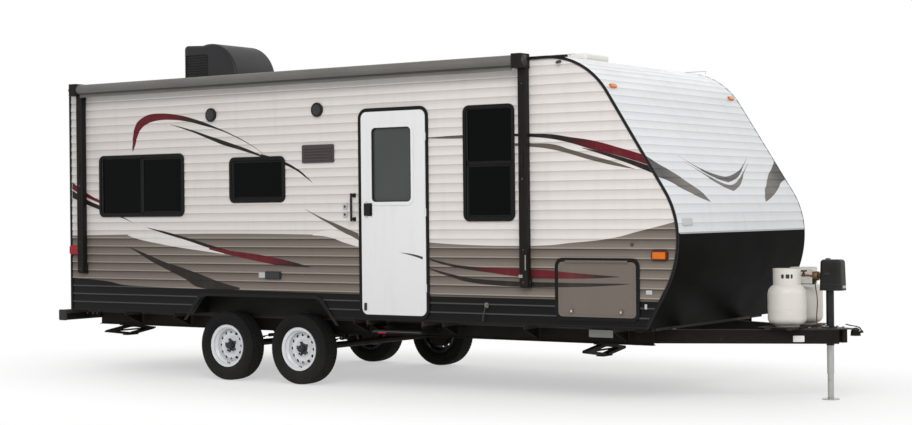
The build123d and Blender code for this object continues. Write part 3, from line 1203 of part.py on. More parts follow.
for name, points in hoses.items():
    with BuildPart() as hose:
        with BuildLine() as route:
            radii = rounded_route(points)
        path = route.wires()[0]
        with BuildSketch(Plane(path @ 0, z_dir=path % 0)):
            Circle(HOSE / 2)
        sweep(path=path)
    print(name, "radii", [round(radius) for radius in radii], "length", round(path.length))
    tube = pi * HOSE ** 2 / 4 * path.length
    print(name, "volume over section times length", round(hose.part.volume / tube, 4))
    hose.part.label = name
    export_step(hose.part, f"parts/{name}.step")

# ---------------------------------------------------------------- awning
ARM_BACK = HALF + EDGE_PROUD
ARM_STOP = 20.0              # arms' upper ends under the roof
HEAD_DEEP = 150.0
HEAD_TALL = 118.0
HEAD_DROP = 62.0             # head's lower end under the roller's middle
FOOT_DEEP = 30.0
FOOT_TALL = 90.0
FOOT_DROP = 10.0
with BuildPart() as awning_arms:
    for place, foot in AWNING_ARMS:
        with BuildSketch(Plane.XY.offset(height(foot))):
            with Locations((along(place), -ARM_BACK - ARM_DEEP / 2)):
                RectangleRounded(ARM_WIDE, ARM_DEEP, 8)
        extrude(amount=BODY_TOP - ARM_STOP - foot)
        with BuildSketch(Plane.XY.offset(height(AWNING_HEIGHT) - HEAD_DROP)):
            with Locations((along(place), -ARM_BACK - HEAD_DEEP / 2)):
                RectangleRounded(ARM_WIDE + 2 * HEAD_MORE, HEAD_DEEP, 14)
        extrude(amount=HEAD_TALL)
        with BuildSketch(Plane.XY.offset(height(foot) - FOOT_DROP)):
            with Locations((along(place), -ARM_BACK - FOOT_DEEP / 2)):
                RectangleRounded(ARM_WIDE + 2 * HEAD_MORE, FOOT_DEEP, 6)
        extrude(amount=FOOT_TALL)
awning_arms.part.label = "awning_arms"
export_step(awning_arms.part, "parts/awning_arms.step")

with BuildPart() as awning_roller:
    head_half = ARM_WIDE / 2 + HEAD_MORE + BEARING_GAP
    first = along(AWNING_ARMS[0][0]) + head_half
    last = along(AWNING_ARMS[1][0]) - head_half
    with BuildSketch(Plane.YZ.offset(first)):
        with Locations((-HALF - AWNING_OFF, height(AWNING_HEIGHT))):
            Circle(AWNING_TUBE / 2)
    extrude(amount=last - first)
awning_roller.part.label = "awning_roller"
export_step(awning_roller.part, "parts/awning_roller.step")

# ---------------------------------------------------------------- roof unit and vents
UNIT_REAR = 700.0            # rear wall to the roof unit's rear face
UNIT_LENGTH = 700.0
UNIT_WIDTH = 620.0
UNIT_TOP = 3262.0
UNIT_GRILLE = 300.0          # recess for the louvres in each side, along the body
UNIT_GRILLE_LOW = 90.0       # over the roof
UNIT_GRILLE_TALL = 250.0
UNIT_GRILLE_DEEP = 14.0
UNIT_GRILLE_BACK = 30.0      # unit's rear face to the recess
UNIT_ROUND = 30.0            # round of the unit's upper edges
UNIT_ROUND_LOW = 100.0       # height over the roof where that round ends
with BuildPart() as roof_unit:
    with BuildSketch(Plane.XZ):
        with BuildLine():
            x0 = along(UNIT_REAR)
            x1 = along(UNIT_REAR + UNIT_LENGTH)
            z1 = height(UNIT_TOP)
            Polyline((x0, TOP), (x0, z1 - 40))
            ThreePointArc((x0, z1 - 40), (x0 + 12, z1 - 12), (x0 + 40, z1))
            Line((x0 + 40, z1), (x0 + 250, z1 - 10))
            ThreePointArc((x0 + 250, z1 - 10), (x1 - 110, z1 - 95), (x1, TOP + 90))
            Polyline((x1, TOP + 90), (x1, TOP), (x0, TOP))
        make_face()
    extrude(amount=UNIT_WIDTH / 2, both=True)
    side_edges = roof_unit.edges().filter_by(Axis.Y, reverse=True)
    fillet(side_edges.filter_by(lambda edge: edge.center().Z > TOP + UNIT_ROUND_LOW), UNIT_ROUND)
    for side in SIDES:
        with BuildSketch(side_plane(side, UNIT_WIDTH / 2)):
            grille_x = x0 + UNIT_GRILLE_BACK + UNIT_GRILLE / 2
            with Locations((grille_x, TOP + UNIT_GRILLE_LOW + UNIT_GRILLE_TALL / 2)):
                RectangleRounded(UNIT_GRILLE, UNIT_GRILLE_TALL, 18)
        extrude(amount=SIDES[side] * UNIT_GRILLE_DEEP, mode=Mode.SUBTRACT)
roof_unit.part.label = "roof_unit"
export_step(roof_unit.part, "parts/roof_unit.step")

VENT_CURB = 60.0             # height of a vent's base over the roof
VENT_BASE = VENT_SIZE + 50.0
VENT_LID = 420.0
LID_TALL = 45.0
LID_HINGE_BACK = 4.0         # hinge line behind a lid's rear edge
LID_HINGE_UP = 8.0           # hinge line over a vent's base
LID_KNUCKLE = 6.0            # radius
LID_KNUCKLE_LENGTH = 120.0
EAR = 3.5                    # radius of the ears beside a lid's knuckle
EAR_THICK = 6.0
EAR_GAP = 0.4
LID_HINGE_Z = TOP + VENT_CURB + LID_HINGE_UP
with BuildPart() as vent_bases:
    with BuildSketch(Plane.XY.offset(TOP)):
        with Locations([(along(x), 0) for x in VENT_PLACES.values()]):
            RectangleRounded(VENT_BASE, VENT_BASE, 20)
            Rectangle(VENT_SIZE, VENT_SIZE, mode=Mode.SUBTRACT)
    extrude(amount=VENT_CURB)
    for place in VENT_PLACES.values():
        hinge_x = along(place) - VENT_LID / 2 - LID_HINGE_BACK
        edge_x = along(place) - VENT_BASE / 2
        foot_z = TOP + VENT_CURB - 3
        ear_start = LID_KNUCKLE_LENGTH / 2 + EAR_GAP
        for start in (-ear_start, ear_start + EAR_THICK):
            with BuildSketch(Plane.XZ.offset(-start)):
                with Locations((hinge_x, LID_HINGE_Z)):
                    Circle(EAR)
                Polygon((hinge_x - EAR, LID_HINGE_Z), (hinge_x + EAR, LID_HINGE_Z),
                        (hinge_x + EAR, foot_z), (edge_x + 1, foot_z), (edge_x + 1, foot_z - 16),
                        (hinge_x - EAR, foot_z - 8), align=None)
            extrude(amount=EAR_THICK)
vent_bases.part.label = "vent_bases"
export_step(vent_bases.part, "parts/vent_bases.step")

for name, place in VENT_PLACES.items():
    with BuildPart() as vent_lid:
        with BuildSketch(Plane.XY.offset(TOP + VENT_CURB + BEARING_GAP)):
            with Locations((along(place), 0)):
                RectangleRounded(VENT_LID, VENT_LID, 30)
        extrude(amount=LID_TALL)
        fillet(vent_lid.faces().sort_by(Axis.Z)[-1].edges(), 22)
        with BuildSketch(Plane.XZ):
            with Locations((along(place) - VENT_LID / 2 - LID_HINGE_BACK, LID_HINGE_Z)):
                Circle(LID_KNUCKLE)
        extrude(amount=LID_KNUCKLE_LENGTH / 2, both=True)
    vent_lid.part.label = f"vent_lid_{name}"
    export_step(vent_lid.part, f"parts/vent_lid_{name}.step")

# ---------------------------------------------------------------- entry step and brackets
STEP_LOW = 3710.0            # rear wall to the step's ends
STEP_HIGH = 4310.0
STEP_ARM = 180.0             # pivot to pivot
STEP_PIVOT = (-1140.0, 575.0)    # fixed pivot of the arms, across and height
STEP_STORED = 22.0           # degrees that the stored arms drop inward from level
STEP_SECOND = -62.0          # second pivot, across from the first
STEP_PIN = 6.0               # radius
STEP_BAR = 22.0              # width of the arms
STEP_PLATE = 5.0
STEP_DEEP = 232.0            # tread, from its first pivot outward
STEP_TREAD = 24.0            # height of the tread's rim
tread_pivot = (STEP_PIVOT[0] + STEP_ARM * cos(radians(STEP_STORED)),
               STEP_PIVOT[1] - STEP_ARM * sin(radians(STEP_STORED)))
STEP_GAP = 3.0               # between the plates of the linkage
STEP_HANGER_OUT = 90.0       # step's hanger plates beyond the fixed pivot
STEP_HANGER_TALL = 70.0
STEP_HANGER_TIP = 548.0      # height of their outer lower corner
STEP_NOSE = 14.0             # tread beyond its first pivot
STEP_SHEET = 2.5
STEP_RIM = 6.0               # width of the tread's rim


def bar_between(start, end, width):
    """Flat bar with round ends in the current sketch, across and above the ground."""
    angle = degrees(atan2(end[1] - start[1], end[0] - start[0]))
    reach = sqrt((end[0] - start[0]) ** 2 + (end[1] - start[1]) ** 2)
    with Locations(Location(((start[0] + end[0]) / 2, height((start[1] + end[1]) / 2), 0), (0, 0, angle))):
        SlotCenterToCenter(reach, width)


def hanger_plate(place, half_top, half_low, low):
    """Tapered plate under a rail in the current BuildLine, from the rail down to a height."""
    Polyline((place - half_top, RAIL_BOTTOM), (place + half_top, RAIL_BOTTOM), (place + half_low, low),
             (place - half_low, low), close=True)


step_ends = {                # place and direction inward of the linkage's plates at each end
    "rear": (along(STEP_LOW), 1),
    "front": (along(STEP_HIGH), -1),
}
with BuildPart() as frame_brackets:
    middle = along(AXLE_MIDDLE)
    arm = EQUALIZER_REACH - 20
    for side in SIDES:
        for inner in (HANGER_WIDE / 2, -HANGER_WIDE / 2 - HANGER_PLATE):
            with BuildSketch(side_plane(side, RAIL_PLACE + inner)):
                for place in HANGERS:
                    with BuildLine():
                        hanger_plate(along(place), 45, 18, EYE_Z - 18)
                    make_face()
                with BuildLine():
                    hanger_plate(middle, 60, 20, EQUALIZER_Z - 20)
                make_face()
            extrude(amount=-SIDES[side] * HANGER_PLATE)
        with BuildSketch(side_plane(side, RAIL_PLACE)):
            with Locations([(along(place), EYE_Z) for place in HANGERS]):
                Circle(PIN_RADIUS)
            with Locations((middle, EQUALIZER_Z)):
                Circle(PIN_RADIUS)
        extrude(amount=HANGER_WIDE / 2 + 8, both=True)
        with BuildSketch(side_plane(side, RAIL_PLACE)):
            with BuildLine():
                Polyline((middle - arm, EYE_Z - 14), (middle - arm, EYE_Z + 10),
                         (middle - 20, EQUALIZER_Z + 18), (middle + 20, EQUALIZER_Z + 18),
                         (middle + arm, EYE_Z + 10), (middle + arm, EYE_Z - 14),
                         (middle, EQUALIZER_Z - 20), close=True)
            make_face()
            with Locations((middle, EQUALIZER_Z)):
                Circle(PIN_RADIUS + BEARING_GAP, mode=Mode.SUBTRACT)
        extrude(amount=LEAF_WIDTH / 2 - EQUALIZER_PLATE, both=True)
    for start, inward in step_ends.values():
        with BuildSketch(Plane.YZ.offset(start)):
            with BuildLine():
                outer_y = STEP_PIVOT[0] - STEP_HANGER_OUT
                inner_y = -RAIL_PLACE - RAIL_FLANGE / 2
                Polyline((outer_y, UNDER), (inner_y, UNDER), (inner_y, UNDER - STEP_HANGER_TALL),
                         (outer_y, height(STEP_HANGER_TIP)), close=True)
            make_face()
        extrude(amount=inward * STEP_PLATE)
        with BuildSketch(Plane.YZ.offset(start)):
            with Locations((STEP_PIVOT[0], height(STEP_PIVOT[1])),
                           (STEP_PIVOT[0] + STEP_SECOND, height(STEP_PIVOT[1]))):
                Circle(STEP_PIN)
        extrude(amount=inward * (3 * STEP_PLATE + 3 * STEP_GAP))
frame_brackets.part.label = "frame_brackets"
export_step(frame_brackets.part, "parts/frame_brackets.step")

for name, shift, layer in (("step_arms", 0.0, 1), ("step_links", STEP_SECOND, 2)):
    with BuildPart() as linkage:
        for start, inward in step_ends.values():
            fixed = (STEP_PIVOT[0] + shift, STEP_PIVOT[1])
            moving = (tread_pivot[0] + shift, tread_pivot[1])
            with BuildSketch(Plane.YZ.offset(start + inward * layer * (STEP_PLATE + STEP_GAP))):
                bar_between(fixed, moving, STEP_BAR)
                with Locations((fixed[0], height(fixed[1])), (moving[0], height(moving[1]))):
                    Circle(STEP_PIN + BEARING_GAP, mode=Mode.SUBTRACT)
            extrude(amount=inward * STEP_PLATE)
    linkage.part.label = name
    export_step(linkage.part, f"parts/{name}.step")

with BuildPart() as step_tread:
    layer_in = 3 * (STEP_PLATE + STEP_GAP)
    low_x = along(STEP_LOW) + layer_in
    high_x = along(STEP_HIGH) - layer_in
    tread_z = height(tread_pivot[1])
    tread_middle = tread_pivot[0] + STEP_NOSE - STEP_DEEP / 2
    with BuildSketch(Plane.YZ.offset(low_x)):
        with Locations((tread_middle, tread_z)):
            RectangleRounded(STEP_DEEP, STEP_TREAD, 4)
    extrude(amount=high_x - low_x)
    with BuildSketch(Plane.XY.offset(tread_z + STEP_TREAD / 2)):
        with Locations(((low_x + high_x) / 2, tread_middle)):
            Rectangle(high_x - low_x - 2 * STEP_PLATE, STEP_DEEP - 2 * STEP_RIM)
            with GridLocations(70, 48, 7, 4):
                SlotOverall(56, 20, mode=Mode.SUBTRACT)
    extrude(amount=-STEP_SHEET)
    with BuildSketch(Plane.XY.offset(tread_z - STEP_TREAD / 2)):
        with Locations(((low_x + high_x) / 2, tread_middle)):
            Rectangle(high_x - low_x - 2 * STEP_PLATE, STEP_DEEP - 2 * STEP_RIM)
    extrude(amount=STEP_TREAD - STEP_SHEET, mode=Mode.SUBTRACT)
    for start, inward in step_ends.values():
        with BuildSketch(Plane.YZ.offset(start + inward * (STEP_PLATE + STEP_GAP - 2))):
            with Locations((tread_pivot[0], tread_z)):
                Circle(STEP_PIN)
        extrude(amount=inward * (layer_in - STEP_PLATE - STEP_GAP + 2 + STEP_PLATE))
        with BuildSketch(Plane.YZ.offset(start + inward * (2 * STEP_PLATE + 2 * STEP_GAP - 1))):
            with Locations((tread_pivot[0] + STEP_SECOND, tread_z)):
                Circle(STEP_PIN)
        extrude(amount=inward * (STEP_PLATE + STEP_GAP + 1 + STEP_PLATE))
step_tread.part.label = "step_tread"
export_step(step_tread.part, "parts/step_tread.step")

# ---------------------------------------------------------------- lamps
LAMP_PROUD = 20.0
LAMP_TAPER = 6.0             # degrees
LAMP_ROUND = 20.0


def side_lamp(side, low, high, base):
    """Marker lamp on one side, standing on the siding at a distance from the centreline."""
    with BuildSketch(side_plane(side, base)) as lens:
        door_shape(low, high, LAMP_ROUND)
    extrude(lens.sketch, amount=-SIDES[side] * (HALF + LAMP_PROUD - base), taper=LAMP_TAPER)


AMBER_LOW = (6527.0, 1158.0)
AMBER_HIGH = (6667.0, 1232.0)
RED_LOW = (2.0, 1164.0)
RED_HIGH = (129.0, 1253.0)
NOSE_LAMP_HEIGHT = 2524.0
NOSE_LAMP_OUT = 1086.0
NOSE_LAMP_PROUD = 16.0
TOP_LAMP = (96.0, 34.0)
crest = (LAP[1][0] + LAP[2][0]) / 2
lamp_laps = round(front_run(height(NOSE_LAMP_HEIGHT)) / NOSE_LAP + crest)
lamp_point, lamp_facing = front_point((lamp_laps - crest) * NOSE_LAP, 0)
lamp_normal = (cos(radians(lamp_facing)), 0, sin(radians(lamp_facing)))
with BuildPart() as amber_lamps:
    for side, sign in SIDES.items():
        side_lamp(side, AMBER_LOW, AMBER_HIGH, HALF)
        with BuildSketch(Plane((lamp_point[0], sign * NOSE_LAMP_OUT, lamp_point[1]),
                               x_dir=(0, 1, 0), z_dir=lamp_normal)):
            RectangleRounded(TOP_LAMP[0], TOP_LAMP[1] + 2, 12)
        extrude(amount=NOSE_LAMP_PROUD, taper=8)
amber_lamps.part.label = "amber_lamps"
export_step(amber_lamps.part, "parts/amber_lamps.step")

TAIL_OUT = 1090.0
TAIL_HEIGHT = 1010.0
TOP_LAMP_HEIGHT = 2740.0
TAIL_LAMP = (150.0, 210.0)
with BuildPart() as red_lamps:
    for side, sign in SIDES.items():
        side_lamp(side, RED_LOW, RED_HIGH, HALF + EDGE_PROUD)
    with BuildSketch(Plane.YZ.offset(REAR)):
        with Locations((TAIL_OUT, height(TAIL_HEIGHT)), (-TAIL_OUT, height(TAIL_HEIGHT))):
            RectangleRounded(*TAIL_LAMP, 24)
        with Locations((0, height(TOP_LAMP_HEIGHT))):
            with GridLocations(160, 1, 3, 1):
                RectangleRounded(*TOP_LAMP, 12)
        with Locations((TAIL_OUT, height(TOP_LAMP_HEIGHT)), (-TAIL_OUT, height(TOP_LAMP_HEIGHT))):
            RectangleRounded(*TOP_LAMP, 12)
    extrude(amount=-LAMP_PROUD, taper=LAMP_TAPER)
red_lamps.part.label = "red_lamps"
export_step(red_lamps.part, "parts/red_lamps.step")

# ---------------------------------------------------------------- fittings on the sides
SPEAKERS = [(1900.0, 2478.0), (3173.0, 2475.0)]
SPEAKER_RADIUS = 63.0
VENT_LOW = (2994.0, 2001.0)
VENT_HIGH = (3359.0, 2164.0)
GRAB_X = 3580.0
GRAB_LOW = 1477.0
GRAB_HIGH = 1723.0
GRAB_OUT = 48.0
GRAB_BAR = 20.0
GRAB_PAD = 18.0              # bar's end to the middle of its pad
HOLD_BACK = (4968.0, 768.0)
FITTING_BASE = 9.0           # depth of the fittings' bases
FITTING_FACE = 8.0           # depth of what stands on them
with BuildPart() as side_fittings:
    with BuildSketch(side_plane("curb", HALF)):
        with Locations([(along(x), height(z)) for x, z in SPEAKERS]):
            Circle(SPEAKER_RADIUS)
        door_shape(VENT_LOW, VENT_HIGH, 16)
        with Locations([(along(GRAB_X), height(z)) for z in (GRAB_LOW + GRAB_PAD, GRAB_HIGH - GRAB_PAD)]):
            RectangleRounded(34, 36, 8)
        with Locations((along(HOLD_BACK[0]), height(HOLD_BACK[1]))):
            RectangleRounded(34, 44, 10)
    extrude(amount=FITTING_BASE)
    with BuildSketch(side_plane("curb", HALF + FITTING_BASE)):
        with Locations([(along(x), height(z)) for x, z in SPEAKERS]):
            Circle(SPEAKER_RADIUS - 14)
        with Locations((along((VENT_LOW[0] + VENT_HIGH[0]) / 2), height((VENT_LOW[1] + VENT_HIGH[1]) / 2))):
            with GridLocations(1, 26, 1, 5):
                Rectangle(VENT_HIGH[0] - VENT_LOW[0] - 40, 12)
        with Locations((along(HOLD_BACK[0]), height(HOLD_BACK[1]))):
            Rectangle(14, 30)
    extrude(amount=FITTING_FACE)
    with BuildSketch(side_plane("curb", HALF + FITTING_BASE)):
        with Locations([(along(GRAB_X), height(z)) for z in (GRAB_LOW + GRAB_PAD, GRAB_HIGH - GRAB_PAD)]):
            Circle(GRAB_BAR / 2)
    extrude(amount=GRAB_OUT - FITTING_BASE)
    with BuildSketch(Plane.XY.offset(height(GRAB_LOW))):
        with Locations((along(GRAB_X), -HALF - GRAB_OUT)):
            Circle(GRAB_BAR / 2)
    extrude(amount=GRAB_HIGH - GRAB_LOW)
side_fittings.part.label = "side_fittings"
export_step(side_fittings.part, "parts/side_fittings.step")

# low x, low z, high x, high z of covers on each side
COVERS = {
    "curb": [(2548.0, 952.0, 2733.0, 1025.0)],
    "street": [(2820.0, 1010.0, 3250.0, 1290.0), (1450.0, 900.0, 1780.0, 1230.0),
               (620.0, 900.0, 980.0, 1180.0), (300.0, 830.0, 440.0, 970.0)],
}
COVER_RADIUS = 14.0
COVER_BASE = 12.0            # depth of a cover's frame
COVER_FACE = 5.0             # depth of the flap or slats on it
SLAT_PITCH = 30.0
SLAT_GAP = 16.0
with BuildPart() as side_covers:
    for side, rows in COVERS.items():
        for low_x, low_z, high_x, high_z in rows:
            with BuildSketch(side_plane(side, HALF)):
                door_shape((low_x, low_z), (high_x, high_z), COVER_RADIUS)
            extrude(amount=-SIDES[side] * COVER_BASE)
            with BuildSketch(side_plane(side, HALF + COVER_BASE)):
                door_shape((low_x, low_z), (high_x, high_z), COVER_RADIUS, -10)
                slats = int((high_z - low_z - 40) // SLAT_PITCH)
                centre, width, tall = box_between((low_x, low_z), (high_x, high_z), -24)
                if slats > 4:
                    with Locations(centre):
                        with GridLocations(1, SLAT_PITCH, 1, slats):
                            Rectangle(width, SLAT_GAP, mode=Mode.SUBTRACT)
            extrude(amount=-SIDES[side] * COVER_FACE)
side_covers.part.label = "side_covers"
export_step(side_covers.part, "parts/side_covers.step")
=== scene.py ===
"""Finishes and fine pieces of a travel caravan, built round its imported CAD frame.

Metres. X points forward to the hitch, Y to the street side, Z up, and the origin is the centre of the
hitch ball. Lengths along the body are given from the outer face of the rear wall and heights from the
ground; along() and height() turn them into the frame.
"""

from math import atan2, cos, pi, radians, sin, tan

import bmesh
import bpy
import numpy as np
from mathutils import Matrix


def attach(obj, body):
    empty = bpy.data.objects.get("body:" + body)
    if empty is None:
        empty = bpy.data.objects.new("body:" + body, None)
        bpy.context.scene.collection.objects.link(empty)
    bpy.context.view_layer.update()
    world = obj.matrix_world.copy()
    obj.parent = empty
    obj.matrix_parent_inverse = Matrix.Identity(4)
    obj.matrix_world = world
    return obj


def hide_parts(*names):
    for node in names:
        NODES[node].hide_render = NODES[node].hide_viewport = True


bl_info = {
    "name": "Travel caravan",
    "version": (1, 0, 0),
    "blender": (4, 5, 0),
    "location": "3D View > Sidebar > Caravan",
    "description": "Finishes and fine pieces of a travel caravan",
    "category": "Object",
}

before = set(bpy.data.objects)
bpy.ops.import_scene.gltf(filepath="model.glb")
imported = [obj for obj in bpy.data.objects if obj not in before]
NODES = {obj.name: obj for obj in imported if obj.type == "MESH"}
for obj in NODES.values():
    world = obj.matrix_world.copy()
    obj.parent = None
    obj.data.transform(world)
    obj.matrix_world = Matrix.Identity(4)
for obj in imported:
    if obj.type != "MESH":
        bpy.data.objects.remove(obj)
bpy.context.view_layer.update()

# ------------------------------------------------------------------ places taken from the part
BALL_TO_REAR = 7.715
BALL_HEIGHT = 0.545
HALF = 1.219                 # centreline to the siding's ribs
ROOF = 2.820
WALL_EDGE = 0.612
LAPS = 28
LAP = (ROOF - WALL_EDGE) / LAPS
NOSE_REACH = 6.764
NOSE_HEIGHT = 1.330
FRONT_SLOPE = radians(57.5)
ROOF_RADIUS = 0.680
BROW_RADIUS = 0.700
CHIN_RADIUS = 0.850
PANEL_TOP = 1.370
HUB_FACE = 1.098
HUB_HEIGHT = 0.322
AXLES = {"rear": 2.028, "front": 2.894}
SIDES = {"curb": -1, "street": 1}
GLOW = 1.0                   # white, as a background's strength
FRAME_FACE = 1.227           # centreline to the face of the frames, doors and hatches
GLASS_FACE = 1.206           # centreline to the outer face of the panes
SASH = 0.030                 # width of a window frame
MULLION = 0.016
WINDOWS = {
    # low x, low z, high x, high z from the rear wall and the ground, and the way the middle bar runs
    "curb": [(0.416, 1.531, 1.548, 2.131, "upright"), (2.119, 1.652, 2.792, 2.074, "none"),
             (4.745, 1.470, 5.260, 2.446, "level")],
    "street": [(0.416, 1.531, 1.548, 2.131, "upright"), (3.300, 1.531, 4.100, 2.000, "upright"),
               (4.745, 1.470, 5.260, 2.446, "level")],
}
DOOR = (3.632, 0.629, 4.385, 2.464)
DOOR_PANE = (3.783, 1.644, 4.207, 2.291)
LOCK = (3.696, 1.519, 3.793, 1.638)
HATCH = (5.639, 0.664, 6.417, 1.171)
HINGE_HEIGHTS = [0.900, 1.550, 2.200]
SPEAKERS = [(1.900, 2.478), (3.173, 2.475)]
ARMS = [(0.200, 0.986), (5.370, 0.933)]    # from the rear wall, height of the foot
ROLLER_OUT = 1.319           # centreline to the middle of the roller
ROLLER_HEIGHT = 2.786
ROLLER_RADIUS = 0.047
VENTS = {"rear": 2.750, "front": 5.150}
SIDE_MARKER = (6.527, 1.158, 6.667, 1.232)
MARKER_HEIGHT = 2.740
TAIL_LAMP_OUT = 1.090
TAIL_LAMP_HEIGHT = 1.010
SPRING_OUT = 0.920
COVER_FACE = HALF + 0.017    # centreline to the face of the covers and speakers
HINGE_PLACE = 4.3745
SEAL_SECTION = [(0.0262, -0.012), (0.0262, -0.003), (0.028, -0.0015), (0.030, -0.003), (0.030, -0.012)]
HANDLE_PLACE = 3.580
STEP_PLACE = 4.010
STEP_EDGE = 1.191            # centreline to the tread's outer edge
UNIT = (0.700, 1.400, 0.310, 0.442)        # rear end, front end, half width, height over the roof
JACK_PLACE = 7.500
BOTTLE_PLACE = 7.200
BOTTLE_OUT = 0.170
BOTTLE_RADIUS = 0.156
BEAM_TOP = 0.575


def along(from_rear):
    """X of a length measured forward from the rear wall."""
    return from_rear - BALL_TO_REAR


def height(above_ground):
    """Z of a height above the ground."""
    return above_ground - BALL_HEIGHT


def at(from_rear, y, above_ground):
    """Point from its length forward of the rear wall, its Y and its height above the ground."""
    return along(from_rear), y, height(above_ground)


# ------------------------------------------------------------------ colours and shader nodes
def colour(code):
    """Linear colour of an sRGB hex value: each part over 255, then the sRGB curve undone."""
    parts = np.array([int(code[i:i + 2], 16) for i in (1, 3, 5)]) / 255
    linear = np.where(parts <= 0.04045, parts / 12.92, ((parts + 0.055) / 1.055) ** 2.4)
    return tuple(float(part) for part in linear)


def node(tree, kind, inputs=None, **settings):
    """Add one shader node: its settings, and for each named input a value or a socket to link from."""
    made = tree.nodes.new("ShaderNode" + kind)
    for key, value in settings.items():
        setattr(made, key, value)
    for key, value in (inputs or {}).items():
        if isinstance(value, bpy.types.NodeSocket):
            tree.links.new(value, made.inputs[key])
        elif value is not None:
            if isinstance(value, tuple) and len(value) == 3 and made.inputs[key].type == "RGBA":
                value = (*value, 1.0)
            made.inputs[key].default_value = value
    return made


def maths(tree, operation, *values, clamp=False):
    """Result of one Math node."""
    return node(tree, "Math", dict(enumerate(values)), operation=operation, use_clamp=clamp).outputs[0]


def ramp(tree, value, low, high, start=0.0, end=1.0, **settings):
    """A value's way from low to high, turned into the same way from start to end."""
    return node(tree, "MapRange", {"Value": value, "From Min": low, "From Max": high, "To Min": start,
                                   "To Max": end}, **settings).outputs[0]


def noise(tree, place, scale, detail, rough=0.5):
    """Field from 0 to 1 of one Noise node."""
    return node(tree, "TexNoise", {"Vector": place, "Scale": scale, "Detail": detail,
                                   "Roughness": rough}).outputs["Fac"]


def new_material(name, **shader):
    """A material with its shader: returns the material, its node tree and the shader node."""
    material = bpy.data.materials.new(name)
    material.use_nodes = True
    tree = material.node_tree
    tree.nodes.clear()
    principled = node(tree, "BsdfPrincipled", {key.replace("_", " "): value for key, value in shader.items()})
    node(tree, "OutputMaterial", {"Surface": principled.outputs[0]})
    return material, tree, principled


def own_place(tree, shift=(0.0, 0.0, 0.0), scale=(1.0, 1.0, 1.0)):
    """Object coordinates, shifted and scaled by a Mapping node."""
    place = node(tree, "TexCoord")
    moved = node(tree, "Mapping", {"Vector": place.outputs["Object"], "Location": shift, "Scale": scale})
    return moved.outputs[0]


def body_place(tree):
    """Length from the rear wall, distance from the centreline and height above the ground."""
    place = own_place(tree, shift=(BALL_TO_REAR, 0.0, BALL_HEIGHT))
    parts = node(tree, "SeparateXYZ", {0: place})
    return place, parts.outputs[0], parts.outputs[1], parts.outputs[2]


def relief(tree, principled, field, depth, strength=1.0):
    """Raise the surface by a field from 0 to 1, to a depth in metres."""
    bump = node(tree, "Bump", {"Height": field, "Distance": depth, "Strength": strength})
    tree.links.new(bump.outputs[0], principled.inputs["Normal"])
    return bump


def mottled(name, low, high, size, grain, grain_depth, roughness=(0.4, 0.5), flat=(1.0, 1.0, 1.0), **shader):
    """A finish whose colour drifts between two hex values over a size in metres, with a grain of a size and
    depth. Returns the material, its node tree, its shader node and its colour."""
    material, tree, principled = new_material(name, **shader)
    place = own_place(tree, scale=flat)
    drift = noise(tree, place, 1 / size, 4.0, 0.6)
    base = blended(tree, drift, low, high)
    tree.links.new(base, principled.inputs["Base Color"])
    gloss = ramp(tree, drift, 0.3, 0.7, roughness[0], roughness[1])
    tree.links.new(gloss, principled.inputs["Roughness"])
    fine = noise(tree, place, 1 / grain, 3.0)
    relief(tree, principled, fine, grain_depth)
    return material, tree, principled, base


def finish(*looks, **shader):
    """A mottled finish that is used as it is."""
    return mottled(*looks, **shader)[0]


def dusted(tree, principled, base, low, high, amount, tint="#8A8378"):
    """Lay road dust on a colour in uneven patches, full at one height above ground and gone at another."""
    place, _, _, tall = body_place(tree)
    patch = noise(tree, place, 5.0, 6.0, 0.65)
    fall = ramp(tree, tall, low, high, 1.0, 0.0)
    share = maths(tree, "MULTIPLY", fall, patch)
    share = maths(tree, "MULTIPLY", share, amount, clamp=True)
    tree.links.new(blended(tree, share, base, tint), principled.inputs["Base Color"])


def dress(material, *names):
    """Give CAD nodes a finish."""
    for name in names:
        NODES[name].data.materials.clear()
        NODES[name].data.materials.append(material)


# ------------------------------------------------------------------ grid surfaces
def rounded_loop(width, tall, corner, steps=5):
    """Rounded rectangle as points: four corner centres, each with a quarter circle of the corner's radius."""
    turn = np.linspace(0, pi / 2, steps + 1)
    loops = []
    for quarter, (sx, sy) in enumerate(((1, 1), (-1, 1), (-1, -1), (1, -1))):
        angle = turn + quarter * pi / 2
        loops.append(np.stack([sx * (width / 2 - corner) + corner * np.cos(angle),
                               sy * (tall / 2 - corner) + corner * np.sin(angle)], axis=1))
    return np.concatenate(loops)


def slab(centre, size, corner, edge, out, up=(0, 0, 1), steps=5, rounds=4):
    """Rounded block: a rounded rectangle carried along its outward axis, drawn in at the outer end by a
    quarter circle of the edge's radius. size is (width, height, depth) and centre is the middle of its
    back face."""
    out = np.array(out, float)
    up = np.array(up, float)
    side = np.cross(up, out)
    turn = np.linspace(0, pi / 2, rounds + 1)
    depths = np.concatenate([[0.0], size[2] - edge + edge * np.sin(turn)])
    insets = np.concatenate([[0.0], edge * (1 - np.cos(turn))])
    rows = []
    for depth, inset in zip(depths, insets):
        loop = rounded_loop(size[0] - 2 * inset, size[1] - 2 * inset, max(corner - inset, 0.0004), steps)
        rows.append(np.array(centre) + loop[:, :1] * side + loop[:, 1:] * up + depth * out)
    return np.stack(rows)


def trim(centre, size, corner, section, out, up=(0, 0, 1), steps=6):
    """Closed trim round a rounded rectangle: each (inward, outward) point of the section is one loop, which
    is the rectangle drawn in by the first value and moved along the outward axis by the second."""
    out = np.array(out, float)
    up = np.array(up, float)
    side = np.cross(up, out)
    rows = []
    for inward, outward in section:
        loop = rounded_loop(size[0] - 2 * inward, size[1] - 2 * inward, max(corner - inward, 0.0005), steps)
        rows.append(np.array(centre) + loop[:, :1] * side + loop[:, 1:] * up + outward * out)
    return np.stack(rows)


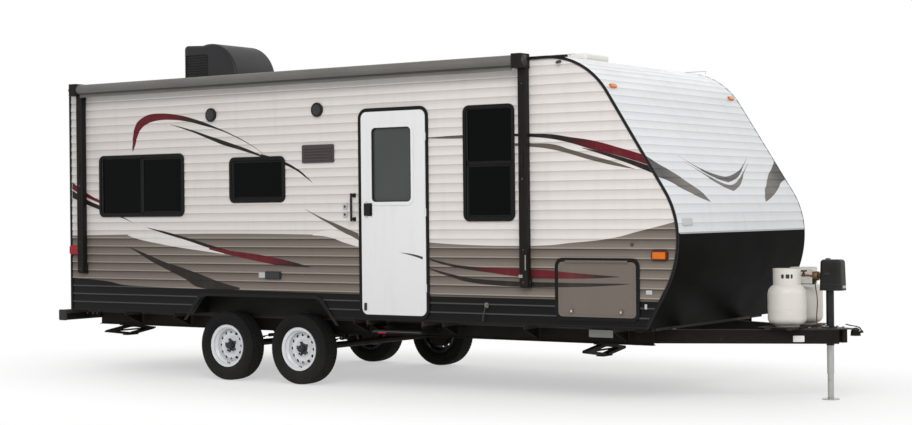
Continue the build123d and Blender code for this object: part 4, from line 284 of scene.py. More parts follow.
def on_side(side, low_x, low_z, high_x, high_z, plane):
    """Centre and size of a rectangle on one side of the body, on a plane off the centreline."""
    centre = at((low_x + high_x) / 2, SIDES[side] * plane, (low_z + high_z) / 2)
    return centre, (high_x - low_x, high_z - low_z)


def outward(side):
    """Direction that one side of the body faces."""
    return (0.0, float(SIDES[side]), 0.0)


def lathe(profile, centre, axis, columns=40):
    """Profile of (distance along the axis, radius) rows turned round an axis: centre + a * axis
    + r * ring(angle)."""
    axis = np.array(axis, float)
    first = np.cross(axis, (0.0, 0.0, 1.0)) if abs(axis[2]) < 0.9 else np.array((1.0, 0.0, 0.0))
    first = first / np.linalg.norm(first)
    second = np.cross(axis, first)
    angle = np.linspace(0, 2 * pi, columns, endpoint=False)
    ring = np.cos(angle)[:, None] * first + np.sin(angle)[:, None] * second
    profile = np.array(profile, float)
    return np.array(centre) + profile[:, 0, None, None] * axis + profile[:, 1, None, None] * ring


def rod(path, radius, columns=10):
    """Round bar: a circle carried along a path of points, square to the run at each point."""
    path = np.array(path, float)
    run = np.gradient(path, axis=0)
    run = run / np.linalg.norm(run, axis=1)[:, None]
    level = np.array((0.0, 0.0, 1.0)) if abs(run[:, 2]).max() < 0.95 else np.array((0.13, 0.99, 0.05))
    first = np.cross(run, level)
    first = first / np.linalg.norm(first, axis=1)[:, None]
    second = np.cross(run, first)
    angle = np.linspace(0, 2 * pi, columns, endpoint=False)
    radius = np.broadcast_to(radius, len(path))[:, None, None]
    return path[:, None] + radius * (np.cos(angle)[None, :, None] * first[:, None]
                                     + np.sin(angle)[None, :, None] * second[:, None])


def bar(path, section, up):
    """Section of (out, up) points carried along a path: path + out * (run x up) + up part * up."""
    path = np.array(path, float)
    run = np.gradient(path, axis=0)
    run = run / np.linalg.norm(run, axis=1)[:, None]
    up = np.broadcast_to(np.array(up, float), path.shape)
    out = np.cross(run, up)
    section = np.array(section, float)
    return path[:, None] + section[None, :, :1] * out[:, None] + section[None, :, 1:] * up[:, None]


def piece(name, grids, material, body="caravan", loop=False, smooth=40.0):
    """One object from grids of points: rows run along a shape and columns run round it. Every cell of four
    neighbouring points is a face, the last column joins the first, and the end rows are closed, or joined
    to each other where loop is set."""
    points = []
    faces = []
    start = 0
    for grid in grids:
        rows, columns = grid.shape[:2]
        index = start + np.arange(rows * columns).reshape(rows, columns)
        beside = np.roll(index, -1, axis=1)
        if loop:
            quads = np.stack([index, beside, np.roll(beside, -1, axis=0), np.roll(index, -1, axis=0)],
                             axis=-1)
        else:
            quads = np.stack([index[:-1], beside[:-1], beside[1:], index[1:]], axis=-1)
            faces += [index[0, ::-1].tolist(), index[-1].tolist()]
        faces += quads.reshape(-1, 4).tolist()
        points.append(grid.reshape(-1, 3))
        start += rows * columns
    mesh = bpy.data.meshes.new(name)
    mesh.from_pydata(np.concatenate(points).tolist(), [], faces)
    shape = bmesh.new()
    shape.from_mesh(mesh)
    bmesh.ops.recalc_face_normals(shape, faces=shape.faces)
    shape.to_mesh(mesh)
    shape.free()
    mesh.shade_smooth()
    mesh.set_sharp_from_angle(angle=radians(smooth))
    mesh.materials.append(material)
    made = bpy.data.objects.new(name, mesh)
    bpy.context.scene.collection.objects.link(made)
    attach(made, body)
    return made


def studs(places, out, radius, tall, columns=8):
    """Low round heads, each a quarter-circle dome, at many places facing one way."""
    turn = np.linspace(0, pi / 2 * 0.9, 4)
    head = [(-tall * 0.5, radius)] + [(tall * sin(t), radius * cos(t)) for t in turn]
    one = lathe(head, (0, 0, 0), out, columns)
    return [one + np.array(place) for place in places]


# ------------------------------------------------------------------ paint of the body
SIDE_STRIPES = [
    # finish, finish of the far end, where it changes, upper edge, lower edge; points are from the rear wall
    # and above the ground
    ("red", "dark", 1.50, [(0.865, 2.17), (0.87, 2.26), (0.89, 2.37), (0.93, 2.44), (1.0, 2.485),
                           (1.1, 2.515),
                           (1.25, 2.52), (1.45, 2.50), (1.7, 2.445), (1.95, 2.365), (2.25, 2.25),
                           (2.52, 2.11)],
     [(0.865, 2.16), (0.89, 2.19), (0.93, 2.29), (0.98, 2.37), (1.06, 2.42), (1.2, 2.45), (1.4, 2.45),
      (1.6, 2.425), (1.8, 2.38), (1.95, 2.345), (2.25, 2.238), (2.52, 2.105)]),
    ("dark", "dark", 0.0, [(1.37, 2.41), (1.6, 2.36), (1.85, 2.29), (2.1, 2.22), (2.35, 2.145), (2.55, 2.07)],
     [(1.37, 2.405), (1.5, 2.37), (1.7, 2.31), (1.9, 2.24), (2.05, 2.19), (2.25, 2.14), (2.47, 2.08),
      (2.55, 2.055)]),
    ("dark", "dark", 0.0, [(2.5, 2.10), (2.8, 2.015), (2.93, 1.955), (3.03, 1.89), (3.12, 1.81)],
     [(2.5, 2.07), (2.8, 1.985), (2.93, 1.93), (3.03, 1.87), (3.12, 1.81)]),
    ("red", "red", 0.0, [(0.03, 1.885), (0.12, 1.83), (0.25, 1.765), (0.42, 1.695)],
     [(0.03, 1.81), (0.12, 1.77), (0.25, 1.72), (0.42, 1.665)]),
    ("dark", "dark", 0.0, [(0.03, 1.80), (0.25, 1.70), (0.42, 1.645), (0.6, 1.58), (0.86, 1.48)],
     [(0.03, 1.725), (0.25, 1.65), (0.42, 1.60), (0.6, 1.555), (0.86, 1.475)]),
    ("film_white", "film_white", 0.0, [(0.79, 1.36), (1.1, 1.37), (1.35, 1.36), (1.56, 1.315), (1.84, 1.245),
                                       (2.05, 1.18)],
     [(0.79, 1.352), (0.96, 1.31), (1.22, 1.27), (1.48, 1.235), (1.72, 1.21), (2.05, 1.175)]),
    ("dark", "dark", 0.0, [(1.05, 1.43), (1.26, 1.395), (1.56, 1.335), (1.84, 1.27), (2.0, 1.235),
                           (2.2, 1.19)],
     [(1.05, 1.425), (1.26, 1.372), (1.56, 1.305), (1.84, 1.235), (2.0, 1.195), (2.2, 1.165)]),
    ("red", "dark", 2.75, [(1.85, 1.235), (2.0, 1.225), (2.13, 1.21), (2.4, 1.185), (2.69, 1.145),
                           (3.09, 1.068)],
     [(1.85, 1.22), (2.0, 1.19), (2.19, 1.155), (2.47, 1.11), (2.76, 1.075), (3.09, 1.065)]),
    ("dark", "dark", 0.0, [(0.78, 1.25), (1.02, 1.18), (1.28, 1.10), (1.54, 1.04), (1.8, 0.97), (1.98, 0.92),
                           (2.23, 0.87)],
     [(0.78, 1.245), (0.89, 1.20), (1.11, 1.10), (1.35, 1.01), (1.54, 0.94), (1.73, 0.86), (2.23, 0.85)]),
    ("stone", "stone", 0.0, [(3.02, 1.59), (3.19, 1.52), (3.36, 1.46), (3.62, 1.37)],
     [(3.02, 1.585), (3.17, 1.51), (3.3, 1.45), (3.47, 1.37), (3.62, 1.31)]),
    ("film_white", "film_white", 0.0, [(3.1, 1.36), (3.3, 1.40), (3.47, 1.37), (3.62, 1.31)],
     [(3.1, 1.352), (3.29, 1.335), (3.45, 1.29), (3.62, 1.25)]),
    ("stone", "stone", 0.0, [(4.38, 2.19), (4.75, 2.20), (5.26, 2.20)],
     [(4.38, 2.18), (4.75, 2.168), (5.26, 2.17)]),
    ("dark", "red", 5.9, [(5.26, 2.195), (5.41, 2.19), (5.6, 2.18), (5.79, 2.15), (5.98, 2.12), (6.25, 2.05),
                          (6.56, 1.96)],
     [(5.26, 2.17), (5.41, 2.16), (5.6, 2.14), (5.79, 2.10), (5.98, 2.045), (6.25, 1.98), (6.56, 1.885)]),
    ("dark", "dark", 0.0, [(5.9, 2.062), (6.16, 2.005), (6.34, 1.955), (6.56, 1.885)],
     [(5.9, 2.055), (6.16, 1.975), (6.34, 1.915), (6.56, 1.83)]),
    ("stone", "stone", 0.0, [(5.26, 2.115), (5.41, 2.11), (5.6, 2.10), (5.79, 2.05), (5.97, 2.0),
                             (6.16, 1.95), (6.38, 1.88)],
     [(5.26, 2.09), (5.41, 2.08), (5.6, 2.055), (5.79, 2.01), (5.97, 1.96), (6.16, 1.915), (6.38, 1.875)]),
    ("dark", "red", 4.95, [(4.39, 1.155), (4.54, 1.125), (4.7, 1.10), (4.85, 1.09), (5.15, 1.08),
                           (5.54, 1.07),
                           (5.82, 1.05), (6.24, 1.025)],
     [(4.39, 1.14), (4.6, 1.09), (4.85, 1.055), (5.0, 1.04), (5.3, 1.01), (5.68, 1.0), (5.96, 1.005),
      (6.24, 1.02)]),
    ("red", "dark", 5.92, [(5.54, 1.07), (5.82, 1.05), (6.24, 1.025)],
     [(5.54, 1.004), (5.82, 1.002), (6.24, 1.02)]),
    ("dark", "dark", 0.0, [(4.39, 1.07), (4.54, 1.04), (4.7, 1.01), (4.85, 0.99), (5.2, 0.975), (5.68, 0.97),
                           (6.33, 0.97)],
     [(4.39, 1.06), (4.6, 1.0), (4.85, 0.95), (5.2, 0.93), (5.68, 0.93), (6.15, 0.95), (6.33, 0.965)]),
]
DOOR_STRIPES = [("dark", "dark", 0.0, [(4.07, 1.205), (4.2, 1.195), (4.32, 1.17)],
                 [(4.07, 1.203), (4.2, 1.178), (4.32, 1.145)]),]
NOSE_STRIPES = [
    # as above, with the distance from the centreline in place of the length
    ("stone", "dark", 0.95, [(0.53, 1.615), (0.63, 1.71), (0.74, 1.765), (0.84, 1.82), (0.95, 1.87),
                             (1.07, 1.915), (1.219, 1.985)],
     [(0.53, 1.61), (0.7, 1.65), (0.83, 1.69), (0.95, 1.73), (1.06, 1.775), (1.219, 1.81)]),
    ("slate", "slate", 0.0, [(-0.01, 1.826), (0.1, 1.835), (0.35, 1.885), (0.5, 1.935), (0.66, 2.0)],
     [(-0.01, 1.775), (0.15, 1.80), (0.3, 1.84), (0.42, 1.89), (0.66, 1.995)]),
    ("stone", "stone", 0.0, [(-0.01, 1.755), (0.1, 1.767), (0.29, 1.825), (0.45, 1.885), (0.62, 1.95)],
     [(-0.01, 1.70), (0.12, 1.73), (0.25, 1.775), (0.42, 1.86), (0.62, 1.945)]),
]
PAINT = {
    # of each sheet: its colour, its painted shade for the groove under a lip, and its painted highlight for
    # the crest over it
    "white": ("#D9D4D1", "#BCB5B0", "#E0DBD8"),
    "grey": ("#786F67", "#3B352F", "#9A9188"),
    "black": ("#0C0C0D", "#050505", "#4B4A4A"),
    "cap": ("#D3D5D7", "#BEC1C4", "#DADCDE"),
    "film_white": "#D9D4D1",
    "hatch": "#6B625B",
    "red": "#5E1820",
    "dark": "#221D1C",
    "slate": "#332F30",
    "stone": "#5C554E",
}
WHITE_TO_GREY = [(0.0, 1.353), (3.5, 1.353), (4.39, 1.293), (4.7, 1.277), (5.1, 1.268), (5.5, 1.271),
                 (5.78, 1.293), (6.06, 1.317), (6.42, 1.389), (6.76, 1.467)]
GREY_TO_BLACK = [(0.0, 0.934), (0.5, 0.905), (0.82, 0.868), (1.5, 0.854), (6.76, 0.833)]


def edge_curve(tree, share, points, low, high):
    """Height of an edge at a share of its length, as a share of the way from low to high."""
    ends = (points[0][0], points[-1][0])
    curve = node(tree, "FloatCurve", {"Value": share})
    line = curve.mapping.curves[0]
    spots = [((x - ends[0]) / (ends[1] - ends[0]), (z - low) / (high - low)) for x, z in points]
    line.points[0].location = spots[0]
    line.points[1].location = spots[-1]
    for spot in spots[1:-1]:
        line.points.new(*spot)
    curve.mapping.update()
    return curve.outputs[0]


def between(tree, place, tall, upper, lower, soft=0.0025):
    """1 inside a stripe and 0 outside: the least distance to its edges, over soft, and none past its ends."""
    heights = [z for _, z in upper + lower]
    low = min(heights) - 0.01
    high = max(heights) + 0.01
    first, last = upper[0][0], upper[-1][0]
    share = ramp(tree, place, first, last, clamp=False)
    level = ramp(tree, tall, low, high, clamp=False)
    over = maths(tree, "SUBTRACT", level, edge_curve(tree, share, lower, low, high))
    under = maths(tree, "SUBTRACT", edge_curve(tree, share, upper, low, high), level)
    least = maths(tree, "MINIMUM", over, under)
    inside = maths(tree, "MULTIPLY", least, (high - low) / soft, clamp=True)
    within = maths(tree, "COMPARE", share, 0.5, 0.5)
    return maths(tree, "MULTIPLY", inside, within)


def blended(tree, share, under, over):
    """Colour over another by a share; each is a hex value or a socket."""
    under = colour(under) if isinstance(under, str) else under
    over = colour(over) if isinstance(over, str) else over
    return node(tree, "Mix", {"Factor": share, 6: under, 7: over}, data_type="RGBA").outputs[2]


def striped(tree, base, place, tall, stripes):
    """Film stripes over a base colour, in order; a stripe may turn from one colour to another on its way."""
    for first, last, turn, upper, lower in stripes:
        inside = between(tree, place, tall, upper, lower)
        film = PAINT[first]
        if first != last:
            change = ramp(tree, place, turn - 0.16, turn + 0.16)
            film = blended(tree, change, PAINT[first], PAINT[last])
        base = blended(tree, inside, base, film)
    return base


def below(tree, place, tall, edge):
    """1 under a long edge and 0 over it."""
    low = min(z for _, z in edge) - 0.05
    high = max(z for _, z in edge) + 0.05
    share = ramp(tree, place, edge[0][0], edge[-1][0])
    level = ramp(tree, tall, low, high, clamp=False)
    under = maths(tree, "SUBTRACT", edge_curve(tree, share, edge, low, high), level)
    return maths(tree, "MULTIPLY", under, (high - low) / 0.003, clamp=True)


def weathered(tree, base, place, tall):
    """Rain streaks and a little dust low down over a colour."""
    streak = own_place(tree, scale=(1.0, 1.0, 0.12))
    run = noise(tree, streak, 9.0, 5.0, 0.6)
    faint = ramp(tree, run, 0.5, 0.85, 0.0, 0.12)
    base = blended(tree, faint, base, "#857E74")
    patch = noise(tree, place, 3.0, 5.0)
    fall = ramp(tree, tall, 0.6, 1.3, 0.1, 0.0)
    low = maths(tree, "MULTIPLY", fall, patch)
    return blended(tree, low, base, "#8C8478")


def sheet_surface(tree, principled, base, place, grain_depth):
    """A sheet's colour, its uneven gloss, metal that is never quite flat, and a fine embossed grain."""
    tree.links.new(base, principled.inputs["Base Color"])
    patch = noise(tree, place, 3.0, 5.0)
    gloss = ramp(tree, patch, 0.3, 0.7, 0.34, 0.46)
    tree.links.new(gloss, principled.inputs["Roughness"])
    wave = noise(tree, place, 2.2, 1.0)
    sway = node(tree, "Bump", {"Height": wave, "Distance": 0.004, "Strength": 0.5})
    fine = noise(tree, place, 170.0, 2.0)
    bump = node(tree, "Bump", {"Height": fine, "Distance": grain_depth, "Strength": 0.5,
                               "Normal": sway.outputs[0]})
    tree.links.new(bump.outputs[0], principled.inputs["Normal"])


def lapped(tree, run, pitch, *sheets):
    """Colours of a lapped wall, from the distance below its top, with painted light: painted shade in the
    groove under the lip of the one above, fading down each lap's upper half, and a painted highlight on each
    lap's lip."""
    turns = maths(tree, "MULTIPLY", run, 1 / pitch)
    share = maths(tree, "FRACT", turns)
    # painted shade in each groove and down the lap, and a painted highlight on each lip
    groove = ramp(tree, share, 0.06, 0.17, 1.0, 0.0, interpolation_type="SMOOTHSTEP")
    shade = ramp(tree, share, 0.08, 0.62, 0.6, 0.0)
    dark = maths(tree, "MAXIMUM", groove, shade)
    painted_crest_highlight = ramp(tree, share, 0.80, 0.90, interpolation_type="SMOOTHSTEP")
    return [blended(tree, painted_crest_highlight, blended(tree, dark, PAINT[name][0], PAINT[name][1]), PAINT[name][2])
            for name in sheets]


def siding_finish():
    """Lapped wall sheet in three colours with its film stripes."""
    # Coil-coated aluminium sheet, rolled into laps: a satin enamel, with painted shade in the groove under
    # each lip and a painted highlight on each lip.
    material, tree, principled = new_material("coil_coated_aluminium", IOR=1.5, Specular_IOR_Level=0.14)
    place, length, _, tall = body_place(tree)
    down = maths(tree, "SUBTRACT", ROOF, tall)
    white, grey, black = lapped(tree, down, LAP, "white", "grey", "black")
    base = blended(tree, below(tree, length, tall, WHITE_TO_GREY), white, grey)
    base = striped(tree, base, length, tall, SIDE_STRIPES)
    base = weathered(tree, base, place, tall)
    base = blended(tree, below(tree, length, tall, GREY_TO_BLACK), base, black)
    sheet_surface(tree, principled, base, place, 0.0003)
    return material


def hatch_finish():
    """Flat hatch skin: the grey of the wall with the same stripes and no laps."""
    # Coil-coated flat aluminium sheet over a board: even satin enamel.
    material, tree, principled = new_material("coil_coated_flat_sheet", IOR=1.5, Specular_IOR_Level=0.22)
    place, length, _, tall = body_place(tree)
    base = striped(tree, PAINT["hatch"], length, tall, SIDE_STRIPES[-3:])
    sheet_surface(tree, principled, weathered(tree, base, place, tall), place, 0.0002)
    return material


def door_finish():
    """Entry door skin: glass-fibre laminate, cooler than the siding and nearly flat."""
    # Gel-coated glass-fibre laminate: a smooth glossy white with a soft drift.
    material, tree, principled = new_material("gel_coated_laminate", IOR=1.5)
    place, length, _, tall = body_place(tree)
    base = striped(tree, "#DFDFE0", length, tall, DOOR_STRIPES)
    sheet_surface(tree, principled, weathered(tree, base, place, tall), place, 0.0001)
    return material


def nose_finish():
    """Front cap sheet: laps that follow the bends, and stripes that meet those of the sides."""
    # Coil-coated aluminium sheet as on the sides, in a cooler white.
    material, tree, principled = new_material("coil_coated_front_sheet", IOR=1.5, Specular_IOR_Level=0.3)
    place, length, out, tall = body_place(tree)
    facing = pi / 2 - FRONT_SLOPE
    brow_x = NOSE_REACH - BROW_RADIUS
    bend_z = ROOF - ROOF_RADIUS
    drop = bend_z + ROOF_RADIUS * sin(facing) - NOSE_HEIGHT - BROW_RADIUS * sin(facing)
    bend_x = brow_x + (BROW_RADIUS - ROOF_RADIUS) * cos(facing) - drop / tan(FRONT_SLOPE)
    slope_top = bend_z + ROOF_RADIUS * sin(facing)
    slope_low = NOSE_HEIGHT + BROW_RADIUS * sin(facing)
    roof_run = ROOF_RADIUS * FRONT_SLOPE
    slope_run = (slope_top - slope_low) / sin(FRONT_SLOPE)
    last = atan2(PANEL_TOP - NOSE_HEIGHT, (BROW_RADIUS ** 2 - (PANEL_TOP - NOSE_HEIGHT) ** 2) ** 0.5)
    whole = roof_run + slope_run + BROW_RADIUS * (facing - last)
    pitch = whole / round(whole / LAP)

    def bend_distance(centre_x, centre_z, radius, start, offset):
        """Distance down a bend: radius times the angle turned from its start, plus the distance before it."""
        rise = maths(tree, "SUBTRACT", tall, centre_z)
        reach = maths(tree, "SUBTRACT", length, centre_x)
        angle = maths(tree, "ARCTAN2", rise, reach)
        turned = maths(tree, "SUBTRACT", start, angle)
        return maths(tree, "MULTIPLY_ADD", turned, radius, offset)

    roof = bend_distance(bend_x, bend_z, ROOF_RADIUS, pi / 2, 0.0)
    brow = bend_distance(brow_x, NOSE_HEIGHT, BROW_RADIUS, facing, roof_run + slope_run)
    slope = ramp(tree, tall, slope_top, slope_low, roof_run, roof_run + slope_run)
    high = maths(tree, "GREATER_THAN", tall, slope_top)
    low = maths(tree, "LESS_THAN", tall, slope_low)
    run = node(tree, "Mix", {"Factor": high, 2: slope, 3: roof}).outputs[0]
    run = node(tree, "Mix", {"Factor": low, 2: run, 3: brow}).outputs[0]
    # painted shade under each lap's lip and a painted highlight on it, as on the sides
    base = lapped(tree, run, pitch, "cap")[0]
    aside = maths(tree, "ABSOLUTE", out)
    base = striped(tree, base, aside, tall, NOSE_STRIPES)
    seam = ramp(tree, aside, 0.009, 0.011, 0.5, 0.0)
    lowest = maths(tree, "LESS_THAN", tall, 1.515)
    seam = maths(tree, "MULTIPLY", seam, lowest)
    base = blended(tree, seam, base, PAINT["cap"][1])
    sheet_surface(tree, principled, weathered(tree, base, place, tall), place, 0.0003)
    return material


# ------------------------------------------------------------------ other finishes
def powder_coat(name="powder_coated_aluminium", low="#121212", high="#1B1B1B"):
    """Window and door frames."""
    # Powder-coated extruded aluminium: a dark satin skin with a faint orange peel.
    return finish(name, low, high, 0.25, 0.0022, 0.00015, roughness=(0.34, 0.46), IOR=1.5,
                  Specular_IOR_Level=0.1)


def chassis_paint():
    """Steel frame, axles, springs and brackets."""
    # Chassis black sprayed on rolled steel: uneven satin, dusted by the road, browned by light rust, and
    # given a painted highlight of pale grey along the upper edges of the beams and on all above them.
    material, tree, principled, base = mottled("chassis_black_steel", "#0D0B0A", "#171311", 0.09, 0.006,
                                               0.0006, roughness=(0.45, 0.65), IOR=1.5,
                                               Specular_IOR_Level=0.1)
    rust = noise(tree, own_place(tree), 14.0, 8.0, 0.7)
    spots = ramp(tree, rust, 0.62, 0.72)
    brown = blended(tree, spots, base, "#2E2019")
    _, _, _, tall = body_place(tree)
    # painted highlight: pale grey over the beams' upper edges and on everything above them
    upper = ramp(tree, tall, BEAM_TOP - 0.004, BEAM_TOP - 0.001, end=0.7)
    painted_top_lit = blended(tree, upper, brown, "#4A4441")
    dusted(tree, principled, painted_top_lit, 0.2, 0.62, 0.12)
    return material


def tinted_glass(name, tint, roughness, mirror):
    """Panes of the side windows and the door."""
    # Tinted toughened glass: near black by day, with clear hard reflections and faint wipe marks.
    material, tree, principled = new_material(name, IOR=1.52, Specular_IOR_Level=mirror)
    place = own_place(tree, scale=(1.0, 1.0, 0.4))
    film = noise(tree, place, 3.0, 4.0)
    base = blended(tree, film, tint[0], tint[1])
    tree.links.new(base, principled.inputs["Base Color"])
    gloss = ramp(tree, film, 0.35, 0.7, roughness[0], roughness[1])
    tree.links.new(gloss, principled.inputs["Roughness"])
    return material


def lens(name, low, high):
    """Lamp lenses."""
    # Moulded acrylic lens: clear coloured plastic over a ribbed reflector.
    material, tree, principled = new_material(name, IOR=1.49, Roughness=0.2, Specular_IOR_Level=0.2)
    place = own_place(tree)
    ribs = node(tree, "TexWave", {"Vector": place, "Scale": 1 / 0.012, "Distortion": 0.0},
                bands_direction="X")
    rows = node(tree, "TexWave", {"Vector": place, "Scale": 1 / 0.012, "Distortion": 0.0},
                bands_direction="Z")
    cells = maths(tree, "MULTIPLY", ribs.outputs["Fac"], rows.outputs["Fac"])
    base = blended(tree, cells, low, high)
    tree.links.new(base, principled.inputs["Base Color"])
    relief(tree, principled, cells, 0.0006)
    return material


def tyre_rubber():
    """Tyres."""
    # Carbon-black tyre rubber: dull, nearly black, greyed by dust on the tread and the shoulders.
    material, tree, principled, base = mottled("tyre_rubber", "#0F0F0F", "#191918", 0.05, 0.0018, 0.0002,
                                               roughness=(0.7, 0.9), IOR=1.5, Specular_IOR_Level=0.15)
    dusted(tree, principled, base, 0.0, 0.5, 0.16, tint="#6E6A63")
    return material


def wheel_paint():
    """Rims."""
    # Stove enamel on pressed steel: glossy white, with painted shade near black round the holes and behind
    # the disc's face, the hub and stud ends as dark, and road film low down.
    material, tree, principled, base = mottled("white_enamel_steel", "#D6D8DC", "#E6E7EA", 0.12, 0.004,
                                               0.0001, roughness=(0.22, 0.36), IOR=1.5)
    _, length, out, tall = body_place(tree)
    aside = maths(tree, "SUBTRACT", length, (AXLES["rear"] + AXLES["front"]) / 2)
    aside = maths(tree, "ABSOLUTE", aside)
    aside = maths(tree, "SUBTRACT", aside, (AXLES["front"] - AXLES["rear"]) / 2)
    rise = maths(tree, "SUBTRACT", tall, HUB_HEIGHT)
    spoke = node(tree, "CombineXYZ", {0: aside, 1: rise})
    radius = node(tree, "VectorMath", {0: spoke.outputs[0]}, operation="LENGTH").outputs["Value"]
    depth = maths(tree, "ABSOLUTE", out)
    behind = maths(tree, "LESS_THAN", depth, HUB_FACE - 0.0015)
    hub = maths(tree, "LESS_THAN", radius, 0.042)
    inner = maths(tree, "LESS_THAN", radius, 0.072)
    nuts = maths(tree, "GREATER_THAN", depth, HUB_FACE + 0.016)
    nuts = maths(tree, "MULTIPLY", inner, nuts)
    # painted shade round each hole: the turn within its twelfth of the circle, and the distance from the
    # circle of holes
    turn = maths(tree, "ARCTAN2", rise, aside)
    turn = maths(tree, "MULTIPLY_ADD", turn, 12 / (2 * pi), 6.5)
    turn = maths(tree, "FRACT", turn)
    turn = maths(tree, "MULTIPLY_ADD", turn, 2 * pi * 0.128 / 12, -pi * 0.128 / 12)
    outer = maths(tree, "SUBTRACT", radius, 0.128)
    spot = node(tree, "CombineXYZ", {0: turn, 1: outer})
    spot = node(tree, "VectorMath", {0: spot.outputs[0]}, operation="LENGTH").outputs["Value"]
    holes = ramp(tree, spot, 0.0138, 0.0152, 1.0, 0.0)
    # near black: painted shade round the holes and behind the disc's face, and the hub and stud ends darkened
    shade_and_dark_hub = holes
    for mask in (behind, hub, nuts):
        shade_and_dark_hub = maths(tree, "MAXIMUM", shade_and_dark_hub, mask)
    dusted(tree, principled, blended(tree, shade_and_dark_hub, base, "#141313"), 0.05, 0.55, 0.25, tint="#8F8B85")
    return material


# ------------------------------------------------------------------ settings a user may change
class CaravanStageSettings(bpy.types.PropertyGroup):
    """Light and floor."""
    floor: bpy.props.FloatVectorProperty(name="Floor", description="Colour of the floor", subtype="COLOR",
                                         size=3, min=0.0, max=1.0, default=colour("#F6F6F5"))
    sky: bpy.props.FloatProperty(name="Sky", description="Strength of the even light from all sides",
                                 default=0.6, min=0.0)
    key: bpy.props.FloatProperty(name="Key lamp", description="Power of the large soft lamp", default=700.0,
                                 min=0.0, subtype="POWER", unit="POWER")
    fill: bpy.props.FloatProperty(name="Fill lamps", description="Power of each lamp on the far sides",
                                  default=190.0, min=0.0, subtype="POWER", unit="POWER")


class CaravanWheelSettings(bpy.types.PropertyGroup):
    """Tyres."""
    radius: bpy.props.FloatProperty(name="Tyre radius", description="Axle to the tread", default=0.322,
                                    min=0.1, subtype="DISTANCE", unit="LENGTH")
    groove: bpy.props.FloatProperty(name="Groove depth", description="Depth of the tread's grooves",
                                    default=0.007, min=0.0, subtype="DISTANCE", unit="LENGTH")
    blocks: bpy.props.IntProperty(name="Tread blocks", description="Blocks round a tyre", default=60, min=8)


class CaravanTrimSettings(bpy.types.PropertyGroup):
    """Fine fittings."""
    screw: bpy.props.FloatProperty(name="Screw head", description="Radius of a moulding screw's head",
                                   default=0.0042, min=0.001, subtype="DISTANCE", unit="LENGTH")
    spacing: bpy.props.FloatProperty(name="Screw spacing", description="Distance between moulding screws",
                                     default=0.15, min=0.02, subtype="DISTANCE", unit="LENGTH")


# ------------------------------------------------------------------ stage
CAMERA = (5.3001, -13.3754, 1.0248)
CAMERA_YAW = radians(34.486)
CAMERA_PITCH = radians(-0.092)
CAMERA_ROLL = radians(0.575)
CAMERA_LENS = 68.84


def area_lamp(name, place, target, size, power):
    """Rectangular soft lamp at a place, facing a target."""
    data = bpy.data.lights.new(name, "AREA")
    data.shape = "RECTANGLE"
    data.size, data.size_y = size
    data.energy = power
    lamp = bpy.data.objects.new(name, data)
    back = np.array(place, float) - np.array(target, float)
    back = back / np.linalg.norm(back)
    side = np.cross((0.0, 0.0, 1.0), back)
    side = side / np.linalg.norm(side)
    turned = np.stack([side, np.cross(back, side), back]).T
    lamp.matrix_world = Matrix([(*row, place[i]) for i, row in enumerate(turned)] + [(0, 0, 0, 1)])
    bpy.context.scene.collection.objects.link(lamp)


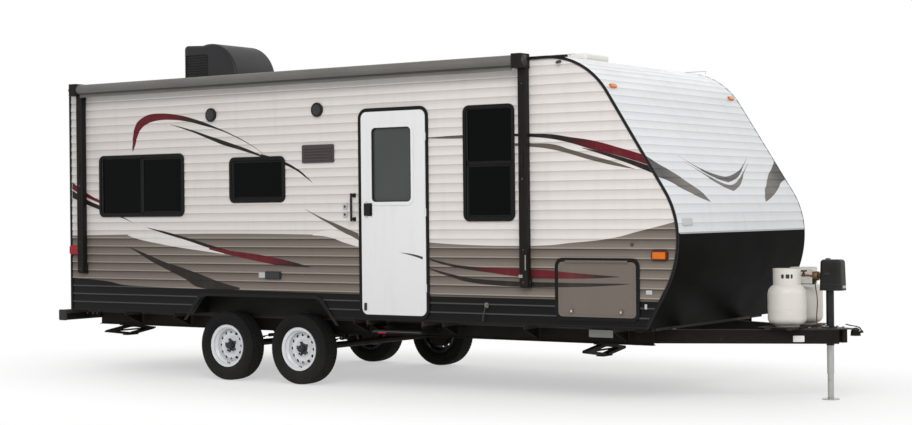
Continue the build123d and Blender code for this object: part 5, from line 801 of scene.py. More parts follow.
class CARAVAN_OT_stage(bpy.types.Operator):
    """Camera, floor, white background and soft studio light"""
    bl_idname = "caravan.stage"
    bl_label = "Stage"

    def execute(self, context):
        settings = context.scene.caravan_stage
        scene = context.scene
        scene.view_settings.view_transform = "Standard"
        camera_data = bpy.data.cameras.new("camera")
        camera_data.lens = CAMERA_LENS
        camera_data.clip_end = 200.0
        camera = bpy.data.objects.new("camera", camera_data)
        ahead = np.array((-sin(CAMERA_YAW) * cos(CAMERA_PITCH), cos(CAMERA_YAW) * cos(CAMERA_PITCH),
                          sin(CAMERA_PITCH)))
        level = np.array((cos(CAMERA_YAW), sin(CAMERA_YAW), 0.0))
        down = np.cross(ahead, level)
        right = cos(CAMERA_ROLL) * level + sin(CAMERA_ROLL) * down
        up = sin(CAMERA_ROLL) * level - cos(CAMERA_ROLL) * down
        axes = np.stack([right, up, -ahead]).T
        camera.matrix_world = Matrix([(*axes[i], CAMERA[i]) for i in range(3)] + [(0, 0, 0, 1)])
        scene.collection.objects.link(camera)
        scene.camera = camera

        world = bpy.data.worlds.new("studio")
        world.use_nodes = True
        tree = world.node_tree
        tree.nodes.clear()
        path = node(tree, "LightPath")
        seen = maths(tree, "ADD", path.outputs["Is Camera Ray"], path.outputs["Is Transmission Ray"],
                     clamp=True)
        mirrored = maths(tree, "MULTIPLY", path.outputs["Is Glossy Ray"], 0.8)
        seen = maths(tree, "ADD", seen, mirrored, clamp=True)
        strength = node(tree, "MapRange", {"Value": seen, "To Min": settings.sky, "To Max": GLOW})
        sky = node(tree, "Background", {"Color": (1.0, 1.0, 1.0), "Strength": strength.outputs[0]})
        node(tree, "OutputWorld", {"Surface": sky.outputs[0]})
        scene.world = world

        # Painted studio floor: matt and pale near the object, running out into the white background.
        material, tree, principled = new_material("painted_floor", Roughness=0.85, Specular_IOR_Level=0.2,
                                                  Base_Color=tuple(settings.floor))
        output = tree.nodes["Material Output"]
        place = own_place(tree, shift=(3.6, 0.0, 0.0), scale=(1.0, 2.0, 1.0))
        reach = node(tree, "VectorMath", {0: place}, operation="LENGTH")
        far = ramp(tree, reach.outputs["Value"], 3.6, 7.0, start=0.5, interpolation_type="SMOOTHSTEP")
        path = node(tree, "LightPath")
        white = node(tree, "Emission", {"Color": (1.0, 1.0, 1.0), "Strength": GLOW})
        seen = maths(tree, "ADD", path.outputs["Is Camera Ray"], path.outputs["Is Glossy Ray"], clamp=True)
        share = maths(tree, "MULTIPLY", far, seen)
        mix = node(tree, "MixShader", {0: share, 1: principled.outputs[0], 2: white.outputs[0]})
        tree.links.new(mix.outputs[0], output.inputs["Surface"])
        reach = 60.0
        mesh = bpy.data.meshes.new("floor")
        ground = height(0)
        mesh.from_pydata([(-reach, -reach, ground), (reach, -reach, ground), (reach, reach, ground),
                          (-reach, reach, ground)], [], [(0, 1, 2, 3)])
        mesh.materials.append(material)
        floor = bpy.data.objects.new("floor", mesh)
        scene.collection.objects.link(floor)

        middle = (-3.9, 0.0, 0.8)
        area_lamp("key", (2.0, -9.5, 7.5), middle, (9.0, 5.0), settings.key)
        area_lamp("front_fill", (8.5, 1.5, 4.5), middle, (6.0, 5.0), settings.fill)
        area_lamp("street_fill", (-5.0, 10.0, 6.5), middle, (9.0, 5.0), settings.fill)
        area_lamp("rear_fill", (-16.0, -1.0, 5.0), middle, (6.0, 5.0), settings.fill)
        return {"FINISHED"}


# ------------------------------------------------------------------ body
class CARAVAN_OT_body(bpy.types.Operator):
    """Siding, front cap, mouldings, roof and walls"""
    bl_idname = "caravan.body"
    bl_label = "Body"

    def execute(self, context):
        settings = context.scene.caravan_trim
        dress(siding_finish(), "siding_white", "siding_grey", "siding_black")
        dress(nose_finish(), "nose_siding")
        # Thermoformed ABS front guard: black with a fine leather grain and a soft shine.
        guard = finish("thermoformed_abs", "#080706", "#0D0C0B", 0.4, 0.0025, 0.0003, roughness=(0.38, 0.5),
                       IOR=1.53, Specular_IOR_Level=0.012)
        dress(guard, "nose_panel")
        # Powder-coated aluminium moulding: satin black with a faint orange peel.
        dress(powder_coat("powder_coated_moulding", "#161615", "#20201F"), "edge_mouldings")
        # Blow-moulded polypropylene arch trim: black and matt.
        flare, tree, principled, base = mottled("moulded_polypropylene", "#0E0E0E", "#161616", 0.2, 0.003,
                                                0.0003, roughness=(0.5, 0.62), IOR=1.49,
                                                Specular_IOR_Level=0.14)
        dusted(tree, principled, base, 0.5, 0.95, 0.08)
        dress(flare, "arch_flares", "wheel_wells")
        # Sheet rubber roof membrane: matt white with grey run-off.
        membrane = finish("rubber_roof_sheet", "#D6D4CF", "#E6E5E1", 0.5, 0.004, 0.0004,
                          roughness=(0.6, 0.75))
        dress(membrane, "roof_membrane")
        # Laminated wall board: white film over foam, seen only where a door stands open, and sealed black at
        # the wheel arches.
        board, tree, principled, base = mottled("laminated_wall_board", "#CFC9BE", "#DAD5CB", 0.3, 0.004,
                                                0.0002, roughness=(0.5, 0.6))
        _, length, _, tall = body_place(tree)
        beside = maths(tree, "COMPARE", length, 2.461, 1.15)
        arch = maths(tree, "LESS_THAN", tall, 1.0)
        arch = maths(tree, "MULTIPLY", arch, beside)
        tree.links.new(blended(tree, arch, base, "#131313"), principled.inputs["Base Color"])
        dress(board, "wall_curb", "wall_street", "wall_rear", "wall_front", "roof_panel")
        # Coated plywood floor deck: dark woven underlay.
        deck = finish("coated_plywood", "#3A3632", "#4A453F", 0.2, 0.002, 0.0004, roughness=(0.7, 0.85))
        dress(deck, "floor_deck")

        heads = []
        for side, sign in SIDES.items():
            face = HALF + 0.004
            rows = [(x, ROOF - 0.012) for x in np.arange(0.25, 5.9, settings.spacing)]
            rows += [(x, WALL_EDGE + 0.006) for x in np.arange(0.25, 6.1, settings.spacing)]
            rows += [(0.012, z) for z in np.arange(0.7, 2.75, settings.spacing)]
            rows += front_places(0.012, settings.spacing)
            rows = [(x, z) for x, z in rows
                    if not (1.5 < x < 3.45 and z < 0.9) and not (3.6 < x < 4.42 and z < 1)]
            heads += studs([at(x, sign * face, z) for x, z in rows], outward(side), settings.screw, 0.002)
        piece("moulding_screws", heads, screw_finish())

        # Soft vinyl insert pressed into the front moulding: dark grey and dull.
        vinyl = finish("vinyl_insert", "#232324", "#2F2F30", 0.1, 0.002, 0.0001, roughness=(0.5, 0.6),
                       IOR=1.5)
        strips = []
        for side, sign in SIDES.items():
            line = np.array(front_places(0.020, 0.04))
            path = np.stack([along(line[:, 0]), np.full(len(line), sign * (HALF + 0.004)),
                             height(line[:, 1])], axis=1)
            half = 0.0026
            strips.append(bar(path, [(-half, -0.001), (half, -0.001), (half, 0.001), (0.6 * half, 0.0022),
                                     (-0.6 * half, 0.0022), (-half, 0.001)], outward(side)))
        piece("front_moulding_insert", strips, vinyl)

        # Anodised aluminium strip over the joint of cap and guard: pale satin metal.
        strip = finish("anodised_joint_strip", "#9EA0A2", "#B4B6B8", 0.05, 0.001, 0.0001,
                       roughness=(0.3, 0.42), Metallic=1.0)
        joint = slab(at(NOSE_REACH - 0.0022, 0, PANEL_TOP), (2.40, 0.014, 0.0042), 0.003, 0.0015, (1, 0, 0))
        port = slab(at(6.7495, -1.05, 1.456), (0.168, 0.057, 0.012), 0.010, 0.004, (0.9836, 0, 0.1805),
                    up=(-0.1805, 0, 0.9836))
        piece("front_joint_strip", [joint], strip)
        plastic = finish("moulded_white_port", "#ACAEB0", "#BBBDBF", 0.1, 0.002, 0.0001, roughness=(0.4, 0.5),
                         IOR=1.49)
        piece("front_port", [port], plastic)

        # Rubber apron under the front guard's lower edge, down to the beams: black and matt.
        apron = finish("apron_rubber", "#0C0C0C", "#151514", 0.1, 0.002, 0.0002, roughness=(0.6, 0.75),
                       IOR=1.5, Specular_IOR_Level=0.15)
        piece("front_apron", [slab(at(6.352, 0, 0.5955), (2.36, 0.037, 0.008), 0.003, 0.002, (1, 0, 0))],
              apron)

        # Butyl sealant and lap joints on the roof sheet: grey-white, soft and matt.
        sealant = finish("lap_sealant", "#BDBBB4", "#CFCDC7", 0.05, 0.004, 0.0006, roughness=(0.6, 0.7),
                         IOR=1.5)
        laps = [slab(at(x, 0, ROOF), (0.05, 2.30, 0.0022), 0.004, 0.001, (0, 0, 1), up=(0, 1, 0))
                for x in (1.86, 3.95)]
        laps += [slab(at(2.95, sign * 1.185, ROOF), (5.75, 0.030, 0.004), 0.004, 0.0018, (0, 0, 1),
                      up=(0, 1, 0)) for sign in SIDES.values()]
        piece("roof_seams", laps, sealant)
        return {"FINISHED"}


def front_places(inset, spacing):
    """Points down the front edge of the sides, inset from the outline, at even steps: the roof bend, the
    slope, the brow and the chin bend, each a straight or circular run."""
    facing = pi / 2 - FRONT_SLOPE
    brow = np.array((NOSE_REACH - BROW_RADIUS, NOSE_HEIGHT))
    chin = np.array((NOSE_REACH - CHIN_RADIUS, NOSE_HEIGHT))
    drop = ROOF - ROOF_RADIUS + ROOF_RADIUS * sin(facing) - NOSE_HEIGHT - BROW_RADIUS * sin(facing)
    bend = np.array((brow[0] + (BROW_RADIUS - ROOF_RADIUS) * cos(facing) - drop / tan(FRONT_SLOPE),
                     ROOF - ROOF_RADIUS))
    runs = []
    for centre, radius, first, last in ((bend, ROOF_RADIUS, pi / 2, facing), (brow, BROW_RADIUS, facing, 0.0),
                                        (chin, CHIN_RADIUS, 0.0, radians(-30.0))):
        angle = np.linspace(first, last, 40)[:, None]
        runs.append(centre + (radius - inset) * np.concatenate([np.cos(angle), np.sin(angle)], axis=1))
    line = np.concatenate(runs)
    along_line = np.concatenate([[0.0], np.cumsum(np.linalg.norm(np.diff(line, axis=0), axis=1))])
    steps = np.arange(0.02, along_line[-1], spacing)
    return [tuple(spot) for spot in np.stack([np.interp(steps, along_line, line[:, i]) for i in (0, 1)],
                                             axis=1)]


def screw_finish():
    """Small black screw heads."""
    # Black oxide screw heads: dark with a dull metal shine.
    return finish("black_oxide_steel", "#1C1C1D", "#2A2A2B", 0.01, 0.001, 0.0001, roughness=(0.3, 0.45),
                  Metallic=0.6)


# ------------------------------------------------------------------ windows, door and hatches
class CARAVAN_OT_windows(bpy.types.Operator):
    """Window frames and panes"""
    bl_idname = "caravan.windows"
    bl_label = "Windows"

    def execute(self, context):
        coat = powder_coat()
        dress(coat, "window_frames", "door_frames")
        dress(tinted_glass("tinted_toughened_glass", ("#030404", "#080909"), (0.02, 0.06), 0.05),
              "window_glass")
        # Rubber glazing bead: dull black.
        bead = finish("glazing_rubber", "#0E0E0E", "#171717", 0.05, 0.001, 0.0001, roughness=(0.6, 0.75),
                      IOR=1.5)
        bead_section = [(0.0, 0.0002), (0.0, 0.006), (0.002, 0.0085), (0.005, 0.006), (0.0065, 0.0002)]
        sash_section = [(0.007, 0.0002), (0.007, 0.004), (0.009, 0.0052), (0.020, 0.0052), (0.022, 0.004),
                        (0.022, 0.0002)]
        beads = []
        sashes = []
        slots = []
        for side, rows in WINDOWS.items():
            for row in rows:
                for count, pane in enumerate(panes(row)):
                    centre, size = on_side(side, *pane, GLASS_FACE)
                    beads.append(trim(centre, size, 0.028, bead_section, outward(side)))
                    if count or row[4] == "none":
                        sashes.append(trim(centre, size, 0.026, sash_section, outward(side)))
                for share in (0.22, 0.78):
                    x = row[0] + share * (row[2] - row[0])
                    slots.append(slab(at(x, SIDES[side] * FRAME_FACE, row[1] + 0.008),
                                      (0.026, 0.005, 0.0016), 0.0024, 0.0008, outward(side)))
        piece("window_beads", beads, bead, loop=True)
        piece("window_sashes", sashes, coat, loop=True, smooth=30.0)
        piece("window_drains", slots, bead)
        return {"FINISHED"}


def panes(row):
    """Rectangles of a window's panes: inside its frame, and to each side of its middle bar."""
    low_x, low_z, high_x, high_z = row[0] + SASH, row[1] + SASH, row[2] - SASH, row[3] - SASH
    middle_x, middle_z = (low_x + high_x) / 2, (low_z + high_z) / 2
    if row[4] == "upright":
        return [(low_x, low_z, middle_x - MULLION / 2, high_z),
                (middle_x + MULLION / 2, low_z, high_x, high_z)]
    if row[4] == "level":
        return [(low_x, middle_z + MULLION / 2, high_x, high_z),
                (low_x, low_z, high_x, middle_z - MULLION / 2)]
    return [(low_x, low_z, high_x, high_z)]


class CARAVAN_OT_entry_door(bpy.types.Operator):
    """Entry door leaf, pane and lock"""
    bl_idname = "caravan.entry_door"
    bl_label = "Entry door"

    def execute(self, context):
        dress(door_finish(), "entry_door")
        dress(tinted_glass("obscured_door_glass", ("#383C3B", "#444947"), (0.12, 0.2), 0.3), "door_glass")
        lock = powder_coat("cast_lock_body", "#1B1B1C", "#262627")
        dress(lock, "door_lock")
        out = outward("curb")
        # Extruded rubber seal: dull black.
        rubber = finish("door_seal_rubber", "#0F0F0F", "#181818", 0.05, 0.001, 0.0001, roughness=(0.6, 0.75),
                        IOR=1.5)
        centre, size = on_side("curb", *DOOR, FRAME_FACE)
        seal = trim(centre, size, 0.090, SEAL_SECTION, out)
        piece("door_seal", [seal], rubber, loop=True)
        centre, size = on_side("curb", *DOOR_PANE, FRAME_FACE)
        bead = trim(centre, size, 0.040, [(0.0004, -0.015), (0.0004, 0.004), (0.003, 0.0065), (0.007, 0.003),
                                          (0.008, -0.015)], out)
        piece("door_pane_bead", [bead], rubber, body="entry_door", loop=True)

        hinge = powder_coat("painted_hinge", "#1E1E1F", "#2A2A2B")
        plates = []
        screws = []
        for z in HINGE_HEIGHTS:
            plates.append(slab(at(HINGE_PLACE, -FRAME_FACE, z), (0.017, 0.070, 0.0025), 0.003, 0.001, out))
            screws += [at(HINGE_PLACE, -FRAME_FACE - 0.0025, z + shift) for shift in (-0.024, 0.0, 0.024)]
        piece("door_hinge_plates", plates, hinge)
        piece("door_hinge_screws", studs(screws, out, 0.0032, 0.0014), screw_finish())

        # Die-cast paddle handle over its pocket, and two key cylinders.
        face = -FRAME_FACE - 0.008
        middle = ((LOCK[0] + LOCK[2]) / 2, (LOCK[1] + LOCK[3]) / 2)
        paddle = slab(at(middle[0] - 0.022, face, middle[1] - 0.004), (0.036, 0.086, 0.014), 0.010, 0.006,
                      out)
        rim = slab(at(middle[0] - 0.002, face, middle[1]), (0.092, 0.114, 0.003), 0.012, 0.0015, out)
        piece("door_paddle", [paddle, rim], lock, body="entry_door")
        # Chromed zinc key cylinders: a bright hard shine.
        chrome = finish("chromed_zinc", "#B9BBBD", "#CBCDCF", 0.02, 0.001, 0.00005, roughness=(0.1, 0.2),
                        Metallic=1.0)
        keys = [lathe([(0.0, 0.0095), (0.004, 0.0095), (0.0052, 0.008), (0.0052, 0.0035), (0.0035, 0.003)],
                      at(middle[0] - 0.022, face, z), out, 20)
                for z in (middle[1] - 0.062, middle[1] + 0.060)]
        piece("door_keys", keys, chrome, body="entry_door")
        # Rubber stop on the lower corner of the leaf.
        stop = slab(at(3.702, -FRAME_FACE, 0.728), (0.026, 0.066, 0.010), 0.006, 0.004, out)
        piece("door_stop", [stop], rubber, body="entry_door")
        return {"FINISHED"}


class CARAVAN_OT_hatches(bpy.types.Operator):
    """Baggage hatches"""
    bl_idname = "caravan.hatches"
    bl_label = "Hatches"

    def execute(self, context):
        dress(hatch_finish(), "hatch_curb", "hatch_street")
        # Extruded rubber seal: dull black.
        rubber = finish("hatch_seal_rubber", "#0F0F0F", "#181818", 0.05, 0.001, 0.0001, roughness=(0.6, 0.75),
                        IOR=1.5)
        # Chromed zinc key cylinders: a bright hard shine.
        chrome = finish("chromed_key_zinc", "#B9BBBD", "#CBCDCF", 0.02, 0.001, 0.00005, roughness=(0.1, 0.2),
                        Metallic=1.0)
        seals = []
        screws = []
        for side, sign in SIDES.items():
            centre, size = on_side(side, *HATCH, FRAME_FACE)
            seals.append(trim(centre, size, 0.070, SEAL_SECTION, outward(side)))
            middle = (HATCH[0] + HATCH[2]) / 2
            wide = HATCH[2] - HATCH[0] - 0.064
            cylinder = [(0.0, 0.0085), (0.0035, 0.0085), (0.0045, 0.007), (0.0045, 0.003), (0.003, 0.0026)]
            keys = [lathe(cylinder, at(middle + share * wide, sign * (FRAME_FACE + 0.014), HATCH[1] + 0.077),
                          outward(side), 18) for share in (-0.32, 0.32)]
            piece(f"hatch_keys_{side}", keys, chrome, body=f"hatch_{side}")
            fold = [(0.050, 0.0), (0.050, 0.0016), (0.052, 0.0022), (0.056, 0.0022), (0.058, 0.0016),
                    (0.058, 0.0)]
            border = trim(centre, size, 0.070, fold, outward(side))
            piece(f"hatch_border_{side}", [border], NODES[f"hatch_{side}"].data.materials[0],
                  body=f"hatch_{side}", loop=True)
            line = np.linspace(HATCH[0] + 0.11, HATCH[2] - 0.11, 9)
            screws += studs([at(x, sign * FRAME_FACE, HATCH[3] - 0.009) for x in line], outward(side), 0.003,
                            0.0014)
        piece("hatch_seals", seals, rubber, loop=True)
        piece("hatch_hinge_screws", screws, screw_finish())
        return {"FINISHED"}


# ------------------------------------------------------------------ wheels and frame
def tyre_grid(place, side, settings):
    """One tyre: a closed cross-section turned round the axle. The radius of the crown drops by the groove's
    depth in four channels and, outside them, in slots that repeat with the blocks round the tyre."""
    radius = settings.radius
    half = 0.071
    bead = 0.178
    wall = np.array([(half - 0.022, bead), (half, bead), (half + 0.001, 0.199), (0.083, 0.212),
                     (0.094, 0.229), (0.0985, 0.250), (0.0985, 0.268), (0.0965, 0.271), (0.0965, 0.285),
                     (0.0955, 0.289), (0.092, 0.301), (0.086, 0.311)])
    crown = np.linspace(0.080, -0.080, 81)
    rise = radius - 0.0045 * (np.abs(crown) / 0.08) ** 3
    inner = np.array([(-half + 0.022, bead + 0.006), (-half + 0.006, radius - 0.06),
                      (-half + 0.012, radius - 0.014), (half - 0.012, radius - 0.014),
                      (half - 0.006, radius - 0.06), (half - 0.022, bead + 0.006)])
    outline = np.concatenate([wall, np.stack([crown, rise], axis=1), wall[::-1] * (-1, 1), inner])
    columns = settings.blocks * 8
    angle = np.linspace(0, 2 * pi, columns, endpoint=False)
    across = outline[:, 0][:, None]
    out = np.repeat(outline[:, 1][:, None], columns, axis=1)
    on_crown = (outline[:, 1] > 0.312)[:, None]
    channel = np.zeros_like(across)
    for centre in (-0.048, -0.017, 0.017, 0.048):
        channel = np.maximum(channel, np.clip(1.6 - np.abs(across - centre) / 0.0035, 0, 1))
    lean = np.where(np.abs(across) > 0.048, 14.0, 6.0) * across * np.sign(across)
    slot = np.abs(((angle[None, :] * settings.blocks / (2 * pi) + lean) % 1.0) - 0.5)
    slots = np.clip((slot - 0.40) / 0.04, 0, 1) * (np.abs(np.abs(across) - 0.0325) > 0.004)
    out = out - on_crown * settings.groove * np.maximum(channel, 0.8 * slots)
    sign = SIDES[side]
    x = along(place) + out * np.cos(angle)
    z = height(HUB_HEIGHT) + out * np.sin(angle)
    y = np.broadcast_to(sign * (HUB_FACE + across), x.shape)
    return np.stack([x, y, z], axis=-1)


class CARAVAN_OT_wheels(bpy.types.Operator):
    """Tyres with their tread, rims, valves and hub caps"""
    bl_idname = "caravan.wheels"
    bl_label = "Wheels"

    def execute(self, context):
        settings = context.scene.caravan_wheels
        rubber = tyre_rubber()
        enamel = wheel_paint()
        # Zinc-plated wheel nuts and grease cap, blackened by brake dust: a dull dark shine.
        zinc = finish("zinc_plate", "#2A2B2D", "#45464A", 0.02, 0.001, 0.0001, roughness=(0.35, 0.5),
                      Metallic=0.8)
        for end, place in AXLES.items():
            for side, sign in SIDES.items():
                body = f"wheel_{end}_{side}"
                tyre = piece(f"tyre_tread_{end}_{side}", [tyre_grid(place, side, settings)], rubber,
                             body=body, loop=True, smooth=30.0)
                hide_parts(f"tyre_{end}_{side}")
                dress(enamel, f"rim_{end}_{side}")
                hub = at(place, sign * HUB_FACE, HUB_HEIGHT)
                cap = lathe([(0.055, 0.0295), (0.0605, 0.0300), (0.066, 0.027), (0.0685, 0.020),
                             (0.0695, 0.008)], hub, (0, sign, 0), 24)
                turn = np.arange(5) * 2 * pi / 5 + pi / 2
                nuts = [lathe([(0.029, 0.0098), (0.0345, 0.0098), (0.037, 0.007), (0.0395, 0.0055)],
                              (hub[0] + 0.057 * cos(t), hub[1], hub[2] + 0.057 * sin(t)), (0, sign, 0), 6)
                        for t in turn]
                piece(f"hub_cap_{end}_{side}", [cap] + nuts, zinc, body=body, smooth=30.0)
                foot = (hub[0] + 0.008, sign * (HUB_FACE + 0.052), hub[2] - 0.163)
                stem = lathe([(0.0, 0.0055), (0.006, 0.0055), (0.008, 0.0036), (0.026, 0.0034),
                              (0.0265, 0.0042), (0.036, 0.0042),
                              (0.0375, 0.003)], foot, (0.0, sign * 0.94, 0.34), 12)
                piece(f"valve_{end}_{side}", [stem], rubber, body=body, smooth=30.0)
        return {"FINISHED"}


class CARAVAN_OT_chassis(bpy.types.Operator):
    """Frame, axles, springs, bumper, stabilizer jacks and entry step"""
    bl_idname = "caravan.chassis"
    bl_label = "Chassis"

    def execute(self, context):
        dress(chassis_paint(), "frame_rails", "axles", "leaf_springs", "frame_brackets", "rear_bumper",
              "stabilizer_jacks", "step_arms", "step_links", "step_tread", "drawbar", "coupler",
              "bottle_rack")
        # Zinc-plated bolts: grey metal, dulled by the road.
        bolt = finish("dull_zinc_bolt", "#5A5B5C", "#77787A", 0.01, 0.001, 0.0002, roughness=(0.4, 0.55),
                      Metallic=0.9)
        clamps = []
        heads = []
        hub_z = height(HUB_HEIGHT)
        reach, rod_radius = 0.0352, 0.0045
        turn = np.linspace(pi, 2 * pi, 13)
        for place in AXLES.values():
            for sign in SIDES.values():
                for shift in (-0.0285, 0.0285):
                    y = sign * SPRING_OUT + shift
                    across = np.concatenate([[-reach, -reach], reach * np.cos(turn), [reach, reach]])
                    tall = np.concatenate([[0.084, 0.03], reach * np.sin(turn), [0.03, 0.084]])
                    path = np.stack([along(place) + across, np.full(len(across), y), hub_z + tall], axis=1)
                    clamps.append(rod(path, rod_radius))
                    heads += [lathe([(0.0, 0.009), (0.008, 0.009), (0.0085, 0.007)],
                                    (along(place) + x, y, hub_z + 0.0785), (0, 0, 1),
                                    6) for x in (-reach, reach)]
                clamps.append(slab((along(place), sign * SPRING_OUT, hub_z + 0.0705), (0.096, 0.076, 0.008),
                                   0.006, 0.002, (0, 0, 1), up=(0, 1, 0)))
        for sign in SIDES.values():
            for place in (1.711, 3.211, 2.461):
                low = 0.445 if place == 2.461 else 0.423
                heads.append(lathe([(0.0, 0.014), (0.010, 0.014), (0.012, 0.010)],
                                   at(place, sign * (SPRING_OUT + 0.034), low), (0, sign, 0), 6))
            for place in (-0.064, 0.02, 0.08):
                heads.append(lathe([(0.0, 0.010), (0.007, 0.010), (0.009, 0.007)],
                                   at(place, sign * 0.940, 0.564), (0, sign, 0), 6))
        piece("axle_clamps", clamps, chassis_paint())
        piece("frame_bolts", heads, bolt, smooth=30.0)

        # Blank plate riveted to the frame rail: etched aluminium gone dull.
        etched = finish("etched_aluminium_plate", "#8A8A8A", "#9C9C9B", 0.03, 0.002, 0.0001,
                        roughness=(0.45, 0.6), Metallic=0.4)
        piece("rail_plate", [slab(at(5.905, -0.947, 0.543), (0.226, 0.062, 0.0016), 0.006, 0.0006,
                                  outward("curb"))], etched)

        # Moulded rubber end caps of the square bumper: near black and matt.
        rubber = finish("moulded_rubber_cap", "#141414", "#1E1E1E", 0.05, 0.002, 0.0002,
                        roughness=(0.6, 0.75), IOR=1.5)
        caps = [slab(at(-0.115, sign * (HALF - 0.002), 0.557), (0.108, 0.108, 0.014), 0.014, 0.005,
                     (0, sign, 0)) for sign in SIDES.values()]
        piece("bumper_caps", caps, rubber)

        # Step: bonded grit strips on the tread, a worn edge and a red reflector.
        grit = finish("bonded_grit", "#2B2A29", "#403E3C", 0.004, 0.0012, 0.0009, roughness=(0.8, 0.95),
                      IOR=1.5)
        edge = finish("worn_step_edge", "#4A4A4A", "#626262", 0.03, 0.001, 0.0001, roughness=(0.3, 0.45),
                      Metallic=1.0)
        rows = [slab(at(STEP_PLACE, y, 0.5196), (0.500, 0.010, 0.0012), 0.002, 0.0006, (0, 0, 1),
                     up=(0, 1, 0)) for y in (-1.182, -1.146, -1.098, -1.050, -1.002)]
        piece("step_grip", rows, grit, body="step_tread")
        piece("step_edge", [slab(at(STEP_PLACE, -STEP_EDGE, 0.5130), (0.520, 0.007, 0.002), 0.002, 0.0008,
                                 (0, -1, 0))], edge, body="step_tread")
        reflector = slab(at(3.85, -STEP_EDGE, 0.5025), (0.085, 0.0115, 0.003), 0.002, 0.001, (0, -1, 0))
        piece("step_reflector", [reflector], lens("step_reflector_acrylic", "#A5122A", "#D42A45"),
              body="step_tread")
        return {"FINISHED"}


# ------------------------------------------------------------------ drawbar fittings
# routes of the gas hoses, metres
BOTTLE_X = -0.515
REGULATOR_X = -0.350
HOSE_HEIGHT = 0.456
HOSE = 0.009
PIGTAIL = [(0.023, 0.13016, 0.0), (0.052, 0.07993, 0.0), (0.079, 0.053, 0.006), (0.105, 0.038, 0.004),
           (0.122, 0.033, 0.0), (0.148, 0.033, 0.0)]
SUPPLY = [(0.010, 0.0, 0.402), (0.010, 0.0, 0.366), (0.022, -0.003, 0.311), (0.030, -0.006, 0.251),
          (0.026, -0.006, 0.191), (0.020, -0.004, 0.131), (0.020, -0.004, 0.060)]


def hose_curve(name, points, material):
    """Round hose along one smooth curve whose control points are the route's points."""
    data = bpy.data.curves.new(name, "CURVE")
    data.dimensions = "3D"
    data.bevel_depth = HOSE / 2
    data.bevel_resolution = 6
    data.use_fill_caps = True
    spline = data.splines.new("NURBS")
    spline.points.add(len(points) - 1)
    for spot, point in zip(spline.points, points):
        spot.co = (*point, 1.0)
    spline.order_u = 3
    spline.use_endpoint_u = True
    spline.resolution_u = 16
    data.materials.append(material)
    made = bpy.data.objects.new(name, data)
    bpy.context.scene.collection.objects.link(made)
    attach(made, "caravan")
    return made


class CARAVAN_OT_drawbar(bpy.types.Operator):
    """Tongue jack, gas bottles, regulator and hoses"""
    bl_idname = "caravan.drawbar"
    bl_label = "Drawbar"

    def execute(self, context):
        # Powder-coated steel bottle: warm white, orange peel and rubbed marks round its middle.
        bottle, tree, principled, base = mottled("powder_coated_bottle", "#CBC7C0", "#D8D4CD", 0.15, 0.003,
                                                 0.0002, roughness=(0.35, 0.5), IOR=1.5)
        dusted(tree, principled, base, 0.55, 0.8, 0.3)
        dress(bottle, "gas_bottles")
        # Cast brass and zinc valve parts: dull brown-yellow metal, darkened by handling.
        dress(finish("cast_brass", "#5B4832", "#7C6546", 0.02, 0.001, 0.0002, roughness=(0.4, 0.55),
                     Metallic=1.0), "gas_fittings")
        # Moulded ABS cover over the jack's motor: near black with a soft shine.
        dress(finish("moulded_abs_cover", "#121110", "#1A1917", 0.1, 0.0018, 0.0002, roughness=(0.4, 0.52),
                     IOR=1.53, Specular_IOR_Level=0.25), "tongue_jack")
        # Hot-dip zinc on the jack's leg: grey with a spangle.
        dress(finish("hot_dip_zinc", "#A09F9C", "#BDBCB8", 0.015, 0.002, 0.0001, roughness=(0.35, 0.5),
                     Metallic=0.9), "jack_leg")
        drawbar_fittings(bottle)
        # Extruded rubber gas hose: brown-red cover with a dull skin.
        rubber = finish("extruded_hose_rubber", "#5A2A22", "#6E382D", 0.03, 0.001, 0.0001,
                        roughness=(0.5, 0.65))
        routes = {
            "gas_hose_curb": [(BOTTLE_X + x, -y, HOSE_HEIGHT + z) for x, y, z in PIGTAIL],
            "gas_hose_street": [(BOTTLE_X + x, y, HOSE_HEIGHT + z) for x, y, z in PIGTAIL],
            "gas_hose_supply": [(REGULATOR_X + x, y, z) for x, y, z in SUPPLY],
        }
        for name, points in routes.items():
            made = hose_curve(name + "_line", points, rubber)
            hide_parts(name)
        return {"FINISHED"}


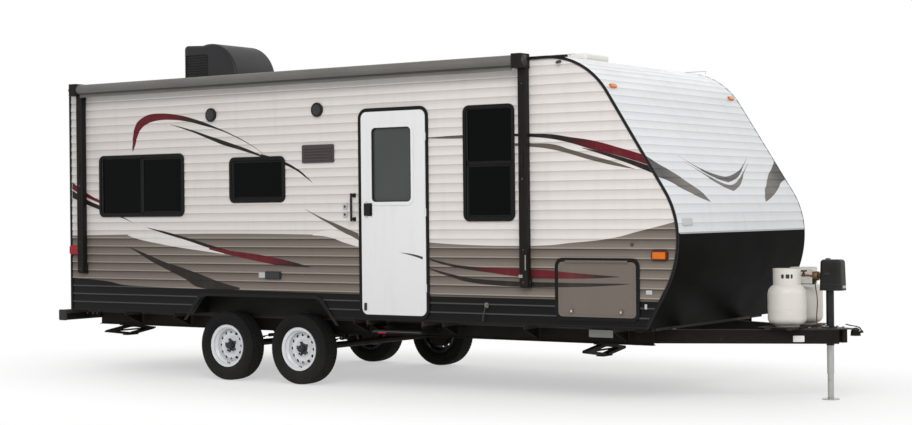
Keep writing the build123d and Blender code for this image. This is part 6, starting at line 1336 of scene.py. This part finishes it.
def drawbar_fittings(bottle):
    """Bottle seams, jack head details, coupler latch and bolts, and a blank plate."""
    seams = []
    for sign in SIDES.values():
        middle = at(BOTTLE_PLACE, sign * BOTTLE_OUT, 0.745)
        seams.append(lathe([(-0.005, BOTTLE_RADIUS - 0.001), (-0.003, BOTTLE_RADIUS + 0.0012),
                            (0.003, BOTTLE_RADIUS + 0.0012),
                            (0.005, BOTTLE_RADIUS - 0.001)], middle, (0, 0, 1), 64))
    piece("bottle_seams", seams, bottle, loop=True, smooth=60.0)
    # Openings pressed into the collars' outer sides: dark plates of painted shade behind the rim.
    dark = finish("collar_shade", "#24211F", "#34302C", 0.02, 0.002, 0.0002, roughness=(0.7, 0.85), IOR=1.5)
    openings = []
    for sign in SIDES.values():
        for turn, wide in ((46.0, 0.016), (63.0, 0.030), (84.0, 0.022)):
            out = np.array((cos(radians(turn)), sign * sin(radians(turn)), 0.0))
            spot = np.array(at(BOTTLE_PLACE, sign * BOTTLE_OUT, 1.004)) + 0.1114 * out
            openings.append(slab(spot, (wide, 0.034, 0.0016), 0.006, 0.0006, out))
    piece("collar_openings", openings, dark)

    # Soft-touch rubber trim of the jack's head: black and dull.
    trim_black = finish("jack_trim_rubber", "#0F0F10", "#191919", 0.03, 0.001, 0.0001, roughness=(0.6, 0.7),
                        IOR=1.5)
    head_x = along(JACK_PLACE) + 0.026
    band = slab((head_x, 0, height(0.935)), (0.1892, 0.1492, 0.004), 0.0365, 0.0012, (0, 0, 1), up=(0, 1, 0))
    cap = lathe([(0.0, 0.021), (0.006, 0.021), (0.009, 0.017), (0.009, 0.006), (0.007, 0.005)],
                (head_x - 0.04, 0, height(1.137)), (0, 0, 1), 24)
    switch = slab((head_x - 0.02, -0.0700, height(1.02)), (0.044, 0.026, 0.007), 0.005, 0.003, (0, -1, 0))
    rocker = slab((head_x - 0.02, -0.0770, height(1.02)), (0.020, 0.014, 0.005), 0.003, 0.002, (0, -1, 0))
    ribs = [slab((head_x + 0.03, -0.0710, height(z)), (0.070, 0.004, 0.0035), 0.0016, 0.001, (0, -1, 0))
            for z in np.arange(0.96, 1.085, 0.014)]
    piece("jack_trim", [band, cap, switch, rocker] + ribs, trim_black)
    # Clear polycarbonate lamp under the jack's head: pale grey and glossy.
    clear = finish("clear_polycarbonate", "#8F9498", "#A9AEB2", 0.02, 0.001, 0.0001, roughness=(0.1, 0.2),
                   IOR=1.58)
    piece("jack_lamp", [slab((head_x + 0.0938, 0, height(0.915)), (0.060, 0.022, 0.006), 0.006, 0.003,
                             (1, 0, 0))], clear)

    # Zinc-plated hardware of the coupler and the jack: pale bright metal.
    zinc = finish("plated_hardware", "#8C8E90", "#A8AAAC", 0.015, 0.001, 0.0001, roughness=(0.3, 0.42),
                  Metallic=1.0)
    plate_top = height(BEAM_TOP) + 0.008
    turn = np.arange(3) * 2 * pi / 3 + pi / 6
    spots = [(along(JACK_PLACE) + 0.056 * cos(t), 0.056 * sin(t), plate_top + 0.008) for t in turn]
    nuts = [lathe([(0.0, 0.010), (0.007, 0.010), (0.009, 0.007)], spot, (0, 0, 1), 6) for spot in spots]
    nuts += [lathe([(0.0, 0.011), (0.008, 0.011), (0.010, 0.008)], (x, sign * y, plate_top), (0, 0, 1), 6)
             for sign in SIDES.values() for x, y in ((-0.34, 0.130), (-0.125, 0.050))]
    pin = rod([(0.045, 0.034, 0.020), (0.045, 0.0, 0.020), (0.045, -0.034, 0.020)], 0.0045)
    piece("coupler_hardware", nuts + [pin], zinc, smooth=30.0)
    lever = [(0.050, 0, 0.024), (0.034, 0, 0.046), (0.004, 0, 0.0555), (-0.040, 0, 0.060), (-0.080, 0, 0.070)]
    latch = bar(lever, [(-0.014, -0.003), (0.014, -0.003), (0.014, 0.001), (0.011, 0.003), (-0.011, 0.003),
                        (-0.014, 0.001)], (0.2, 0, 0.98))
    piece("coupler_latch", [latch], chassis_paint(), smooth=50.0)
    leg = height(0.16)
    pin = rod([(along(JACK_PLACE), 0.036, leg), (along(JACK_PLACE), 0.0, leg),
               (along(JACK_PLACE), -0.036, leg)], 0.006)
    holes = [lathe([(0.0, 0.007), (0.0012, 0.0068), (0.0016, 0.005)],
                   at(JACK_PLACE, -0.0205, z), (0, -1, 0), 14) for z in (0.10, 0.22)]
    piece("jack_pin", [pin], zinc, body="jack_leg", smooth=50.0)
    piece("jack_leg_plugs", holes, trim_black, body="jack_leg")
    # Enamelled aluminium sign plate riveted to the curb beam, blank: even off-white.
    plate = finish("enamelled_plate", "#D9D8D4", "#E6E5E1", 0.05, 0.002, 0.0001, roughness=(0.35, 0.45),
                   IOR=1.5)
    lean = radians(25.0)
    beam = (sin(lean), -cos(lean), 0)
    spot = (-0.115 - 0.32 * cos(lean) + 0.0251 * beam[0], -0.062 - 0.32 * sin(lean) + 0.0251 * beam[1],
            height(0.50))
    piece("beam_plate", [slab(spot, (0.090, 0.050, 0.0014), 0.006, 0.0006, beam)], plate)


# ------------------------------------------------------------------ roof and awning
class CARAVAN_OT_roof(bpy.types.Operator):
    """Roof unit and vents"""
    bl_idname = "caravan.roof"
    bl_label = "Roof"

    def execute(self, context):
        # Injection-moulded shroud: black polypropylene with a fine grain.
        shroud = finish("moulded_shroud", "#1E1E20", "#2A2A2D", 0.3, 0.002, 0.0002, roughness=(0.38, 0.5),
                        IOR=1.49, Specular_IOR_Level=0.25)
        dress(shroud, "roof_unit")
        # Moulded white plastic, yellowed a little.
        plastic = finish("moulded_white_plastic", "#DDDCD6", "#E9E8E3", 0.2, 0.003, 0.0002,
                         roughness=(0.4, 0.5), IOR=1.49)
        dress(plastic, "vent_bases", "vent_lid_rear", "vent_lid_front")
        rear, front, half, _ = UNIT
        # Moulded louvre insert: the shroud's plastic in a darker, duller black.
        louvre = finish("moulded_louvres", "#0D0D0E", "#161617", 0.1, 0.002, 0.0002, roughness=(0.55, 0.7),
                        IOR=1.49)
        blades = []
        for sign in SIDES.values():
            tilt = np.array((0.0, sign * 0.5, 0.866))
            face = np.array((0.0, sign * 0.866, -0.5))
            blades += [slab(at(rear + 0.180, sign * (half - 0.0138), ROOF + z), (0.286, 0.020, 0.010), 0.003,
                            0.002, face, up=tilt) for z in np.arange(0.108, 0.33, 0.0265)]
        blades += [slab((along(rear) + 0.0005, 0, height(ROOF + z)), (0.50, 0.016, 0.009), 0.004, 0.003,
                        (-1, 0, 0)) for z in np.arange(0.11, 0.37, 0.032)]
        piece("unit_louvres", blades, louvre)
        band = trim(at((rear + front) / 2, 0, ROOF + 0.066), (front - rear, 2 * half), 0.03,
                    [(0.002, -0.003), (-0.0016, -0.003), (-0.0022, 0.0), (-0.0016, 0.003), (0.002, 0.003)],
                    (0, 0, 1), up=(0, 1, 0))
        piece("unit_seam", [band], louvre, loop=True)
        gasket = slab(at((rear + front) / 2, 0, ROOF), (front - rear + 0.016, 2 * half + 0.016, 0.014), 0.02,
                      0.003, (0, 0, 1), up=(0, 1, 0))
        ribs = [slab(at(rear + 0.185, y, ROOF + 0.4385), (0.20, 0.012, 0.006), 0.004, 0.003,
                     (-0.048, 0, 0.9988), up=(0, 1, 0)) for y in np.arange(-0.20, 0.21, 0.05)]
        piece("unit_ribs", [gasket] + ribs, shroud)
        screws = [at(x, sign * (half + 0.0005), ROOF + 0.040)
                  for x in (rear + 0.06, rear + 0.35, front - 0.06) for sign in SIDES.values()]
        heads = []
        for x, y, z in screws:
            heads += studs([(x, y, z)], (0, np.sign(y), 0), 0.0055, 0.002)
        piece("unit_screws", heads, screw_finish())

        # Self-levelling sealant round the vents: grey-white and lumpy.
        sealant = finish("vent_sealant", "#B9B7AF", "#CBC9C2", 0.03, 0.01, 0.0014, roughness=(0.55, 0.7),
                         IOR=1.5)
        beads = []
        heads = []
        for name, place in VENTS.items():
            centre = at(place, 0, ROOF)
            bead = [(0.0, 0.0002), (0.006, 0.004), (0.030, 0.0055), (0.0446, 0.004), (0.0446, 0.0002)]
            beads.append(trim(centre, (0.50, 0.50), 0.04, bead, (0, 0, 1), up=(0, 1, 0)))
            edge = np.linspace(-0.19, 0.19, 5)
            spots = [(x, y) for x in edge for y in (-0.229, 0.229)]
            spots += [(x, y) for y in edge for x in (-0.229, 0.229)]
            heads += studs([(centre[0] + x, y, centre[2] + 0.0052) for x, y in spots], (0, 0, 1), 0.005,
                           0.002)
            ribs = [slab((along(place) + x, 0, height(ROOF + 0.1053)), (0.012, 0.30, 0.004), 0.004, 0.002,
                         (0, 0, 1), up=(0, 1, 0)) for x in (-0.12, -0.04, 0.04, 0.12)]
            piece(f"vent_ribs_{name}", ribs, plastic, body=f"vent_lid_{name}")
        piece("vent_sealant", beads, sealant, loop=True)
        piece("vent_screws", heads, sealant)
        return {"FINISHED"}


class CARAVAN_OT_awning(bpy.types.Operator):
    """Rolled awning and its arms"""
    bl_idname = "caravan.awning"
    bl_label = "Awning"

    def execute(self, context):
        dress(powder_coat("powder_coated_arms", "#181615", "#23201E"), "awning_arms")
        # Vinyl-coated awning cloth, rolled tight: grey, with the faint ribs of the layers under it.
        cloth, tree, principled = new_material("vinyl_coated_cloth", IOR=1.5, Sheen_Weight=0.15,
                                               Roughness=0.55)
        place = own_place(tree)
        weave = node(tree, "TexWave", {"Vector": place, "Scale": 1 / 0.004, "Distortion": 0.4, "Detail": 1.0},
                     bands_direction="X")
        drift = noise(tree, own_place(tree, scale=(0.3, 1.0, 1.0)), 9.0, 5.0)
        base = blended(tree, drift, "#4E4D48", "#68665F")
        tree.links.new(base, principled.inputs["Base Color"])
        relief(tree, principled, weave.outputs["Fac"], 0.0003)
        dress(cloth, "awning_roller")
        arm = NODES["awning_arms"].data.materials[0]
        # Cast aluminium caps, anodised rail and rivets: satin metal.
        cast = finish("cast_aluminium_cap", "#3A3B3D", "#4B4C4E", 0.03, 0.002, 0.0002, roughness=(0.35, 0.5),
                      Metallic=0.8)
        out = outward("curb")
        face = -(HALF + 0.060)
        lips = []
        rivets = []
        for place, foot in ARMS:
            for shift in (-0.034, -0.014, 0.014, 0.034):
                lips.append(slab(at(place + shift, face, (foot + 2.62) / 2 + 0.05),
                                 (0.006, 2.62 - foot - 0.12, 0.004), 0.002, 0.0015, out))
            for z, radius in ((foot + 0.035, 0.010), (foot + 0.30, 0.008), ((foot + 2.7) / 2, 0.012),
                              (2.60, 0.008)):
                rivets.append(lathe([(0.0, radius), (0.003, radius), (0.005, 0.7 * radius),
                                     (0.0055, 0.3 * radius)], at(place, face, z), out, 20))
            rivets += [lathe([(0.0, 0.0065), (0.003, 0.0065), (0.0042, 0.0045)],
                             at(place + shift, -(HALF + 0.030), foot + 0.035), out, 6)
                       for shift in (-0.045, 0.045)]
            lips.append(slab(at(place, face, (foot + 2.7) / 2 + 0.16), (0.022, 0.130, 0.010), 0.008, 0.004,
                             out))
        piece("awning_arm_lips", lips, arm)
        # Bright steel catch rod let into the front arm's foot: rubbed metal.
        bright = finish("bright_catch_rod", "#8E8C89", "#A5A3A0", 0.02, 0.001, 0.0001, roughness=(0.3, 0.45),
                        Metallic=0.9)
        place, foot = ARMS[1]
        piece("awning_catch", [slab(at(place + 0.024, face - 0.004, 1.13), (0.010, 0.125, 0.006), 0.004,
                                    0.002, out),
                               slab(at(place - 0.026, face, foot + 0.085), (0.040, 0.026, 0.006), 0.006,
                                    0.002, out)], bright)
        piece("awning_rivets", rivets, cast)
        caps = []
        bolts = []
        for place, turn in ((ARMS[0][0], -1), (ARMS[1][0], 1)):
            middle = (along(place) + turn * 0.050, -ROLLER_OUT, height(ROLLER_HEIGHT))
            caps.append(lathe([(0.0, 0.044), (0.004, 0.044), (0.007, 0.040), (0.008, 0.024), (0.012, 0.020),
                               (0.013, 0.010)], middle, (turn, 0, 0), 32))
            for t in np.arange(4) * pi / 2 + pi / 4:
                spot = (middle[0] + turn * 0.0078, middle[1] + 0.032 * cos(t), middle[2] + 0.032 * sin(t))
                bolts.append(lathe([(0.0, 0.0045), (0.002, 0.004), (0.0026, 0.002)], spot, (turn, 0, 0), 10))
        piece("awning_caps", caps, cast)
        piece("awning_cap_bolts", bolts, screw_finish())
        # Extruded spline that grips the cloth's hem, and the folded hem itself.
        first, last = along(ARMS[0][0] + 0.0515), along(ARMS[1][0] - 0.0515)
        line = np.linspace(first + 0.01, last - 0.01, 60)
        lean = radians(-62.0)
        spot = (ROLLER_RADIUS + 0.001) * np.array((cos(lean), sin(lean)))
        spline = rod([(x, -ROLLER_OUT - spot[0], height(ROLLER_HEIGHT) + spot[1]) for x in line], 0.0055, 12)
        piece("awning_spline", [spline], cast)
        hem_path = np.stack([line, -ROLLER_OUT - 0.006 + 0.0008 * np.sin(line * 9.0),
                             height(ROLLER_HEIGHT) - ROLLER_RADIUS - 0.016
                             + 0.0012 * np.sin(line * 5.0)], axis=1)
        hem = bar(hem_path, [(-0.0016, -0.016), (0.0016, -0.016), (0.0016, 0.016), (-0.0016, 0.016)],
                  (0, 0, 1))
        piece("awning_hem", [hem], cloth)
        # Moulded plastic rain spouts at the ends of the gutters: dark grey satin.
        spout = finish("moulded_spout", "#2A2A2B", "#363637", 0.03, 0.001, 0.0001, roughness=(0.45, 0.55),
                       IOR=1.49)
        spouts = []
        for x, z, side in ((0.040, ROOF - 0.016, "curb"), (5.700, 2.766, "curb"),
                           (0.040, ROOF - 0.016, "street")):
            sign = SIDES[side]
            spouts.append(slab(at(x, sign * (HALF + 0.004), z), (0.034, 0.018, 0.036), 0.004,
                               0.003, (0, sign * 0.94, -0.34), up=(0, sign * 0.34, 0.94)))
        piece("gutter_spouts", spouts, spout)
        rail = np.linspace(along(0.06), along(5.55), 40)
        gutter = [bar(np.stack([rail, np.full(40, HALF + 0.0045), np.full(40, height(ROOF - 0.014))], axis=1),
                      [(-0.0005, -0.010), (-0.012, -0.010), (-0.013, -0.004), (-0.0115, -0.004),
                       (-0.0105, -0.008), (-0.0005, -0.008)], (0, 0, 1))]
        piece("street_gutter", gutter, spout)
        return {"FINISHED"}


# ------------------------------------------------------------------ lamps and fittings
class CARAVAN_OT_lamps(bpy.types.Operator):
    """Marker lamps and tail lamps"""
    bl_idname = "caravan.lamps"
    bl_label = "Lamps"

    def execute(self, context):
        amber = lens("moulded_amber_acrylic", "#C05A10", "#EE8E2C")
        # The side markers' lenses are moulded dark round their edges.
        tree = amber.node_tree
        _, length, out_place, tall = body_place(tree)
        depth = maths(tree, "ABSOLUTE", out_place)
        on_wall = maths(tree, "GREATER_THAN", depth, HALF - 0.002)
        beside = maths(tree, "COMPARE", length, 6.597, 0.056)
        level = maths(tree, "COMPARE", tall, 1.195, 0.026)
        middle = maths(tree, "MULTIPLY", beside, level)
        edge = maths(tree, "SUBTRACT", on_wall, middle, clamp=True)
        shader = tree.nodes["Principled BSDF"]
        bright = shader.inputs["Base Color"].links[0].from_socket
        tree.links.new(blended(tree, edge, bright, "#6A2C0C"), shader.inputs["Base Color"])
        dress(amber, "amber_lamps")
        dress(lens("moulded_red_acrylic", "#8C0C18", "#B81F2A"), "red_lamps")
        # Moulded lamp bezels: black and satin.
        bezel = finish("moulded_bezel", "#161616", "#202021", 0.03, 0.001, 0.0001, roughness=(0.4, 0.5),
                       IOR=1.53)
        ring = [(-0.007, 0.0003), (-0.006, 0.006), (-0.002, 0.0072), (-0.0006, 0.0055), (-0.0006, 0.0003)]
        rings = []
        for side, sign in SIDES.items():
            centre, size = on_side(side, *SIDE_MARKER, HALF)
            rings.append(trim(centre, size, 0.020, ring, outward(side)))
            rings.append(trim(at(0, sign * TAIL_LAMP_OUT, TAIL_LAMP_HEIGHT), (0.150, 0.210), 0.024, ring,
                              (-1, 0, 0)))
            rings.append(trim(at(0, sign * TAIL_LAMP_OUT, MARKER_HEIGHT), (0.096, 0.034), 0.012, ring,
                              (-1, 0, 0)))
        rings += [trim(at(0, y, MARKER_HEIGHT), (0.096, 0.034), 0.012, ring, (-1, 0, 0))
                  for y in (-0.16, 0.0, 0.16)]
        piece("lamp_bezels", rings, bezel, loop=True)
        screws = [(along(0) - 0.0205, sign * TAIL_LAMP_OUT + shift, height(TAIL_LAMP_HEIGHT + rise))
                  for sign in SIDES.values() for shift in (-0.055, 0.055) for rise in (-0.085, 0.085)]
        piece("lamp_screws", studs(screws, (-1, 0, 0), 0.004, 0.002), screw_finish())
        # Clear acrylic reversing window let into each tail lamp: pale and glossy.
        clear = finish("clear_acrylic", "#C8CACC", "#DADCDE", 0.01, 0.001, 0.0001, roughness=(0.1, 0.18),
                       IOR=1.49)
        windows = [slab((along(0) - 0.0196, sign * TAIL_LAMP_OUT, height(0.955)), (0.110, 0.042, 0.0022),
                        0.008, 0.001, (-1, 0, 0)) for sign in SIDES.values()]
        piece("reversing_panes", windows, clear)
        return {"FINISHED"}


class CARAVAN_OT_fittings(bpy.types.Operator):
    """Speakers, vent panels, grab handle and service covers"""
    bl_idname = "caravan.fittings"
    bl_label = "Fittings"

    def execute(self, context):
        black, tree, principled, base = mottled("moulded_black_fitting", "#161516", "#222123", 0.05, 0.0015,
                                                0.0002, roughness=(0.42, 0.55), IOR=1.49,
                                                Specular_IOR_Level=0.2)
        _, length, _, tall = body_place(tree)
        beside = maths(tree, "COMPARE", length, 3.1765, 0.19)
        level = maths(tree, "COMPARE", tall, 2.0825, 0.09)
        panel = maths(tree, "MULTIPLY", beside, level)
        base = blended(tree, panel, base, "#4A4244")
        beside = maths(tree, "COMPARE", length, 4.968, 0.03)
        level = maths(tree, "COMPARE", tall, 0.768, 0.03)
        catch = maths(tree, "MULTIPLY", beside, level)
        tree.links.new(blended(tree, catch, base, "#77736F"), principled.inputs["Base Color"])
        dress(black, "side_fittings")
        # Moulded service covers: one grained plastic, black on the curb side and white on the street side.
        cover, tree, principled, base = mottled("moulded_cover", "#D2D1CC", "#DEDDD8", 0.2, 0.002, 0.0002,
                                                roughness=(0.4, 0.5), IOR=1.49)
        _, _, out_place, _ = body_place(tree)
        near = maths(tree, "LESS_THAN", out_place, 0.0)
        base = blended(tree, near, base, "#1C1B1C")
        tree.links.new(base, principled.inputs["Base Color"])
        dress(cover, "side_covers")
        out = outward("curb")
        face = -COVER_FACE
        # Perforated steel speaker grille, painted black: round rows of holes pressed into it, each hole near
        # black with painted shade.
        grille, tree, principled = new_material("perforated_grille", Metallic=0.3, IOR=1.5, Roughness=0.5)
        cells = node(tree, "TexVoronoi", {"Vector": own_place(tree, scale=(1.0, 0.02, 1.0)),
                                          "Scale": 1 / 0.0045, "Randomness": 0.0})
        hole = ramp(tree, cells.outputs["Distance"], 0.25, 0.4)
        # painted shade: the holes near black against the grille's paint
        tree.links.new(blended(tree, hole, "#040404", "#2C2B2D"), principled.inputs["Base Color"])
        relief(tree, principled, hole, 0.0008)
        discs = []
        bezels = []
        for x, z in SPEAKERS:
            centre = at(x, face, z)
            steps = np.linspace(0.046, 0.002, 12)
            discs.append(lathe([(0.0, 0.046)] + [(0.003 + 0.004 * (1 - (r / 0.046) ** 2), r) for r in steps],
                               centre, out, 36))
            bezels.append(lathe([(-0.0078, 0.0645), (-0.002, 0.064), (0.0, 0.061), (0.0015, 0.054),
                                 (0.0005, 0.0495), (-0.0078, 0.0495)], centre, out, 48))
        piece("speaker_grilles", discs, grille)
        piece("speaker_bezels", bezels, black, loop=True)

        screws = [at(x, -(HALF + 0.009), z) for x in (3.004, 3.349) for z in (2.012, 2.153)]
        screws += [(along(HANDLE_PLACE) + shift, -(HALF + 0.009), height(z)) for shift in (-0.011, 0.011)
                   for z in (1.495 + 0.013, 1.705 - 0.013)]
        screws += [(along(4.968) + shift, -(HALF + 0.009), height(0.768)) for shift in (-0.0115, 0.0115)]
        piece("fitting_screws", studs(screws, out, 0.0032, 0.0014), screw_finish())
        # Soft rubber sleeve on the grab handle: black and dull.
        sleeve = finish("handle_rubber", "#101010", "#1B1B1B", 0.02, 0.001, 0.0002, roughness=(0.6, 0.75),
                        IOR=1.5)
        rows = []
        for low in np.arange(1.522, 1.672, 0.010):
            rows += [(low - 1.6, 0.0103), (low + 0.0015 - 1.6, 0.0116), (low + 0.0065 - 1.6, 0.0116),
                     (low + 0.008 - 1.6, 0.0103)]
        grip = lathe(rows, at(HANDLE_PLACE, -(HALF + 0.048), 1.6), (0, 0, 1), 24)
        piece("handle_sleeve", [grip], sleeve, smooth=30.0)

        # Small moulded switches, a blank plate and a white insert: pale grey plastic.
        pale = finish("moulded_pale_plastic", "#A7A8A8", "#BBBCBC", 0.03, 0.001, 0.0001, roughness=(0.4, 0.5),
                      IOR=1.49)
        dark = finish("moulded_dark_plastic", "#2C2C2D", "#3A3A3B", 0.03, 0.001, 0.0001, roughness=(0.4, 0.5),
                      IOR=1.49)
        plane = -HALF
        small = [slab(at(3.478, plane, z), (0.046, 0.052, 0.008), 0.008, 0.003, out) for z in (1.607, 1.537)]
        small += [slab(at(2.512, plane, 0.9885), (0.085, 0.050, 0.010), 0.008, 0.003, out),
                  slab(at(6.500, plane, 0.903), (0.055, 0.034, 0.004), 0.006, 0.001, out),
                  slab(at(6.470, plane, 0.790), (0.020, 0.040, 0.004), 0.004, 0.001, out)]
        piece("pale_fittings", small, pale)
        marks = [slab(at(3.478, plane - 0.008, z), (0.022, 0.022, 0.004), 0.009, 0.002, out)
                 for z in (1.607, 1.537)]
        marks += [lathe([(0.0, 0.014), (0.005, 0.014), (0.008, 0.011), (0.0085, 0.004)],
                        at(6.35, plane, 1.28), out, 24)]
        marks += [rod([at(4.968, -COVER_FACE, 0.756), at(4.958, -(HALF + 0.024), 0.72),
                       at(4.944, -(HALF + 0.022), 0.67), at(4.937, -(HALF + 0.016), 0.633)],
                      0.0045, 10)]
        piece("dark_fittings", marks, dark)
        # Hinged flap lines and thumb locks on the street side's covers.
        locks = []
        for low_x, low_z, high_x, high_z in ((2.820, 1.010, 3.250, 1.290), (1.450, 0.900, 1.780, 1.230),
                                             (0.620, 0.900, 0.980, 1.180), (0.300, 0.830, 0.440, 0.970)):
            centre, _ = on_side("street", low_x, low_z, high_x, high_z, COVER_FACE)
            thumb = [(0.0, 0.011), (0.003, 0.011), (0.005, 0.009), (0.005, 0.004), (0.0035, 0.003)]
            locks.append(lathe(thumb, (centre[0], centre[1], height(low_z + 0.028)), outward("street"), 20))
            locks += studs([at(x, HALF + 0.012, z) for x in (low_x + 0.006, high_x - 0.006)
                            for z in (low_z + 0.02, high_z - 0.02)], outward("street"), 0.003, 0.0014)
        piece("cover_locks", locks, dark)
        return {"FINISHED"}


class CARAVAN_PT_panel(bpy.types.Panel):
    """Steps that dress the caravan"""
    bl_idname = "CARAVAN_PT_panel"
    bl_label = "Travel caravan"
    bl_space_type = "VIEW_3D"
    bl_region_type = "UI"
    bl_category = "Caravan"

    def draw(self, context):
        column = self.layout.column()
        for operator in OPERATORS:
            column.operator(operator.bl_idname)
        for group in GROUPS:
            settings = getattr(context.scene, group)
            for name in settings.__annotations__:
                column.prop(settings, name)


OPERATORS = [
    CARAVAN_OT_stage,
    CARAVAN_OT_drawbar,
    CARAVAN_OT_body,
    CARAVAN_OT_windows,
    CARAVAN_OT_entry_door,
    CARAVAN_OT_hatches,
    CARAVAN_OT_wheels,
    CARAVAN_OT_chassis,
    CARAVAN_OT_roof,
    CARAVAN_OT_awning,
    CARAVAN_OT_lamps,
    CARAVAN_OT_fittings,
]
GROUPS = {
    "caravan_stage": CaravanStageSettings,
    "caravan_wheels": CaravanWheelSettings,
    "caravan_trim": CaravanTrimSettings,
}


def register():
    for group in GROUPS.values():
        bpy.utils.register_class(group)
    for operator in OPERATORS:
        bpy.utils.register_class(operator)
    bpy.utils.register_class(CARAVAN_PT_panel)
    for name, group in GROUPS.items():
        setattr(bpy.types.Scene, name, bpy.props.PointerProperty(type=group))


def unregister():
    for name in GROUPS:
        delattr(bpy.types.Scene, name)
    bpy.utils.unregister_class(CARAVAN_PT_panel)
    for operator in reversed(OPERATORS):
        bpy.utils.unregister_class(operator)
    for group in reversed(GROUPS.values()):
        bpy.utils.unregister_class(group)


def main():
    register()
    bpy.ops.caravan.stage()
    bpy.ops.caravan.drawbar()
    bpy.ops.caravan.body()
    bpy.ops.caravan.windows()
    bpy.ops.caravan.entry_door()
    bpy.ops.caravan.hatches()
    bpy.ops.caravan.wheels()
    bpy.ops.caravan.chassis()
    bpy.ops.caravan.roof()
    bpy.ops.caravan.awning()
    bpy.ops.caravan.lamps()
    bpy.ops.caravan.fittings()


if __name__ == "__main__":
    main()
